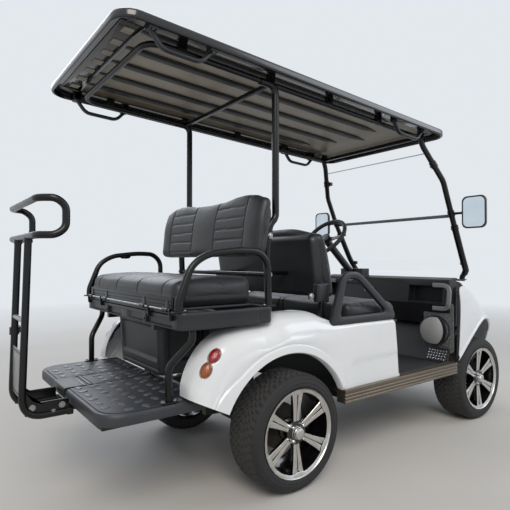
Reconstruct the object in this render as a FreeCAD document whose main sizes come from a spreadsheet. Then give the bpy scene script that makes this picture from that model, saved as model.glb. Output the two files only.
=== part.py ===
"""Four-seat golf cart with a rear flip seat, a footrest deck and a rear grab bar.

Millimetres. +X points forward, +Y to the driver's side and +Z up. The origin lies on the ground
in the middle of the vehicle's length and width.
"""
import FreeCAD, Part
import math
import os
import Sketcher
from FreeCAD import Placement, Rotation, Vector

os.makedirs("parts", exist_ok=True)
doc = FreeCAD.newDocument("golf_cart")
sheet = doc.addObject("Spreadsheet::Sheet", "Sizes")


class Dim:
    """A size that carries its value and the sheet expression which gives it."""

    def __init__(self, value, text):
        self.value = value
        self.text = text

    def __add__(self, other):
        other = dim(other)
        return Dim(self.value + other.value, f"({self.text} + {other.text})")

    def __sub__(self, other):
        other = dim(other)
        return Dim(self.value - other.value, f"({self.text} - {other.text})")

    def __mul__(self, other):
        other = dim(other)
        return Dim(self.value * other.value, f"({self.text} * {other.text})")

    def __truediv__(self, other):
        other = dim(other)
        return Dim(self.value / other.value, f"({self.text} / {other.text})")

    def __radd__(self, other):
        return dim(other) + self

    def __rsub__(self, other):
        return dim(other) - self

    def __rmul__(self, other):
        return dim(other) * self

    def __neg__(self):
        return Dim(-self.value, f"(-1 * {self.text})")


def dim(size):
    """Return the size as a Dim, whether it is one already or a bare number."""
    if isinstance(size, Dim):
        return size
    return Dim(float(size), f"({float(size)!r})")


class Sizes:
    """The driving dimensions, one attribute for each row of the sheet."""


# Name, value in millimetres (or degrees, or a count) and what it is.
SIZE_TABLE = (
    # Stance and wheels
    ("rear_axle_x", -480.0, "rear axle, from the middle of the length"),
    ("wheelbase", 1670.0, "rear axle to front axle"),
    ("wheel_mid_y", 507.0, "middle of the tyre from the centre plane"),
    ("tyre_radius", 274.0, "tyre outside radius, and the height of both axles"),
    ("tyre_width", 205.0, "tyre section width"),
    ("bead_radius", 192.0, "tyre bead on the rim barrel"),
    ("lip_radius", 206.0, "rim lip"),
    ("lip_width", 7.0, "rim lip thickness along the axle"),
    ("barrel_wall", 8.0, "rim barrel wall"),
    ("spoke_count", 6, "spokes of one rim"),
    ("spoke_depth", 22.0, "spoke thickness along the axle"),
    ("spoke_inset", 10.0, "spoke face behind the outer lip"),
    ("hub_radius", 56.0, "rim hub"),
    ("cap_radius", 30.0, "centre cap"),
    ("cap_height", 24.0, "centre cap beyond the hub face"),
    ("stub_radius", 15.0, "axle stub"),
    ("running_clearance", 0.05, "radial clearance of shafts in their bores"),
    ("seat_gap", 0.3, "gap between a moving piece and what it lies on"),
    # Frame
    ("rail_inner_y", 210.0, "inner face of a frame rail"),
    ("rail_width", 40.0, "frame rail width"),
    ("rail_bottom", 355.0, "frame rail underside"),
    ("rail_height", 50.0, "frame rail height"),
    ("rail_rear", 800.0, "frame rails behind the rear axle"),
    ("rail_front", 345.0, "frame rails ahead of the front axle"),
    ("member_width", 40.0, "cross member width"),
    ("tow_plate", 12.0, "tow eye plate"),
    ("tow_drop", 55.0, "tow eye plate below the frame"),
    ("tow_hole", 12.0, "tow eye hole radius"),
    ("axle_tube_radius", 35.0, "rear axle tube"),
    ("drum_radius", 110.0, "brake drum"),
    ("beam_radius", 24.0, "front axle beam"),
    ("kingpin_y", 430.0, "kingpin from the centre plane"),
    ("kingpin_radius", 9.0, "kingpin"),
    ("knuckle_radius", 22.0, "knuckle barrel"),
    ("knuckle_height", 90.0, "knuckle barrel height"),
    ("ear_thickness", 12.0, "beam end ears above and below the knuckle"),
    ("arm_length", 110.0, "steering arm, kingpin to tie rod"),
    ("arm_offset", 62.0, "steering arm end inboard of the kingpin"),
    ("arm_width", 20.0, "steering arm width"),
    ("tie_rod_radius", 10.0, "tie rod"),
    ("spring_width", 36.0, "leaf spring width"),
    ("leaf_thickness", 22.0, "leaf spring pack thickness"),
    ("spring_half", 290.0, "half the leaf spring length"),
    # Floor, rockers and cabin
    ("floor_thickness", 8.0, "floor pan"),
    ("floor_half", 555.0, "half the floor width"),
    ("rocker_gap", 5.0, "inner face of a rocker from the floor edge"),
    ("side_depth", 45.0, "body side beyond the floor edge"),
    ("rocker_out", 20.0, "rocker beyond the body side"),
    ("rocker_bottom", 356.0, "rocker underside"),
    ("rocker_top", 426.0, "rocker top"),
    ("panel_wall", 5.0, "body panel wall"),
    ("seat_box_front", 800.0, "front seat box front, from the rear axle"),
    ("seat_box_rear", 300.0, "front seat box rear, from the rear axle"),
    ("seat_height", 735.0, "underside of the front seat cushion"),
    ("seat_board", 12.0, "board under the front seat cushion"),
    ("lid_setback", 99.0, "front seat cushion rear, from the seat box rear"),
    ("lid_gap", 6.0, "front seat cushion side from the body"),
    ("lid_rod", 4.0, "front seat hinge rod radius"),
    ("cushion_thickness", 130.0, "front seat cushion"),
    ("battery_length", 380.0, "battery pack along the vehicle"),
    ("battery_half", 330.0, "half the battery pack width"),
    ("battery_height", 190.0, "battery pack height"),
    ("arch_radius", 382.0, "rear wheel arch"),
    ("arch_setback", 50.0, "rear wheel arch centre behind the axle"),
    ("arch_lip", 30.0, "rear wheel arch lip width"),
    ("lip_out", 8.0, "rear wheel arch lip beyond the body side"),
    ("fender_depth", 138.0, "rear fender from its inboard edge to the body side"),
    # Rear seat and its tray
    ("tray_rear", 607.0, "tray rear face behind the rear axle"),
    ("tray_front", 131.0, "tray front face behind the rear axle"),
    ("tray_margin", 28.0, "tray side beyond the middle of a hoop"),
    ("tray_bottom", 799.0, "tray underside"),
    ("tray_height", 73.0, "tray wall height"),
    ("tray_rim", 20.0, "tray front and rear wall"),
    ("tray_side", 45.0, "tray side wall"),
    ("tray_floor", 8.0, "tray floor"),
    ("base_thickness", 12.0, "rear seat base plate"),
    ("base_depth", 395.0, "rear seat base, front to rear"),
    ("rear_seat_half", 520.0, "half the rear seat width"),
    ("rear_cushion", 136.0, "rear seat cushion thickness"),
    ("hinge_back", 10.0, "flip hinge axis behind the tray"),
    ("hinge_rod", 5.0, "flip hinge rod radius"),
    ("hoop_gap", 27.0, "armrest hoop tube from the rear cushion"),
    ("hoop_radius", 14.0, "armrest hoop tube"),
    # Footrest, box and grab bar
    ("deck_rear", 890.0, "footrest rear edge behind the rear axle"),
    ("deck_front", 447.0, "footrest front edge behind the rear axle"),
    ("deck_half", 517.0, "half the footrest width"),
    ("deck_top", 504.0, "footrest top"),
    ("deck_thickness", 52.0, "footrest thickness"),
    ("deck_corner", 90.0, "footrest rear corner radius"),
    ("deck_tube", 15.0, "footrest strut tube"),
    ("box_rear", 543.0, "storage box rear face behind the rear axle"),
    ("box_depth", 370.0, "storage box front to rear"),
    ("box_half", 258.0, "half the storage box width"),
    ("box_bottom", 545.0, "storage box underside"),
    ("bar_radius", 15.0, "grab bar tube"),
    ("bar_y", 110.0, "grab bar upright from the centre plane"),
    ("bar_bend", 90.0, "grab bar lower bend"),
    ("bar_low", 430.0, "grab bar lower run"),
    ("bar_top_z", 1325.0, "grab bar upper handle bar"),
    ("bar_mid_z", 1180.0, "grab bar lower handle bar"),
    ("receiver_half", 30.0, "half the hitch receiver width"),
    ("receiver_wall", 8.0, "hitch receiver wall"),
    # Roof and its supports
    ("roof_rear", 843.0, "roof rear edge behind the rear axle"),
    ("roof_front", 279.0, "roof front edge behind the front axle"),
    ("roof_rear_z", 2004.0, "roof rim underside at the rear"),
    ("roof_pitch", 2.97, "roof slope in degrees"),
    ("roof_half", 545.0, "half the roof width"),
    ("roof_rim", 42.0, "roof rim height"),
    ("roof_crown", 26.0, "roof crown above the rim"),
    ("roof_wall", 8.0, "roof skin"),
    ("roof_corner", 95.0, "roof corner radius"),
    ("strut_y", 438.0, "rear strut from the centre plane"),
    ("strut_radius", 18.0, "roof strut tube"),
    ("back_setback", 180.0, "rear backrest front face behind the rear axle"),
    ("back_foot", 1140.0, "rear backrest lower edge"),
    ("glass_thickness", 5.0, "windshield sheet"),
    # Front end
    ("cowl_rear", 320.0, "rockers end behind the front axle"),
    ("dash_top", 962.0, "dashboard height"),
    ("cowl_centre_half", 500.0, "half the width of the raised hood"),
    ("bumper_depth", 40.0, "front bumper depth"),
    ("bumper_half", 450.0, "half the front bumper width"),
    ("bumper_bottom", 330.0, "front bumper underside"),
    ("bumper_height", 90.0, "front bumper height"),
    # Steering
    ("wheel_x", 610.0, "steering wheel behind the front axle"),
    ("wheel_y", 270.0, "steering wheel from the centre plane"),
    ("wheel_z", 1250.0, "steering wheel height"),
    ("wheel_ring", 175.0, "steering wheel ring radius"),
    ("wheel_grip", 13.0, "steering wheel grip radius"),
    ("column_angle", 42.0, "steering column below the horizontal, in degrees"),
    ("column_radius", 27.0, "steering column tube"),
    ("shaft_radius", 9.0, "steering shaft"),
)

size = Sizes()
for row, (name, value, note) in enumerate(SIZE_TABLE, start=1):
    sheet.set(f"A{row}", name)
    sheet.set(f"B{row}", repr(value))
    sheet.set(f"C{row}", note)
    sheet.setAlias(f"B{row}", name)
    setattr(size, name, Dim(float(value), f"Sizes.{name}"))
doc.recompute()

# Stations that several pieces share
REAR = size.rear_axle_x
FRONT = REAR + size.wheelbase
AXLE_Z = size.tyre_radius
RAIL_TOP = size.rail_bottom + size.rail_height
RAIL_OUTER = size.rail_inner_y + size.rail_width
FLOOR_TOP = RAIL_TOP + size.floor_thickness
TRAY_TOP = size.tray_bottom + size.tray_height
DECK_BOTTOM = size.deck_top - size.deck_thickness
BODY_HALF = size.floor_half + size.side_depth
ROCKER_INNER = size.floor_half + size.rocker_gap
FENDER_INNER = BODY_HALF - size.fender_depth
HOOP_Y = size.rear_seat_half + size.hoop_gap + size.hoop_radius
TRAY_HALF = HOOP_Y + size.tray_margin
SEAT_BOARD = size.seat_height - size.seat_board
LID_HALF = size.floor_half - size.lid_gap
FRAME_REAR = REAR - size.rail_rear
FRAME_FRONT = FRONT + size.rail_front
SEAT_BOX_FRONT = REAR + size.seat_box_front
SEAT_BOX_REAR = REAR + size.seat_box_rear
LID_REAR = SEAT_BOX_REAR + size.lid_setback
LID_FRONT = SEAT_BOX_FRONT + 20
TURN = {
    "x": Rotation(Vector(0, 1, 0), 90),
    "y": Rotation(Vector(1, 0, 0), -90),
    "z": Rotation(),
}
nodes = []


def node(obj, label):
    """Name a finished sub-part and keep it for the checks and the export."""
    obj.Label = label
    nodes.append(obj)
    return obj


def place(obj, at, rotation=None):
    """Set an object's placement and tie its position to the sheet."""
    at = [dim(value) for value in at]
    obj.Placement = Placement(Vector(*[value.value for value in at]), rotation or Rotation())
    for axis, value in zip("xyz", at):
        obj.setExpression(f"Placement.Base.{axis}", value.text)
    return obj


def box(name, x, y, z):
    """Make a box between two stations on each axis."""
    obj = doc.addObject("Part::Box", name)
    for prop, (low, high) in zip(("Length", "Width", "Height"), (x, y, z)):
        obj.setExpression(prop, (dim(high) - low).text)
    return place(obj, (x[0], y[0], z[0]))


def cylinder(name, axis, at, radius, length):
    """Make a cylinder that starts at a point and runs along +x, +y or +z."""
    obj = doc.addObject("Part::Cylinder", name)
    obj.setExpression("Radius", dim(radius).text)
    obj.setExpression("Height", dim(length).text)
    return place(obj, at, TURN[axis])


def fuse(name, parts):
    """Join overlapping parts into one."""
    obj = doc.addObject("Part::MultiFuse", name)
    obj.Shapes = parts
    return obj


def compound(name, parts):
    """Keep separate solids together as one sub-part."""
    obj = doc.addObject("Part::Compound", name)
    obj.Links = parts
    return obj


def cut(name, base, tool):
    """Take one part's space out of another."""
    obj = doc.addObject("Part::Cut", name)
    obj.Base = base
    obj.Tool = tool
    return obj


def common(name, one, other):
    """Keep what two parts share."""
    obj = doc.addObject("Part::Common", name)
    obj.Base = one
    obj.Tool = other
    return obj


def mirror(name, source):
    """Mirror a part across the vehicle's centre plane."""
    obj = doc.addObject("Part::Mirroring", name)
    obj.Source = source
    obj.Normal = (0, 1, 0)
    obj.Base = (0, 0, 0)
    return obj


def both_sides(name, source):
    """Keep a part and its mirror image together."""
    return compound(name, [source, mirror(name + "_mirror", source)])


def plane_sketch(body, name, plane, offset, corners):
    """Draw a closed outline of corners on a body's origin plane, each corner tied to the sheet."""
    sketch = body.newObject("Sketcher::SketchObject", name)
    origin = {feature.Role: feature for feature in body.Origin.OriginFeatures}
    sketch.AttachmentSupport = [(origin[plane], "")]
    sketch.MapMode = "FlatFace"
    sketch.setExpression("AttachmentOffset.Base.z", dim(offset).text)
    sizes = [(dim(corner[0]), dim(corner[1])) for corner in corners]
    points = [Vector(u.value, v.value, 0) for u, v in sizes]
    count = len(points)
    for index in range(count):
        sketch.addGeometry(Part.LineSegment(points[index], points[(index + 1) % count]), False)
    for index in range(count):
        sketch.addConstraint(Sketcher.Constraint("Coincident", index, 2, (index + 1) % count, 1))
    for index, pair in enumerate(sizes):
        for kind, value in zip(("DistanceX", "DistanceY"), pair):
            spot = sketch.addConstraint(Sketcher.Constraint(kind, -1, 1, index, 1, value.value))
            sketch.setExpression(f"Constraints[{spot}]", value.text)
    return sketch


def edges_at(shape, plane, corner):
    """Name the straight edges that run along the pad at one corner of its outline."""
    first, second = {"XY_Plane": (0, 1), "XZ_Plane": (0, 2), "YZ_Plane": (1, 2)}[plane]
    found = []
    for index, edge in enumerate(shape.Edges, start=1):
        ends = [vertex.Point for vertex in edge.Vertexes]
        near = [abs(end[first] - corner[0]) + abs(end[second] - corner[1]) < 1e-3 for end in ends]
        if len(ends) == 2 and all(near):
            found.append(f"Edge{index}")
    return found


def pad(name, plane, corners, low, high):
    """Pad an outline between two stations; a corner's third value is its edge radius."""
    body = doc.addObject("PartDesign::Body", name)
    low, high = dim(low), dim(high)
    start = -high if plane == "XZ_Plane" else low
    sketch = plane_sketch(body, name + "_outline", plane, start, corners)
    solid = body.newObject("PartDesign::Pad", name + "_pad")
    solid.Profile = sketch
    solid.setExpression("Length", (high - low).text)
    body.Tip = solid
    rounds = {}
    for corner in corners:
        if len(corner) > 2:
            radius = dim(corner[2])
            spot = (dim(corner[0]).value, dim(corner[1]).value)
            rounds.setdefault(radius.text, (radius, []))[1].append(spot)
    last = solid
    for index, (radius, spots) in enumerate(rounds.values()):
        doc.recompute()
        edges = []
        for spot in spots:
            edges += edges_at(last.Shape, plane, spot)
        rounding = body.newObject("PartDesign::Fillet", f"{name}_round{index}")
        rounding.Base = (last, edges)
        rounding.setExpression("Radius", radius.text)
        body.Tip = rounding
        last = rounding
    return body


def revolve(name, profile, at, rotation=None):
    """Turn a profile of (radius, station along Y) corners about Y."""
    body = doc.addObject("PartDesign::Body", name)
    sketch = plane_sketch(body, name + "_profile", "XY_Plane", 0, profile)
    solid = body.newObject("PartDesign::Revolution", name + "_turned")
    solid.Profile = sketch
    solid.ReferenceAxis = (sketch, ["V_Axis"])
    solid.Angle = 360
    body.Tip = solid
    place(body, at, rotation)
    return body


def path_wire(points, bend):
    """Join points by straight runs and tangent arcs of one bend radius, or shorter where needed."""
    points = [Vector(*[dim(value).value for value in point]) for point in points]
    edges = []
    last = points[0]
    for index in range(1, len(points) - 1):
        before = (points[index - 1] - points[index]).normalize()
        after = (points[index + 1] - points[index]).normalize()
        turn = math.pi - before.getAngle(after)
        if turn < 1e-4:
            continue
        room = 0.45 * min(points[index].distanceToPoint(points[index - 1]),
                          points[index].distanceToPoint(points[index + 1]))
        reach = min(dim(bend).value * math.tan(turn / 2), room)
        radius = reach / math.tan(turn / 2)
        start = points[index] + before * reach
        end = points[index] + after * reach
        inward = (before + after).normalize()
        centre = points[index] + inward * (radius / math.cos(turn / 2))
        middle = centre - inward * radius
        edges.append(Part.LineSegment(last, start).toShape())
        edges.append(Part.Arc(start, middle, end).toShape())
        last = end
    edges.append(Part.LineSegment(last, points[-1]).toShape())
    return Part.Wire(edges)


def tube(name, points, radius, bend):
    """Sweep a round bar along a path of straight runs and arcs."""
    wire = path_wire(points, bend)
    start = wire.OrderedVertexes[0].Point
    ahead = wire.OrderedEdges[0].tangentAt(wire.OrderedEdges[0].FirstParameter)
    if wire.OrderedEdges[0].valueAt(wire.OrderedEdges[0].FirstParameter).distanceToPoint(start) > 1e-6:
        ahead = -ahead
    ring = Part.Wire([Part.Circle(start, ahead, dim(radius).value).toShape()])
    obj = doc.addObject("Part::Feature", name)
    obj.Shape = wire.makePipeShell([ring], True, True)
    return obj


def offset_points(origin, table):
    """Shift a table of (x, z, and maybe radius) steps to a station."""
    return [(origin + step[0],) + tuple(step[1:]) for step in table]


def inset(corners, wall, open_edges=()):
    """Move each edge of an outline inward by a wall, and an open edge outward by as much."""
    count = len(corners)
    spots = [(dim(corner[0]).value, dim(corner[1]).value) for corner in corners]
    area = sum(spots[i][0] * spots[(i + 1) % count][1] - spots[(i + 1) % count][0] * spots[i][1] for i in range(count))
    turn = 1 if area > 0 else -1
    normals = []
    for index in range(count):
        along = Vector(*spots[(index + 1) % count], 0) - Vector(*spots[index], 0)
        along.normalize()
        normals.append((-along.y * turn, along.x * turn))
    moved = []
    for index, corner in enumerate(corners):
        (ax, ay), (bx, by) = normals[index - 1], normals[index]
        depth_a = -wall if (index - 1) % count in open_edges else wall
        depth_b = -wall if index in open_edges else wall
        cross = ax * by - ay * bx
        if abs(cross) < 0.02:
            moved.append((corner[0] + depth_b * bx, corner[1] + depth_b * by) + tuple(corner[2:]))
            continue
        shift_u = depth_a * (by / cross) - depth_b * (ay / cross)
        shift_v = depth_b * (ax / cross) - depth_a * (bx / cross)
        moved.append((corner[0] + shift_u, corner[1] + shift_v) + tuple(corner[2:]))
    return moved


def make_frame():
    """Two rails, the cross members between and outside them, and the tow eye."""
    low, high = size.rail_bottom, RAIL_TOP
    rail = box("rail", (FRAME_REAR, FRAME_FRONT), (size.rail_inner_y, RAIL_OUTER), (low, high))
    node(both_sides("rails", rail), "frame_rails")
    # Cross members: station, whether it reaches out to the rockers
    members = (
        (FRAME_REAR, False),
        (REAR - 500, False),
        (SEAT_BOX_REAR + 60, True),
        (SEAT_BOX_FRONT - 40, False),
        (FRONT - 400, True),
        (FRAME_FRONT - 60, False),
    )
    parts = []
    for index, (station, wide) in enumerate(members):
        span = (station, station + size.member_width)
        parts.append(box(f"member{index}", span, (-size.rail_inner_y, size.rail_inner_y), (low, high)))
        if wide:
            outrigger = box(f"outrigger{index}", span, (RAIL_OUTER, ROCKER_INNER), (low, high))
            parts.append(both_sides(f"outriggers{index}", outrigger))
    node(compound("members", parts), "cross_members")
    plate = box("tow_plate", (FRAME_FRONT - 60, FRAME_FRONT - 10), (-size.tow_plate / 2, size.tow_plate / 2),
                (low - size.tow_drop, low))
    hole = cylinder("tow_hole", "y", (FRAME_FRONT - 35, -size.tow_plate, low - 33), size.tow_hole, 2 * size.tow_plate)
    node(cut("tow_plate_bored", plate, hole), "tow_eye")


def make_rear_axle():
    """Live axle tube with a gearbox, the drive motor, brake drums and wheel stubs."""
    drum_in = size.wheel_mid_y - size.tyre_width / 2 - 12
    drum_out = size.wheel_mid_y - 40
    stub_out = size.wheel_mid_y + 40
    turned = (
        (0, -stub_out), (size.stub_radius, -stub_out), (size.stub_radius, -drum_out),
        (size.drum_radius, -drum_out), (size.drum_radius, -drum_in),
        (size.axle_tube_radius, -drum_in), (size.axle_tube_radius, drum_in),
        (size.drum_radius, drum_in), (size.drum_radius, drum_out),
        (size.stub_radius, drum_out), (size.stub_radius, stub_out), (0, stub_out),
    )
    tube_body = revolve("axle_turned", turned, (REAR, 0, AXLE_Z))
    gearbox = cylinder("gearbox", "y", (REAR, -150, AXLE_Z), 75, 130)
    motor = cylinder("motor", "y", (REAR + 110, 10, AXLE_Z), 74, 190)
    mount = box("motor_mount", (REAR, REAR + 130), (-30, 20), (AXLE_Z - 50, AXLE_Z + 50))
    node(fuse("rear_axle_joined", [tube_body, gearbox, motor, mount]), "rear_axle")


def make_springs():
    """Leaf springs between the axles and the rails, each with hangers at both ends."""
    parts = []
    y_low = size.rail_inner_y + 2
    y_high = y_low + size.spring_width
    seats = ((REAR, size.axle_tube_radius), (FRONT, size.beam_radius))
    for index, (station, below) in enumerate(seats):
        seat = AXLE_Z + below
        top = seat + size.leaf_thickness
        half = size.spring_half if index == 0 else size.spring_half - 60
        outline = (
            (station - half, size.rail_bottom), (station - half, size.rail_bottom - 34),
            (station - half + 20, size.rail_bottom - 34), (station - 60, seat), (station + 60, seat),
            (station + half - 20, size.rail_bottom - 34), (station + half, size.rail_bottom - 34),
            (station + half, size.rail_bottom), (station + half - 20, size.rail_bottom),
            (station + half - 20, size.rail_bottom - 14), (station + 60, top),
            (station - 60, top), (station - half + 20, size.rail_bottom - 14),
            (station - half + 20, size.rail_bottom),
        )
        leaf = pad(f"leaf{index}", "XZ_Plane", outline, y_low, y_high)
        parts.append(both_sides(f"leaves{index}", leaf))
    node(compound("springs", parts), "leaf_springs")


def make_front_axle():
    """Round beam with a pair of ears and a kingpin at each end."""
    ear_low = AXLE_Z - size.knuckle_height / 2 - size.seat_gap
    ear_high = AXLE_Z + size.knuckle_height / 2 + size.seat_gap
    web_y = size.kingpin_y - size.knuckle_radius - 20
    beam = cylinder("beam", "y", (FRONT, -web_y - 5, AXLE_Z), size.beam_radius, 2 * web_y + 10)
    half = size.knuckle_radius
    web_height = (ear_low - size.ear_thickness, ear_high + size.ear_thickness)
    ends = [box("web", (FRONT - half, FRONT + half), (web_y, web_y + size.ear_thickness), web_height)]
    for name, low, high in (
        ("low_ear", ear_low - size.ear_thickness, ear_low),
        ("high_ear", ear_high, ear_high + size.ear_thickness),
    ):
        ends.append(box(name, (FRONT - half, FRONT + half), (web_y, size.kingpin_y + half), (low, high)))
    ends.append(cylinder("kingpin", "z", (FRONT, size.kingpin_y, ear_low - 2), size.kingpin_radius,
                         ear_high - ear_low + 4))
    end = fuse("beam_end", ends)
    node(fuse("front_axle_joined", [beam, end, mirror("beam_end_mirror", end)]), "front_axle")


def make_knuckles():
    """Steering knuckles: a barrel on the kingpin, the wheel stub and the steering arm."""
    low = AXLE_Z - size.knuckle_height / 2
    barrel = cylinder("barrel", "z", (FRONT, size.kingpin_y, low), size.knuckle_radius, size.knuckle_height)
    stub = cylinder("stub", "y", (FRONT, size.kingpin_y, AXLE_Z), size.stub_radius,
                    size.wheel_mid_y + 40 - size.kingpin_y)
    flange = cylinder("flange", "y", (FRONT, size.kingpin_y + 15, AXLE_Z), 40, 14)
    half = size.arm_width / 2
    arm_end = FRONT - size.arm_length
    arm = box("arm", (arm_end - 14, FRONT), (size.kingpin_y - half, size.kingpin_y + half), (low + 4, low + 16))
    foot = box("arm_foot", (arm_end - 14, arm_end + 14), (size.kingpin_y - size.arm_offset - 14, size.kingpin_y + half),
               (low + 4, low + 16))
    bore = cylinder("bore", "z", (FRONT, size.kingpin_y, low - 5),
                    size.kingpin_radius + size.running_clearance, size.knuckle_height + 10)
    left = cut("knuckle_bored", fuse("knuckle_solid", [barrel, stub, flange, arm, foot]), bore)
    node(left, "knuckle_left")
    node(mirror("knuckle_mirror", left), "knuckle_right")


def make_rack():
    """Tie rod through a rack housing that hangs from the frame rails."""
    rod_x = FRONT - size.arm_length
    arm_top = AXLE_Z - size.knuckle_height / 2 + 16
    boss = 24
    rod_z = arm_top + size.seat_gap + boss / 2
    reach = size.kingpin_y - size.arm_offset
    rod = cylinder("rod", "y", (rod_x, -reach, rod_z), size.tie_rod_radius, 2 * reach)
    bosses = both_sides("bosses", cylinder("boss", "z", (rod_x, reach, arm_top + size.seat_gap), 13, boss))
    node(fuse("tie_rod_joined", [rod, bosses]), "tie_rod")
    case_half = 120
    case = cylinder("case", "y", (rod_x, -case_half, rod_z), 26, 2 * case_half)
    hanger = box("hanger", (rod_x - 20, rod_x + 20), (-RAIL_OUTER, RAIL_OUTER),
                 (size.rail_bottom - 12, size.rail_bottom))
    post = box("post", (rod_x - 20, rod_x + 20), (-60, 60), (rod_z, size.rail_bottom - 5))
    bore = cylinder("case_bore", "y", (rod_x, -case_half - 5, rod_z),
                    size.tie_rod_radius + size.running_clearance, 2 * case_half + 10)
    node(cut("rack_bored", fuse("rack_solid", [case, hanger, post]), bore), "rack_housing")


def make_wheel(label, station, side):
    """One wheel, its tyre and its rim, both turned about the axle."""
    turn = Rotation() if side > 0 else Rotation(Vector(0, 0, 1), 180)
    at = (station, side * size.wheel_mid_y, AXLE_Z)
    half = size.tyre_width / 2
    seat = half - size.lip_width
    tyre_profile = (
        (size.bead_radius, -seat), (size.lip_radius + 1, -seat), (size.lip_radius + 8, -half),
        (size.tyre_radius - 34, -half), (size.tyre_radius - 10, 14 - half), (size.tyre_radius, 34 - half),
        (size.tyre_radius, half - 34), (size.tyre_radius - 10, half - 14),
        (size.tyre_radius - 34, half), (size.lip_radius + 8, half), (size.lip_radius + 1, seat),
        (size.bead_radius, seat),
    )
    node(revolve(f"tyre_body_{label}", tyre_profile, at, turn), f"tyre_{label}")
    inner = size.bead_radius - size.barrel_wall
    face = seat - size.spoke_inset
    back = face - size.spoke_depth
    barrel_profile = (
        (inner, -half), (size.lip_radius, -half), (size.lip_radius, -seat), (size.bead_radius, -seat),
        (size.bead_radius, seat), (size.lip_radius, seat), (size.lip_radius, half - 1), (inner, half - 1),
    )
    body = doc.addObject("PartDesign::Body", f"rim_body_{label}")
    barrel_sketch = plane_sketch(body, f"barrel_profile_{label}", "XY_Plane", 0, barrel_profile)
    barrel = body.newObject("PartDesign::Revolution", f"barrel_{label}")
    barrel.Profile = barrel_sketch
    barrel.ReferenceAxis = (barrel_sketch, ["V_Axis"])
    barrel.Angle = 360
    spoke_corners = (
        (-17, 30), (17, 30), (29, inner + 3), (-29, inner + 3),
    )
    spoke_sketch = plane_sketch(body, f"spoke_outline_{label}", "XZ_Plane", -face, spoke_corners)
    spoke = body.newObject("PartDesign::Pad", f"spoke_{label}")
    spoke.Profile = spoke_sketch
    spoke.setExpression("Length", (face - back).text)
    doc.recompute()
    origin = {feature.Role: feature for feature in body.Origin.OriginFeatures}
    spokes = body.newObject("PartDesign::PolarPattern", f"spokes_{label}")
    spokes.Originals = [spoke]
    spokes.Axis = (origin["Y_Axis"], [""])
    spokes.Angle = 360
    spokes.setExpression("Occurrences", size.spoke_count.text)
    body.Tip = spokes
    bore = size.stub_radius + size.running_clearance
    bore_end = dim(42)
    hub_back = dim(12)
    hub_profile = (
        (bore, hub_back), (size.hub_radius, hub_back), (size.hub_radius, face), (size.cap_radius, face),
        (size.cap_radius - 4, face + size.cap_height), (0, face + size.cap_height), (0, bore_end), (bore, bore_end),
    )
    hub_sketch = plane_sketch(body, f"hub_profile_{label}", "XY_Plane", 0, hub_profile)
    hub = body.newObject("PartDesign::Revolution", f"hub_{label}")
    hub.Profile = hub_sketch
    hub.ReferenceAxis = (hub_sketch, ["V_Axis"])
    hub.Angle = 360
    body.Tip = hub
    place(body, at, turn)
    node(body, f"rim_{label}")


def make_floor():
    """Floor pan with its rising toe board."""
    toe_x, toe_z = FRONT - 210, RAIL_TOP + 235
    foot_x = FRONT - 340
    wall = size.floor_thickness
    outline = (
        (SEAT_BOX_REAR, RAIL_TOP), (foot_x + 5, RAIL_TOP), (toe_x + 7, toe_z - 4), (toe_x, toe_z),
        (foot_x, RAIL_TOP + wall), (SEAT_BOX_REAR, RAIL_TOP + wall),
    )
    node(pad("floor", "XZ_Plane", outline, -size.floor_half, size.floor_half), "floor_pan")


def make_rockers():
    """Grooved aluminium rocker under each side opening."""
    low, high = size.rocker_bottom, size.rocker_top
    outer = BODY_HALF + size.rocker_out
    groove, land = 6, 11
    corners = [(ROCKER_INNER, low), (outer, low)]
    for index in range(3):
        start = low + land + index * (groove + land)
        corners += [(outer, start), (outer - 4, start), (outer - 4, start + groove), (outer, start + groove)]
    corners += [(outer, high), (ROCKER_INNER, high)]
    rocker = pad("rocker", "YZ_Plane", corners, SEAT_BOX_REAR, FRONT - size.cowl_rear)
    node(both_sides("rockers", rocker), "rocker_panels")


def make_seat_box():
    """Open-topped box under the front seat with a ledge and the lid's hinge rods, and the battery pack in it."""
    wall = size.panel_wall
    top = SEAT_BOARD - size.seat_gap
    outer = box("seat_box_outer", (SEAT_BOX_REAR, SEAT_BOX_FRONT), (-size.floor_half, size.floor_half),
                (FLOOR_TOP, top))
    inner = box("seat_box_inner", (SEAT_BOX_REAR + wall, SEAT_BOX_FRONT - wall),
                (wall - size.floor_half, size.floor_half - wall), (FLOOR_TOP - 5, top + 5))
    ledge = box("seat_box_ledge", (SEAT_BOX_REAR, LID_REAR - 5), (-size.floor_half, size.floor_half), (top - 12, top))
    axis_x, axis_z = lid_axis()
    hinge = [cylinder("lid_rod", "y", (axis_x, 270, axis_z), size.lid_rod, 120)]
    for index, y in enumerate((270, 370)):
        hinge.append(box(f"lid_ear{index}", (SEAT_BOX_FRONT - 1, axis_x + 6), (y, y + 20), (axis_z - 6, axis_z + 6)))
    hinges = fuse("lid_hinge", hinge)
    shell = cut("seat_box_shell", outer, inner)
    node(fuse("seat_box_joined", [shell, ledge, hinges, mirror("lid_hinge_mirror", hinges)]), "seat_box")
    rear = SEAT_BOX_REAR + 60
    node(box("battery", (rear, rear + size.battery_length), (-size.battery_half, size.battery_half),
             (FLOOR_TOP, FLOOR_TOP + size.battery_height)), "battery_pack")


def lid_axis():
    """Station and height of the front seat's hinge axis."""
    return SEAT_BOX_FRONT + 13, SEAT_BOARD - 12


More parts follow.
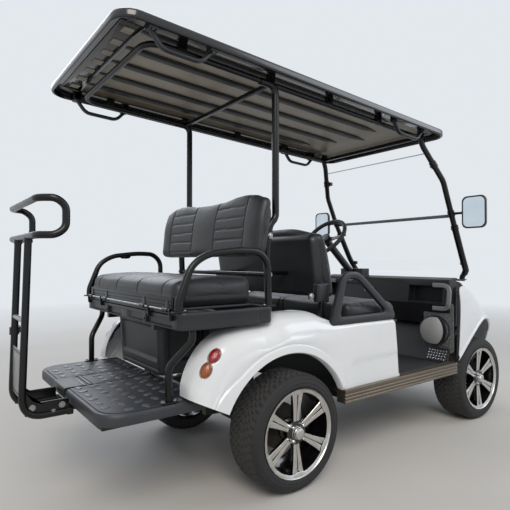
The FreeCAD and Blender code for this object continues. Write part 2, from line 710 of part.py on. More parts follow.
def make_front_seat():
    """Bench cushion on a board that tips forward over the battery, and the backrest."""
    low = size.seat_height
    high = low + size.cushion_thickness
    board = box("lid_board", (LID_REAR, LID_FRONT), (-LID_HALF, LID_HALF), (SEAT_BOARD, low))
    axis_x, axis_z = lid_axis()
    barrel = cylinder("lid_barrel", "y", (axis_x, 300, axis_z), size.lid_rod + 4, 60)
    leaf = box("lid_leaf", (axis_x - 4, axis_x + 4), (300, 360), (axis_z, SEAT_BOARD + 1))
    side = fuse("lid_side", [barrel, leaf])
    bore = cylinder("lid_bore", "y", (axis_x, -400, axis_z), size.lid_rod + size.running_clearance, 800)
    node(cut("lid_bored", fuse("lid_joined", [board, side, mirror("lid_side_mirror", side)]), bore), "front_seat_base")
    cushion = ((LID_REAR, low), (LID_FRONT, low), (LID_FRONT, high, 40), (LID_REAR, high, 30))
    node(pad("cushion", "XZ_Plane", cushion, -LID_HALF, LID_HALF), "front_seat_cushion")
    foot, rear = high + 15, SEAT_BOX_REAR
    back = (
        (rear, foot), (rear + 90, foot), (rear + 15, foot + 390, 35), (rear - 60, foot + 375, 25),
    )
    half = size.floor_half - 35
    return node(pad("backrest", "XZ_Plane", back, -half, half), "front_seat_back")


# Steps from the rear axle and heights down the fender's tail
TAIL_STEPS = ((-389, 761), (-454, 712), (-512, 631), (-542, 561), (-537, 508))


def make_rear_body():
    """Fender and side panel of each side, a shell that is open inboard and over the wheel."""
    wall = size.panel_wall
    bottom = size.rocker_top
    # Steps from the rear axle and heights along the top of the panel, from the seat to under the tray
    crest = offset_points(REAR, (
        (300, size.seat_height + 10), (235, size.seat_height + 40), (150, size.seat_height + 80),
        (90, size.tray_bottom + 29), (-90, size.tray_bottom + 25), (-130, size.tray_bottom - 5),
        (-270, size.tray_bottom - 13),
    ))
    front = [(SEAT_BOX_FRONT - 30, bottom), (SEAT_BOX_FRONT - 65, size.seat_height + 15)]
    under = [(REAR - 300, 508), (REAR + 200, bottom)]
    outline = front + crest + offset_points(REAR, TAIL_STEPS) + under
    count = len(outline)
    outer = pad("side_outer", "XZ_Plane", outline, FENDER_INNER, BODY_HALF)
    inner_outline = inset(outline, wall, (count - 3, count - 2, count - 1))
    inner = pad("side_inner", "XZ_Plane", inner_outline, FENDER_INNER - 5, BODY_HALF - wall)
    axis_x, axis_z = REAR - size.arch_setback, AXLE_Z - 2
    lip_disc = cylinder("lip_disc", "y", (axis_x, BODY_HALF - 1, axis_z), size.arch_radius + size.arch_lip,
                        size.lip_out + 1)
    lip_side = pad("lip_side", "XZ_Plane", outline, BODY_HALF - 2, BODY_HALF + size.lip_out + 2)
    shell = fuse("side_lipped", [cut("side_shell", outer, inner), common("side_lip", lip_disc, lip_side)])
    arch = cylinder("arch", "y", (axis_x, FENDER_INNER - 100, axis_z), size.arch_radius, size.fender_depth + 200)
    cabin = box("cabin_space", (SEAT_BOX_REAR, SEAT_BOX_FRONT - 10), (FENDER_INNER - 5, size.floor_half),
                (bottom - 26, size.seat_height + 165))
    left = cut("side_open", shell, fuse("side_tools", [arch, cabin]))
    node(left, "rear_body_left")
    node(mirror("side_mirror", left), "rear_body_right")


def make_tail_lamps():
    """Round red and amber lamps on the fender tails."""
    # Upper corner of the face that a lamp sits on, how far down that face and how far out
    places = ((1, 0.31, BODY_HALF - 60), (2, 0.28, BODY_HALF - 70))
    lamps = []
    for index, (corner, share, out) in enumerate(places):
        upper, lower = TAIL_STEPS[corner], TAIL_STEPS[corner + 1]
        step = upper[0] + share * (lower[0] - upper[0]) - 0.1
        height = upper[1] + share * (lower[1] - upper[1])
        lean = math.degrees(math.atan2(upper[0] - lower[0], upper[1] - lower[1]))
        lamp = doc.addObject("Part::Cylinder", f"lamp{index}")
        lamp.Radius = 29
        lamp.Height = 10
        turn = Rotation(Vector(0, 1, 0), lean - 90)
        place(lamp, (REAR + step, out, height), turn)
        lamps.append(both_sides(f"lamps{index}", lamp))
    node(compound("lamp_set", lamps), "tail_lamps")


def make_rear_frame():
    """Uprights and bearers that carry the tray over the axle, on two cross tubes."""
    foot = RAIL_TOP
    top = size.tray_bottom
    out = size.box_half + 13
    parts = []
    for index, station in enumerate((REAR - 66, REAR - 330)):
        parts.append(box(f"cross{index}", (station, station + 30), (-out - 28, out + 28), (foot, foot + 28)))
        post = box(f"post{index}", (station, station + 30), (out, out + 28), (foot, top - 5))
        parts += [post, mirror(f"post{index}_mirror", post)]
    bearer = box("bearer", (REAR - size.tray_rear + 20, REAR - 36), (out, out + 28), (top - 28, top))
    parts += [bearer, mirror("bearer_mirror", bearer)]
    shelf = box("strut_shelf", (REAR - 70, REAR - 28), (-size.strut_y - 24, size.strut_y + 24), (660, 680))
    parts.append(shelf)
    node(fuse("rear_frame_joined", parts), "rear_frame")


def make_tray():
    """Moulded tray that carries the rear seat, with the flip hinge rod at its rear top edge."""
    rear, front = REAR - size.tray_rear, REAR - size.tray_front
    half = TRAY_HALF
    outline = ((rear, -half, 28), (front, -half, 28), (front, half, 28), (rear, half, 28))
    outer = pad("tray_outer", "XY_Plane", outline, size.tray_bottom, TRAY_TOP)
    well = box("tray_well", (rear + size.tray_rim, front - size.tray_rim),
               (size.tray_side - half, half - size.tray_side), (size.tray_bottom + size.tray_floor, TRAY_TOP + 5))
    rest = box("tray_rest", (front - 120, front - 80), (size.tray_side - half - 5, half - size.tray_side + 5),
               (size.tray_bottom + 2, TRAY_TOP))
    axis_x, axis_z = rear - size.hinge_back, TRAY_TOP + size.seat_gap + size.base_thickness / 2
    rod = cylinder("rod_of_hinge", "y", (axis_x, -330, axis_z), size.hinge_rod, 660)
    ear = box("ear", (axis_x - 9, rear + 1), (300, 330), (TRAY_TOP - 25, axis_z + 9))
    ears = [ear, mirror("ear_mirror", ear)]
    node(fuse("tray_joined", [cut("tray_hollow", outer, well), rest, rod] + ears), "rear_tray")


def make_flip_seat():
    """Rear seat base with its hinge leaves, and the cushion on it."""
    rear = REAR - size.tray_rear + 7
    front = rear + size.base_depth
    low = TRAY_TOP + size.seat_gap
    high = low + size.base_thickness
    axis_x, axis_z = REAR - size.tray_rear - size.hinge_back, low + size.base_thickness / 2
    plate = box("base_plate", (rear, front), (-size.rear_seat_half, size.rear_seat_half), (low, high))
    leaf = box("hinge_leaf", (axis_x, rear + 5), (200, 290), (low + 2, high - 2))
    knuckle = cylinder("hinge_knuckle", "y", (axis_x, 200, axis_z), size.hinge_rod + 4, 90)
    side = fuse("leaf_joined", [leaf, knuckle])
    bore = cylinder("hinge_bore", "y", (axis_x, -400, axis_z), size.hinge_rod + size.running_clearance, 800)
    solid = fuse("base_joined", [plate, side, mirror("leaf_mirror", side)])
    node(cut("base_bored", solid, bore), "rear_seat_base")
    top = high + size.rear_cushion
    outline = ((rear, high), (front, high), (front, top, 45), (rear, top, 45))
    node(pad("rear_pad", "XZ_Plane", outline, -size.rear_seat_half, size.rear_seat_half), "rear_seat_cushion")


def make_hoops():
    """Armrest hoops on the tray's side walls."""
    # Steps from the rear axle and heights over the tray
    steps = (
        (-600, 0), (-600, 40), (-545, 188), (-468, 234), (-307, 252), (-200, 247), (-150, 198), (-147, 60), (-147, 0),
    )
    points = [(REAR + x, HOOP_Y, TRAY_TOP + z) for x, z in steps]
    node(both_sides("hoops", tube("hoop", points, size.hoop_radius, 70)), "armrest_hoops")


def make_rear_backrest():
    """Rear-facing backrest with a low saddle between two humps."""
    outline = (
        (-480, 0, 25), (480, 0, 25), (489, 60), (480, 210, 30), (420, 262), (330, 272), (170, 250),
        (-170, 250), (-330, 272), (-420, 262), (-480, 210, 30), (-489, 60),
    )
    body = pad("rear_back", "YZ_Plane", outline, 0, 85)
    place(body, (REAR - size.back_setback, 0, size.back_foot), Rotation(Vector(0, 1, 0), 8.4))
    return node(body, "rear_backrest")


def make_storage_box():
    """Storage box under the tray, open to the tray above."""
    rear = REAR - size.box_rear
    wall = size.panel_wall
    outer = box("store_outer", (rear, rear + size.box_depth), (-size.box_half, size.box_half),
                (size.box_bottom, size.tray_bottom))
    inner = box("store_inner", (rear + wall, rear + size.box_depth - wall),
                (wall - size.box_half, size.box_half - wall), (size.box_bottom + wall, size.tray_bottom + 5))
    node(cut("store_shell", outer, inner), "storage_box")


def make_deck():
    """Footrest deck with grooves between its three sections, and the struts up to the tray."""
    rear, front = REAR - size.deck_rear, REAR - size.deck_front
    half = size.deck_half
    corner = size.deck_corner
    outline = ((rear, -half, corner), (front, -half), (front, half), (rear, half, corner))
    slab = pad("deck", "XY_Plane", outline, DECK_BOTTOM, size.deck_top)
    groove = box("groove", (rear - 5, front + 5), (78, 84), (size.deck_top - 4, size.deck_top + 5))
    node(cut("deck_grooved", slab, fuse("grooves", [groove, mirror("groove_mirror", groove)])), "footrest_deck")
    foot_x = REAR - 610
    points = (
        (foot_x, half - 25, size.deck_top), (foot_x, half - 25, 646),
        (REAR - 530, half + 30, size.tray_bottom - 45), (REAR - 530, half + 30, size.tray_bottom),
    )
    node(both_sides("deck_struts_pair", tube("deck_strut", points, size.deck_tube, 60)), "deck_struts")


def make_hitch():
    """Hollow receiver under the deck, and the grab bar whose tongue slides into it."""
    half = size.receiver_half
    wall = size.receiver_wall
    rear, front = REAR - 860, REAR - size.deck_front - 10
    outer = box("receiver_outer", (rear, front), (-half, half), (RAIL_TOP, DECK_BOTTOM))
    inner = box("receiver_inner", (rear - 5, front + 5), (wall - half, half - wall),
                (RAIL_TOP + wall, DECK_BOTTOM - wall))
    node(cut("receiver_shell", outer, inner), "hitch_receiver")
    low = size.bar_low
    foot_x, top_x = REAR - 1083, REAR - 1060
    front_x = rear - 20
    path = (
        (top_x, size.bar_y, size.bar_top_z), (top_x, size.bar_y, size.bar_mid_z), (foot_x, size.bar_y, low),
        (front_x, size.bar_y, low),
    )
    upright = tube("upright", path, size.bar_radius, size.bar_bend)
    ring_out = 300
    ring = (
        (top_x, 0, size.bar_top_z), (top_x, ring_out - 30, size.bar_top_z), (top_x + 60, ring_out + 10, size.bar_top_z),
        (top_x + 120, ring_out + 10, size.bar_top_z - 30), (top_x + 120, ring_out + 10, size.bar_mid_z + 30),
        (top_x + 60, ring_out + 10, size.bar_mid_z), (top_x, ring_out - 30, size.bar_mid_z), (top_x, 0, size.bar_mid_z),
    )
    handle = tube("handle", ring, size.bar_radius, 60)
    plate = box("plate", (REAR - 1020, REAR - size.deck_rear - 6), (size.bar_y - 4, size.bar_y + 4), (low - 15, 486))
    cross = box("bar_cross", (front_x - 25, front_x), (-size.bar_y - 15, size.bar_y + 15), (low - 15, low + 15))
    tongue = box("tongue", (front_x - 10, rear + 220), (wall - half + 0.3, half - wall - 0.3),
                 (RAIL_TOP + wall + 0.3, DECK_BOTTOM - wall - 0.3))
    rung = cylinder("rung", "y", (REAR - 1072, -size.bar_y, 830), 11, 2 * size.bar_y)
    panel = box("panel", (REAR - 1081, REAR - 1077), (-size.bar_y, size.bar_y), (560, 730))
    sides = [upright, handle, plate]
    parts = sides + [mirror(part.Name + "_mirror", part) for part in sides]
    node(fuse("grab_bar_joined", parts + [cross, tongue, rung, panel]), "grab_bar")


def make_roof():
    """Moulded roof with ribs under it, and the tube frame that holds it."""
    rear = REAR - size.roof_rear
    length = FRONT - size.roof_front - rear
    half, corner, wall = size.roof_half, size.roof_corner, size.roof_wall
    pitch = Rotation(Vector(0, 1, 0), size.roof_pitch.value)
    at = (rear, 0, size.roof_rear_z)
    outline = ((0, -half, corner), (length, -half, corner), (length, half, corner), (0, half, corner))
    rim = pad("roof_rim_solid", "XY_Plane", outline, 0, size.roof_rim)
    inset = 60
    top = [(0 + inset, inset - half, corner), (length - inset, inset - half, corner),
           (length - inset, half - inset, corner), (0 + inset, half - inset, corner)]
    crown = pad("roof_crown_solid", "XY_Plane", top, size.roof_rim - 2, size.roof_rim + size.roof_crown)
    hollow_outline = ((wall * 2, wall * 2 - half, corner), (length - wall * 2, wall * 2 - half, corner),
                      (length - wall * 2, half - wall * 2, corner), (wall * 2, half - wall * 2, corner))
    hollow = pad("roof_hollow", "XY_Plane", hollow_outline, -5, size.roof_rim - wall)
    inset += 8
    crown_corners = [(0 + inset, inset - half, corner), (length - inset, inset - half, corner),
                     (length - inset, half - inset, corner), (0 + inset, half - inset, corner)]
    crown_hollow = pad("roof_crown_hollow", "XY_Plane", crown_corners, 20, size.roof_rim + size.roof_crown - wall)
    skin = cut("roof_skin", fuse("roof_outer", [rim, crown]), fuse("roof_space", [hollow, crown_hollow]))
    ribs = []
    for index in range(5):
        y = (index - 2) * 180
        ribs.append(box(f"rib{index}", (wall, length - wall), (y - 9, y + 9), (0, size.roof_rim - wall + 1)))
    roof = fuse("roof_joined", [skin] + ribs)
    place(roof, at, pitch)
    node(roof, "roof")
    rail = tube("roof_rail", ((150, size.strut_y, -14), (length - 150, size.strut_y, -14)), 14, 10)
    rails = both_sides("roof_rails", rail)
    bar_half = size.strut_y
    spans = ((160, 180), (800, 820), (length - 180, length - 160))
    bars = [box(f"bar{index}", span, (-bar_half, bar_half), (-24, 0)) for index, span in enumerate(spans)]
    bars = cut("roof_bars_cut", compound("roof_bars_whole", bars), both_sides("roof_rail_space", rail))
    grips = []
    y = half - 45
    for index, station in enumerate((150, length - 520)):
        path = ((station, y, -3), (station + 50, y, -62), (station + 230, y, -62), (station + 280, y, -3))
        pads = [box(f"grip_pad{index}{end}", (station + x - 15, station + x + 15), (y - 15, half - 10), (-6, 0))
                for end, x in (("a", 0), ("b", 280))]
        grips.append(both_sides(f"grips{index}", fuse(f"grip_joined{index}", [tube(f"grip{index}", path, 9, 30)] + pads)))
    handles = compound("roof_grips", grips)
    for obj, label in ((rails, "roof_rails"), (bars, "roof_bars"), (handles, "roof_handles")):
        place(obj, at, pitch)
        node(obj, label)
    return [rails, bars]


def make_struts(roof_frame, backrests, front_end):
    """Bent tubes that carry the roof: two behind the front seat and two at the windshield."""
    # Steps from the rear axle and heights
    steps = ((-49, 680), (-49, 876), (-61, 1125), (-41, 1255), (-3, 1290), (-3, 1800), (-90, 1945), (-100, 1975))
    rear = tube("rear_strut", [(REAR + x, size.strut_y, z) for x, z in steps], size.strut_radius, 120)
    ties = []
    for index, (step, height) in enumerate(((-56, size.back_foot - 130), (-52, size.back_foot + 60))):
        ties.append(cylinder(f"tie{index}", "y", (REAR + step, -size.strut_y, height), 12, 2 * size.strut_y))
    # Brackets from the cross ties to the two backrests: stations and heights
    reaches = (
        ((REAR - size.back_setback + 80, REAR - 52), size.back_foot + 50),
        ((REAR - 56, SEAT_BOX_REAR - 10), size.back_foot - 140),
    )
    for index, (reach, height) in enumerate(reaches):
        bracket = box(f"back_bracket{index}", reach, (220, 250), (height, height + 20))
        ties += [bracket, mirror(f"back_bracket{index}_mirror", bracket)]
    rear_pair = fuse("rear_struts_joined", [rear, mirror("rear_strut_mirror", rear)] + ties)
    node(cut("rear_struts_cut", rear_pair, fuse("strut_tools", roof_frame + backrests)), "rear_struts")
    # Steps behind the front axle, distance out and height
    pillar_steps = (
        (12, 470, 934), (12, 470, 965), (15, 500, 1000), (-47, 510, 1080), (-215, 522, 1390), (-312, 523, 1600),
        (-420, 444, 1829), (-450, 440, 1895),
    )
    pillar = tube("pillar", [(FRONT + x, y, z) for x, y, z in pillar_steps], size.strut_radius, 150)
    tools = fuse("pillar_tools", roof_frame + front_end)
    node(cut("pillars_cut", both_sides("pillars", pillar), tools), "front_pillars")


def make_windshield():
    """Bent clear sheet in front of the pillars, narrower at the top."""
    ahead = size.strut_radius + 2.6
    # Steps from the front axle to the pillars' line, and heights
    steps = ((-403, 1793), (-312, 1600), (-215, 1390), (-45, 1080), (19, 1000), (19, 925))
    back = [(FRONT + x + ahead, z) for x, z in steps]
    front = [(FRONT + x + ahead + size.glass_thickness, z) for x, z in reversed(steps)]
    sheet_body = pad("glass_side", "XZ_Plane", back + front, -530, 530)
    face = ((-500, 934), (500, 934), (520, 1390), (520, 1600), (452, 1793), (-452, 1793), (-520, 1600), (-520, 1390))
    face_body = pad("glass_face", "YZ_Plane", face, FRONT - 450, FRONT + 100)
    node(common("glass_trimmed", sheet_body, face_body), "windshield")


def make_mirrors():
    """Side mirrors on short arms from the pillars."""
    x = FRONT - 215
    arm = cylinder("mirror_arm", "y", (x, 541, 1391), 9, 70)
    shell_corners = ((600, 1286, 30), (760, 1286, 30), (760, 1496, 30), (600, 1496, 30))
    shell = pad("mirror_shell", "YZ_Plane", shell_corners, x - 12, x + 28)
    node(both_sides("mirror_pair", fuse("mirror_one", [arm, shell])), "mirrors")


def make_cowl():
    """Front body shell: fenders over the wheels and the raised hood between them, rounded in plan."""
    wall = size.panel_wall
    nose = FRAME_FRONT
    # Steps from the front axle and heights
    fender = offset_points(FRONT, (
        (-228, 905), (-133, 894), (-81, 887), (26, 809), (103, 724), (160, 651), (250, 575), (size.rail_front, 500),
        (size.rail_front, 420), (276, 420), (264, 500), (220, 600), (145, 655), (47, 667), (-106, 560), (-260, 426),
    ))
    hood = offset_points(FRONT, (
        (1, 664), (1, 940), (70, 928), (170, 850), (265, 730), (330, 600), (size.rail_front, 500),
        (size.rail_front, 420), (276, 420), (264, 500), (220, 600), (145, 655), (47, 667),
    ))
    half, mid, front_half = BODY_HALF, size.cowl_centre_half, BODY_HALF - 140
    plan = (
        (FRONT - 400, -half), (FRONT + 150, -half, 150), (nose, -front_half, 120), (nose, front_half, 120),
        (FRONT + 150, half, 150), (FRONT - 400, half),
    )
    sides = fuse("cowl_sides", [
        pad("fender_solid", "XZ_Plane", fender, -half, half), pad("hood_solid", "XZ_Plane", hood, -mid, mid),
    ])
    outer = common("cowl_outer", sides, pad("cowl_plan", "XY_Plane", plan, 400, 960))
    # The undersides of both outlines stay open
    hood_space = pad("hood_space", "XZ_Plane", inset(hood, wall, range(7, 13)), wall - mid, mid - wall)
    fender_space = pad("fender_space", "XZ_Plane", inset(fender, wall, range(8, 15)), wall - half, half - wall)
    inner = common("cowl_inner", fuse("cowl_inner_sides", [fender_space, hood_space]),
                   pad("plan_space", "XY_Plane", inset(plan, wall, (5,)), 390, 970))
    cabin = box("cabin_front", (FRONT - size.cowl_rear, FRONT - 200), (-size.floor_half, size.floor_half),
                (400, size.dash_top))
    node(cut("cowl_shell", outer, fuse("cowl_tools", [inner, cabin])), "front_cowl")
    node(box("bumper", (nose, nose + size.bumper_depth), (-size.bumper_half, size.bumper_half),
             (size.bumper_bottom, size.bumper_bottom + size.bumper_height)), "front_bumper")
    lamp = box("headlight", (nose, nose + 10), (210, 370), (435, 490))
    node(both_sides("headlight_pair", lamp), "headlights")
    return outer


def make_dashboard():
    """Dashboard with a cubby on each side, a shelf ahead of it and the instrument pod."""
    profile = [(FRONT + x, z) for x, z in (
        (-315, 790), (-295, size.dash_top - 12), (-220, size.dash_top), (0, size.dash_top - 20),
        (0, size.dash_top - 30), (-215, size.dash_top - 12), (-222, 645), (-262, 645),
    )]
    solid = pad("dash_solid", "XZ_Plane", profile, -size.floor_half, size.floor_half)
    shelf_trim = box("shelf_trim", (FRONT - 200, FRONT + 10), (size.cowl_centre_half, 620), (900, 990))
    pod = box("pod", (FRONT - 312, FRONT - 225), (size.wheel_y - 110, size.wheel_y + 110), (900, 1015))
    cubby = box("cubby", (FRONT - 330, FRONT - 240), (-510, -250), (790, 905))
    cubby_left = box("cubby_left", (FRONT - 330, FRONT - 240), (400, 510), (790, 905))
    tools = fuse("dash_tools", [shelf_trim, mirror("shelf_trim_mirror", shelf_trim), cubby, cubby_left])
    dash = cut("dash_cut", fuse("dash_joined", [solid, pod]), tools)
    node(dash, "dashboard")
    return dash


def column_turn():
    """Rotation from +Z to the column's axis, up and back towards the driver."""
    return Rotation(Vector(0, 1, 0), size.column_angle.value - 90)


def make_steering(dash):
    """Steering wheel with its shaft, and the column that it turns in."""
    at = (FRONT - size.wheel_x, size.wheel_y, size.wheel_z)
    ring = doc.addObject("Part::Torus", "ring")
    ring.setExpression("Radius1", size.wheel_ring.text)
    ring.setExpression("Radius2", size.wheel_grip.text)
    hub = cylinder("steering_hub", "z", (0, 0, -35), 38, 40)
    shaft = cylinder("shaft", "z", (0, 0, -110), size.shaft_radius, 80)
    parts = [ring, hub, shaft]
    for index, angle in enumerate((90, 180, 270)):
        spoke = doc.addObject("Part::Box", f"wheel_spoke{index}")
        spoke.setExpression("Length", size.wheel_ring.text)
        spoke.Width = 30
        spoke.Height = 8
        turn = Rotation(Vector(0, 0, 1), angle)
        spoke.Placement = Placement(turn.multVec(Vector(0, -15, -12)), turn)
        parts.append(spoke)
    wheel = fuse("steering_wheel_joined", parts)
    place(wheel, at, column_turn())
    node(wheel, "steering_wheel")
    outer = cylinder("column_outer", "z", (0, 0, -440), size.column_radius, 400)
    bore = cylinder("column_bore", "z", (0, 0, -115), size.shaft_radius + size.running_clearance, 80)
    column = cut("column_bored", outer, bore)
    place(column, at, column_turn())
    node(cut("column_trimmed", column, dash), "steering_column")


def make_footwell(floor, dash):
    """Pedals on the toe board and the speaker pods beside it."""
    pedals = []
    for index, (y, width) in enumerate(((150, 60), (260, 90))):
        plate_corners = [(FRONT + x, z) for x, z in ((-345, 478), (-290, 577), (-300, 583), (-355, 484))]
        plate = pad(f"pedal{index}", "XZ_Plane", plate_corners, y, y + width)
        stem = box(f"stem{index}", (FRONT - 325, FRONT - 272), (y + width / 2 - 10, y + width / 2 + 10), (520, 540))
        pedals.append(fuse(f"pedal_joined{index}", [plate, stem]))
    node(cut("pedals_cut", compound("pedal_pair", pedals), floor), "pedals")
    pod = cylinder("speaker", "x", (FRONT - 335, size.floor_half - 100, size.dash_top - 347), 95, 55)
    node(cut("speakers_cut", both_sides("speaker_pair", pod), fuse("footwell_walls", [floor, dash])), "speakers")


def make_hip_restraints():
    """Triangular side restraints with a window."""
    low = size.seat_height + 15
    outer = offset_points(REAR, (
        (220, low), (735, low), (735, low + 40), (480, low + 240), (430, low + 270), (310, low + 270),
    ))
    window = offset_points(REAR, (
        (290, low + 40), (650, low + 50), (455, low + 210), (415, low + 235), (340, low + 235),
    ))
    solid = pad("restraint", "XZ_Plane", outer, BODY_HALF - 28, BODY_HALF)
    hole = pad("restraint_window", "XZ_Plane", window, BODY_HALF - 40, BODY_HALF + 12)
    seat = cut("restraint_seated", cut("restraint_cut", solid, hole), doc.getObject("side_outer"))
    node(both_sides("restraint_pair", seat), "hip_restraints")


make_frame()
make_rear_axle()
make_springs()
make_front_axle()
make_knuckles()
make_rack()
for end, station in (("rear", REAR), ("front", FRONT)):
    make_wheel(f"{end}_left", station, 1)
    make_wheel(f"{end}_right", station, -1)
make_floor()
make_rockers()
make_seat_box()
front_back = make_front_seat()
make_rear_body()
make_tail_lamps()
make_rear_frame()
make_tray()
make_flip_seat()
make_hoops()
rear_back = make_rear_backrest()
make_storage_box()
make_deck()
make_hitch()
roof_frame = make_roof()
cowl = make_cowl()
dashboard = make_dashboard()
make_struts(roof_frame, [front_back, rear_back], [cowl, dashboard])
make_windshield()
make_mirrors()
make_steering(dashboard)
make_footwell(doc.getObject("floor"), dashboard)
make_hip_restraints()
doc.recompute()

for obj in doc.Objects:
    if {"Invalid", "Error"} & set(obj.State):
        raise RuntimeError(f"{obj.Name} did not recompute: {obj.State}")
for obj in nodes:
    if obj.Shape.isNull() or not obj.Shape.isValid() or not obj.Shape.Solids:
        raise RuntimeError(f"{obj.Label} has no valid solid")
    obj.Shape.exportStep(f"parts/{obj.Label}.step")
    print(f"{obj.Label}: {len(obj.Shape.Solids)} solids, {obj.Shape.Volume / 1000:.0f} cm3")
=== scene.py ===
"""Dresses the four-seat golf cart: bodywork, wheels, upholstery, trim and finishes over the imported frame.

Metres. +X points forward, +Y to the driver's side and +Z up, as in the frame.
"""

import logging
import math
from dataclasses import dataclass, field, replace
from enum import Enum
from typing import Callable, Sequence

import bmesh
import bpy
import numpy as np
from mathutils import Matrix, Vector


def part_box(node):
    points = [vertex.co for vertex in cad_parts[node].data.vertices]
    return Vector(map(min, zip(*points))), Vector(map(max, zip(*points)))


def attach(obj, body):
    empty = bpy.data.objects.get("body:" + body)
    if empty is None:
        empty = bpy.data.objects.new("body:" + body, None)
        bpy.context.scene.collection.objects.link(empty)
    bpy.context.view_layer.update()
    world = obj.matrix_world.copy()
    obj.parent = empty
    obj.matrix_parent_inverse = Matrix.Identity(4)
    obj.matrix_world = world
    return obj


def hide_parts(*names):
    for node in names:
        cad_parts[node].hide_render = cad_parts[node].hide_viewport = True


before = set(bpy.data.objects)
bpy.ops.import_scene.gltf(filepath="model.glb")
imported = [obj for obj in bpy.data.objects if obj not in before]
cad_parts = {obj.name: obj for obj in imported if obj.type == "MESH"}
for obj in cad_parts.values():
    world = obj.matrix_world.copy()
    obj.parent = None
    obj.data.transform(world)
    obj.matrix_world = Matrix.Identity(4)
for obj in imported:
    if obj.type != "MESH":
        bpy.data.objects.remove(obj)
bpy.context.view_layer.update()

LOG = logging.getLogger("golf_cart")
Array = np.ndarray
Colour = tuple[float, float, float, float]
Point = tuple[float, float, float]
Piece = bpy.types.Object
Material = bpy.types.Material
Tree = bpy.types.NodeTree
Node = bpy.types.Node
Socket = bpy.types.NodeSocket

REAR_X = -0.480
FRONT_X = 1.190
AXLE_Z = 0.274
MM = 0.001


# Shapes


@dataclass
class Patch:
    """One closed surface: its points, its faces and the material number of each face group."""

    points: Array
    faces: list[Array]
    slot: list[int] = field(default_factory=list)
    uv: Array | None = None

    def __post_init__(self) -> None:
        """Give every face group the first material where none is named."""
        if not self.slot:
            self.slot = [0] * len(self.faces)

    def moved(self, offset: Sequence[float]) -> "Patch":
        """Shift the surface by an offset."""
        return replace(self, points=self.points + np.asarray(offset, float))

    def turned(self, matrix: Array, about: Sequence[float] = (0.0, 0.0, 0.0)) -> "Patch":
        """Turn the surface by a 3 x 3 rotation about a point."""
        centre = np.asarray(about, float)
        return replace(self, points=(self.points - centre) @ np.asarray(matrix, float).T + centre)

    def mirrored(self) -> "Patch":
        """Mirror the surface across the centre plane, with its faces still outwards."""
        faces = [group[:, ::-1] for group in self.faces]
        return replace(self, points=self.points * (1, -1, 1), faces=faces)

    def painted(self, slot: int) -> "Patch":
        """Give the whole surface one material number."""
        return replace(self, slot=[slot] * len(self.faces))

    def outward(self) -> "Patch":
        """Turn the faces round where the signed volume is negative.

        The volume is the sum of a . (b x c) / 6 over the triangles.
        """
        local = self.points - self.points.mean(0)
        volume = 0.0
        for group in self.faces:
            for step in range(1, group.shape[1] - 1):
                a, b, c = (local[group[:, corner]] for corner in (0, step, step + 1))
                volume += float(np.sum(a * np.cross(b, c)))
        if volume >= 0:
            return self
        return replace(self, faces=[group[:, ::-1] for group in self.faces])

    def scattered(self, turns: Array, spots: Array) -> "Patch":
        """Repeat the surface at each spot, turned by the matrix of that spot."""
        count, size = len(spots), len(self.points)
        points = np.einsum("nij,mj->nmi", np.asarray(turns, float), self.points)
        points = points + np.asarray(spots, float)[:, None]
        shift = (np.arange(count) * size)[:, None, None]
        faces = [(group[None] + shift).reshape(-1, group.shape[1]) for group in self.faces]
        uv = None if self.uv is None else np.tile(self.uv, (count, 1))
        return Patch(points.reshape(-1, 3), faces, list(self.slot), uv)


def smoothstep(low: float, high: float, value: Array) -> Array:
    """Rise from 0 at low to 1 at high along 3 t^2 - 2 t^3."""
    t = np.clip((value - low) / (high - low), 0, 1)
    return t * t * (3 - 2 * t)


def grid(points: Array, wrap_u: bool = False, wrap_v: bool = False, caps: bool = False,
         slots: Array | None = None, uv: Array | None = None) -> Patch:
    """Join a grid of points by quads.

    Args:
        points: rows by columns by 3.
        wrap_u: whether the last row joins the first.
        wrap_v: whether the last column joins the first.
        caps: whether the first and last rows, closed rings, are filled by fans of triangles.
        slots: material numbers that spread over the rows and columns of faces.
        uv: rows by columns by 2, in metres.

    Returns:
        The surface.
    """
    rows, cols = points.shape[:2]
    index = np.arange(rows * cols).reshape(rows, cols)
    down = np.roll(index, -1, 0) if wrap_u else index[1:]
    top = index if wrap_u else index[:-1]
    if wrap_v:
        quads = np.stack([top, np.roll(top, -1, 1), np.roll(down, -1, 1), down], -1)
    else:
        quads = np.stack([top[:, :-1], top[:, 1:], down[:, 1:], down[:, :-1]], -1)
    flat = points.reshape(-1, 3)
    spread = np.broadcast_to(0 if slots is None else np.asarray(slots), quads.shape[:2])
    numbers = [int(number) for number in np.unique(spread)]
    groups = [quads[spread == number] for number in numbers]
    flat_uv = None if uv is None else uv.reshape(-1, 2)
    if caps:
        first, last = index[0], index[-1]
        centre = len(flat)
        flat = np.vstack([flat, points[0].mean(0), points[-1].mean(0)])
        groups.append(np.stack([np.roll(first, -1), first, np.full(cols, centre)], -1))
        groups.append(np.stack([last, np.roll(last, -1), np.full(cols, centre + 1)], -1))
        numbers += [int(spread[0, 0]), int(spread[-1, -1])]
        if flat_uv is not None:
            flat_uv = np.vstack([flat_uv, uv[0].mean(0), uv[-1].mean(0)])
    return Patch(flat, groups, numbers, flat_uv)


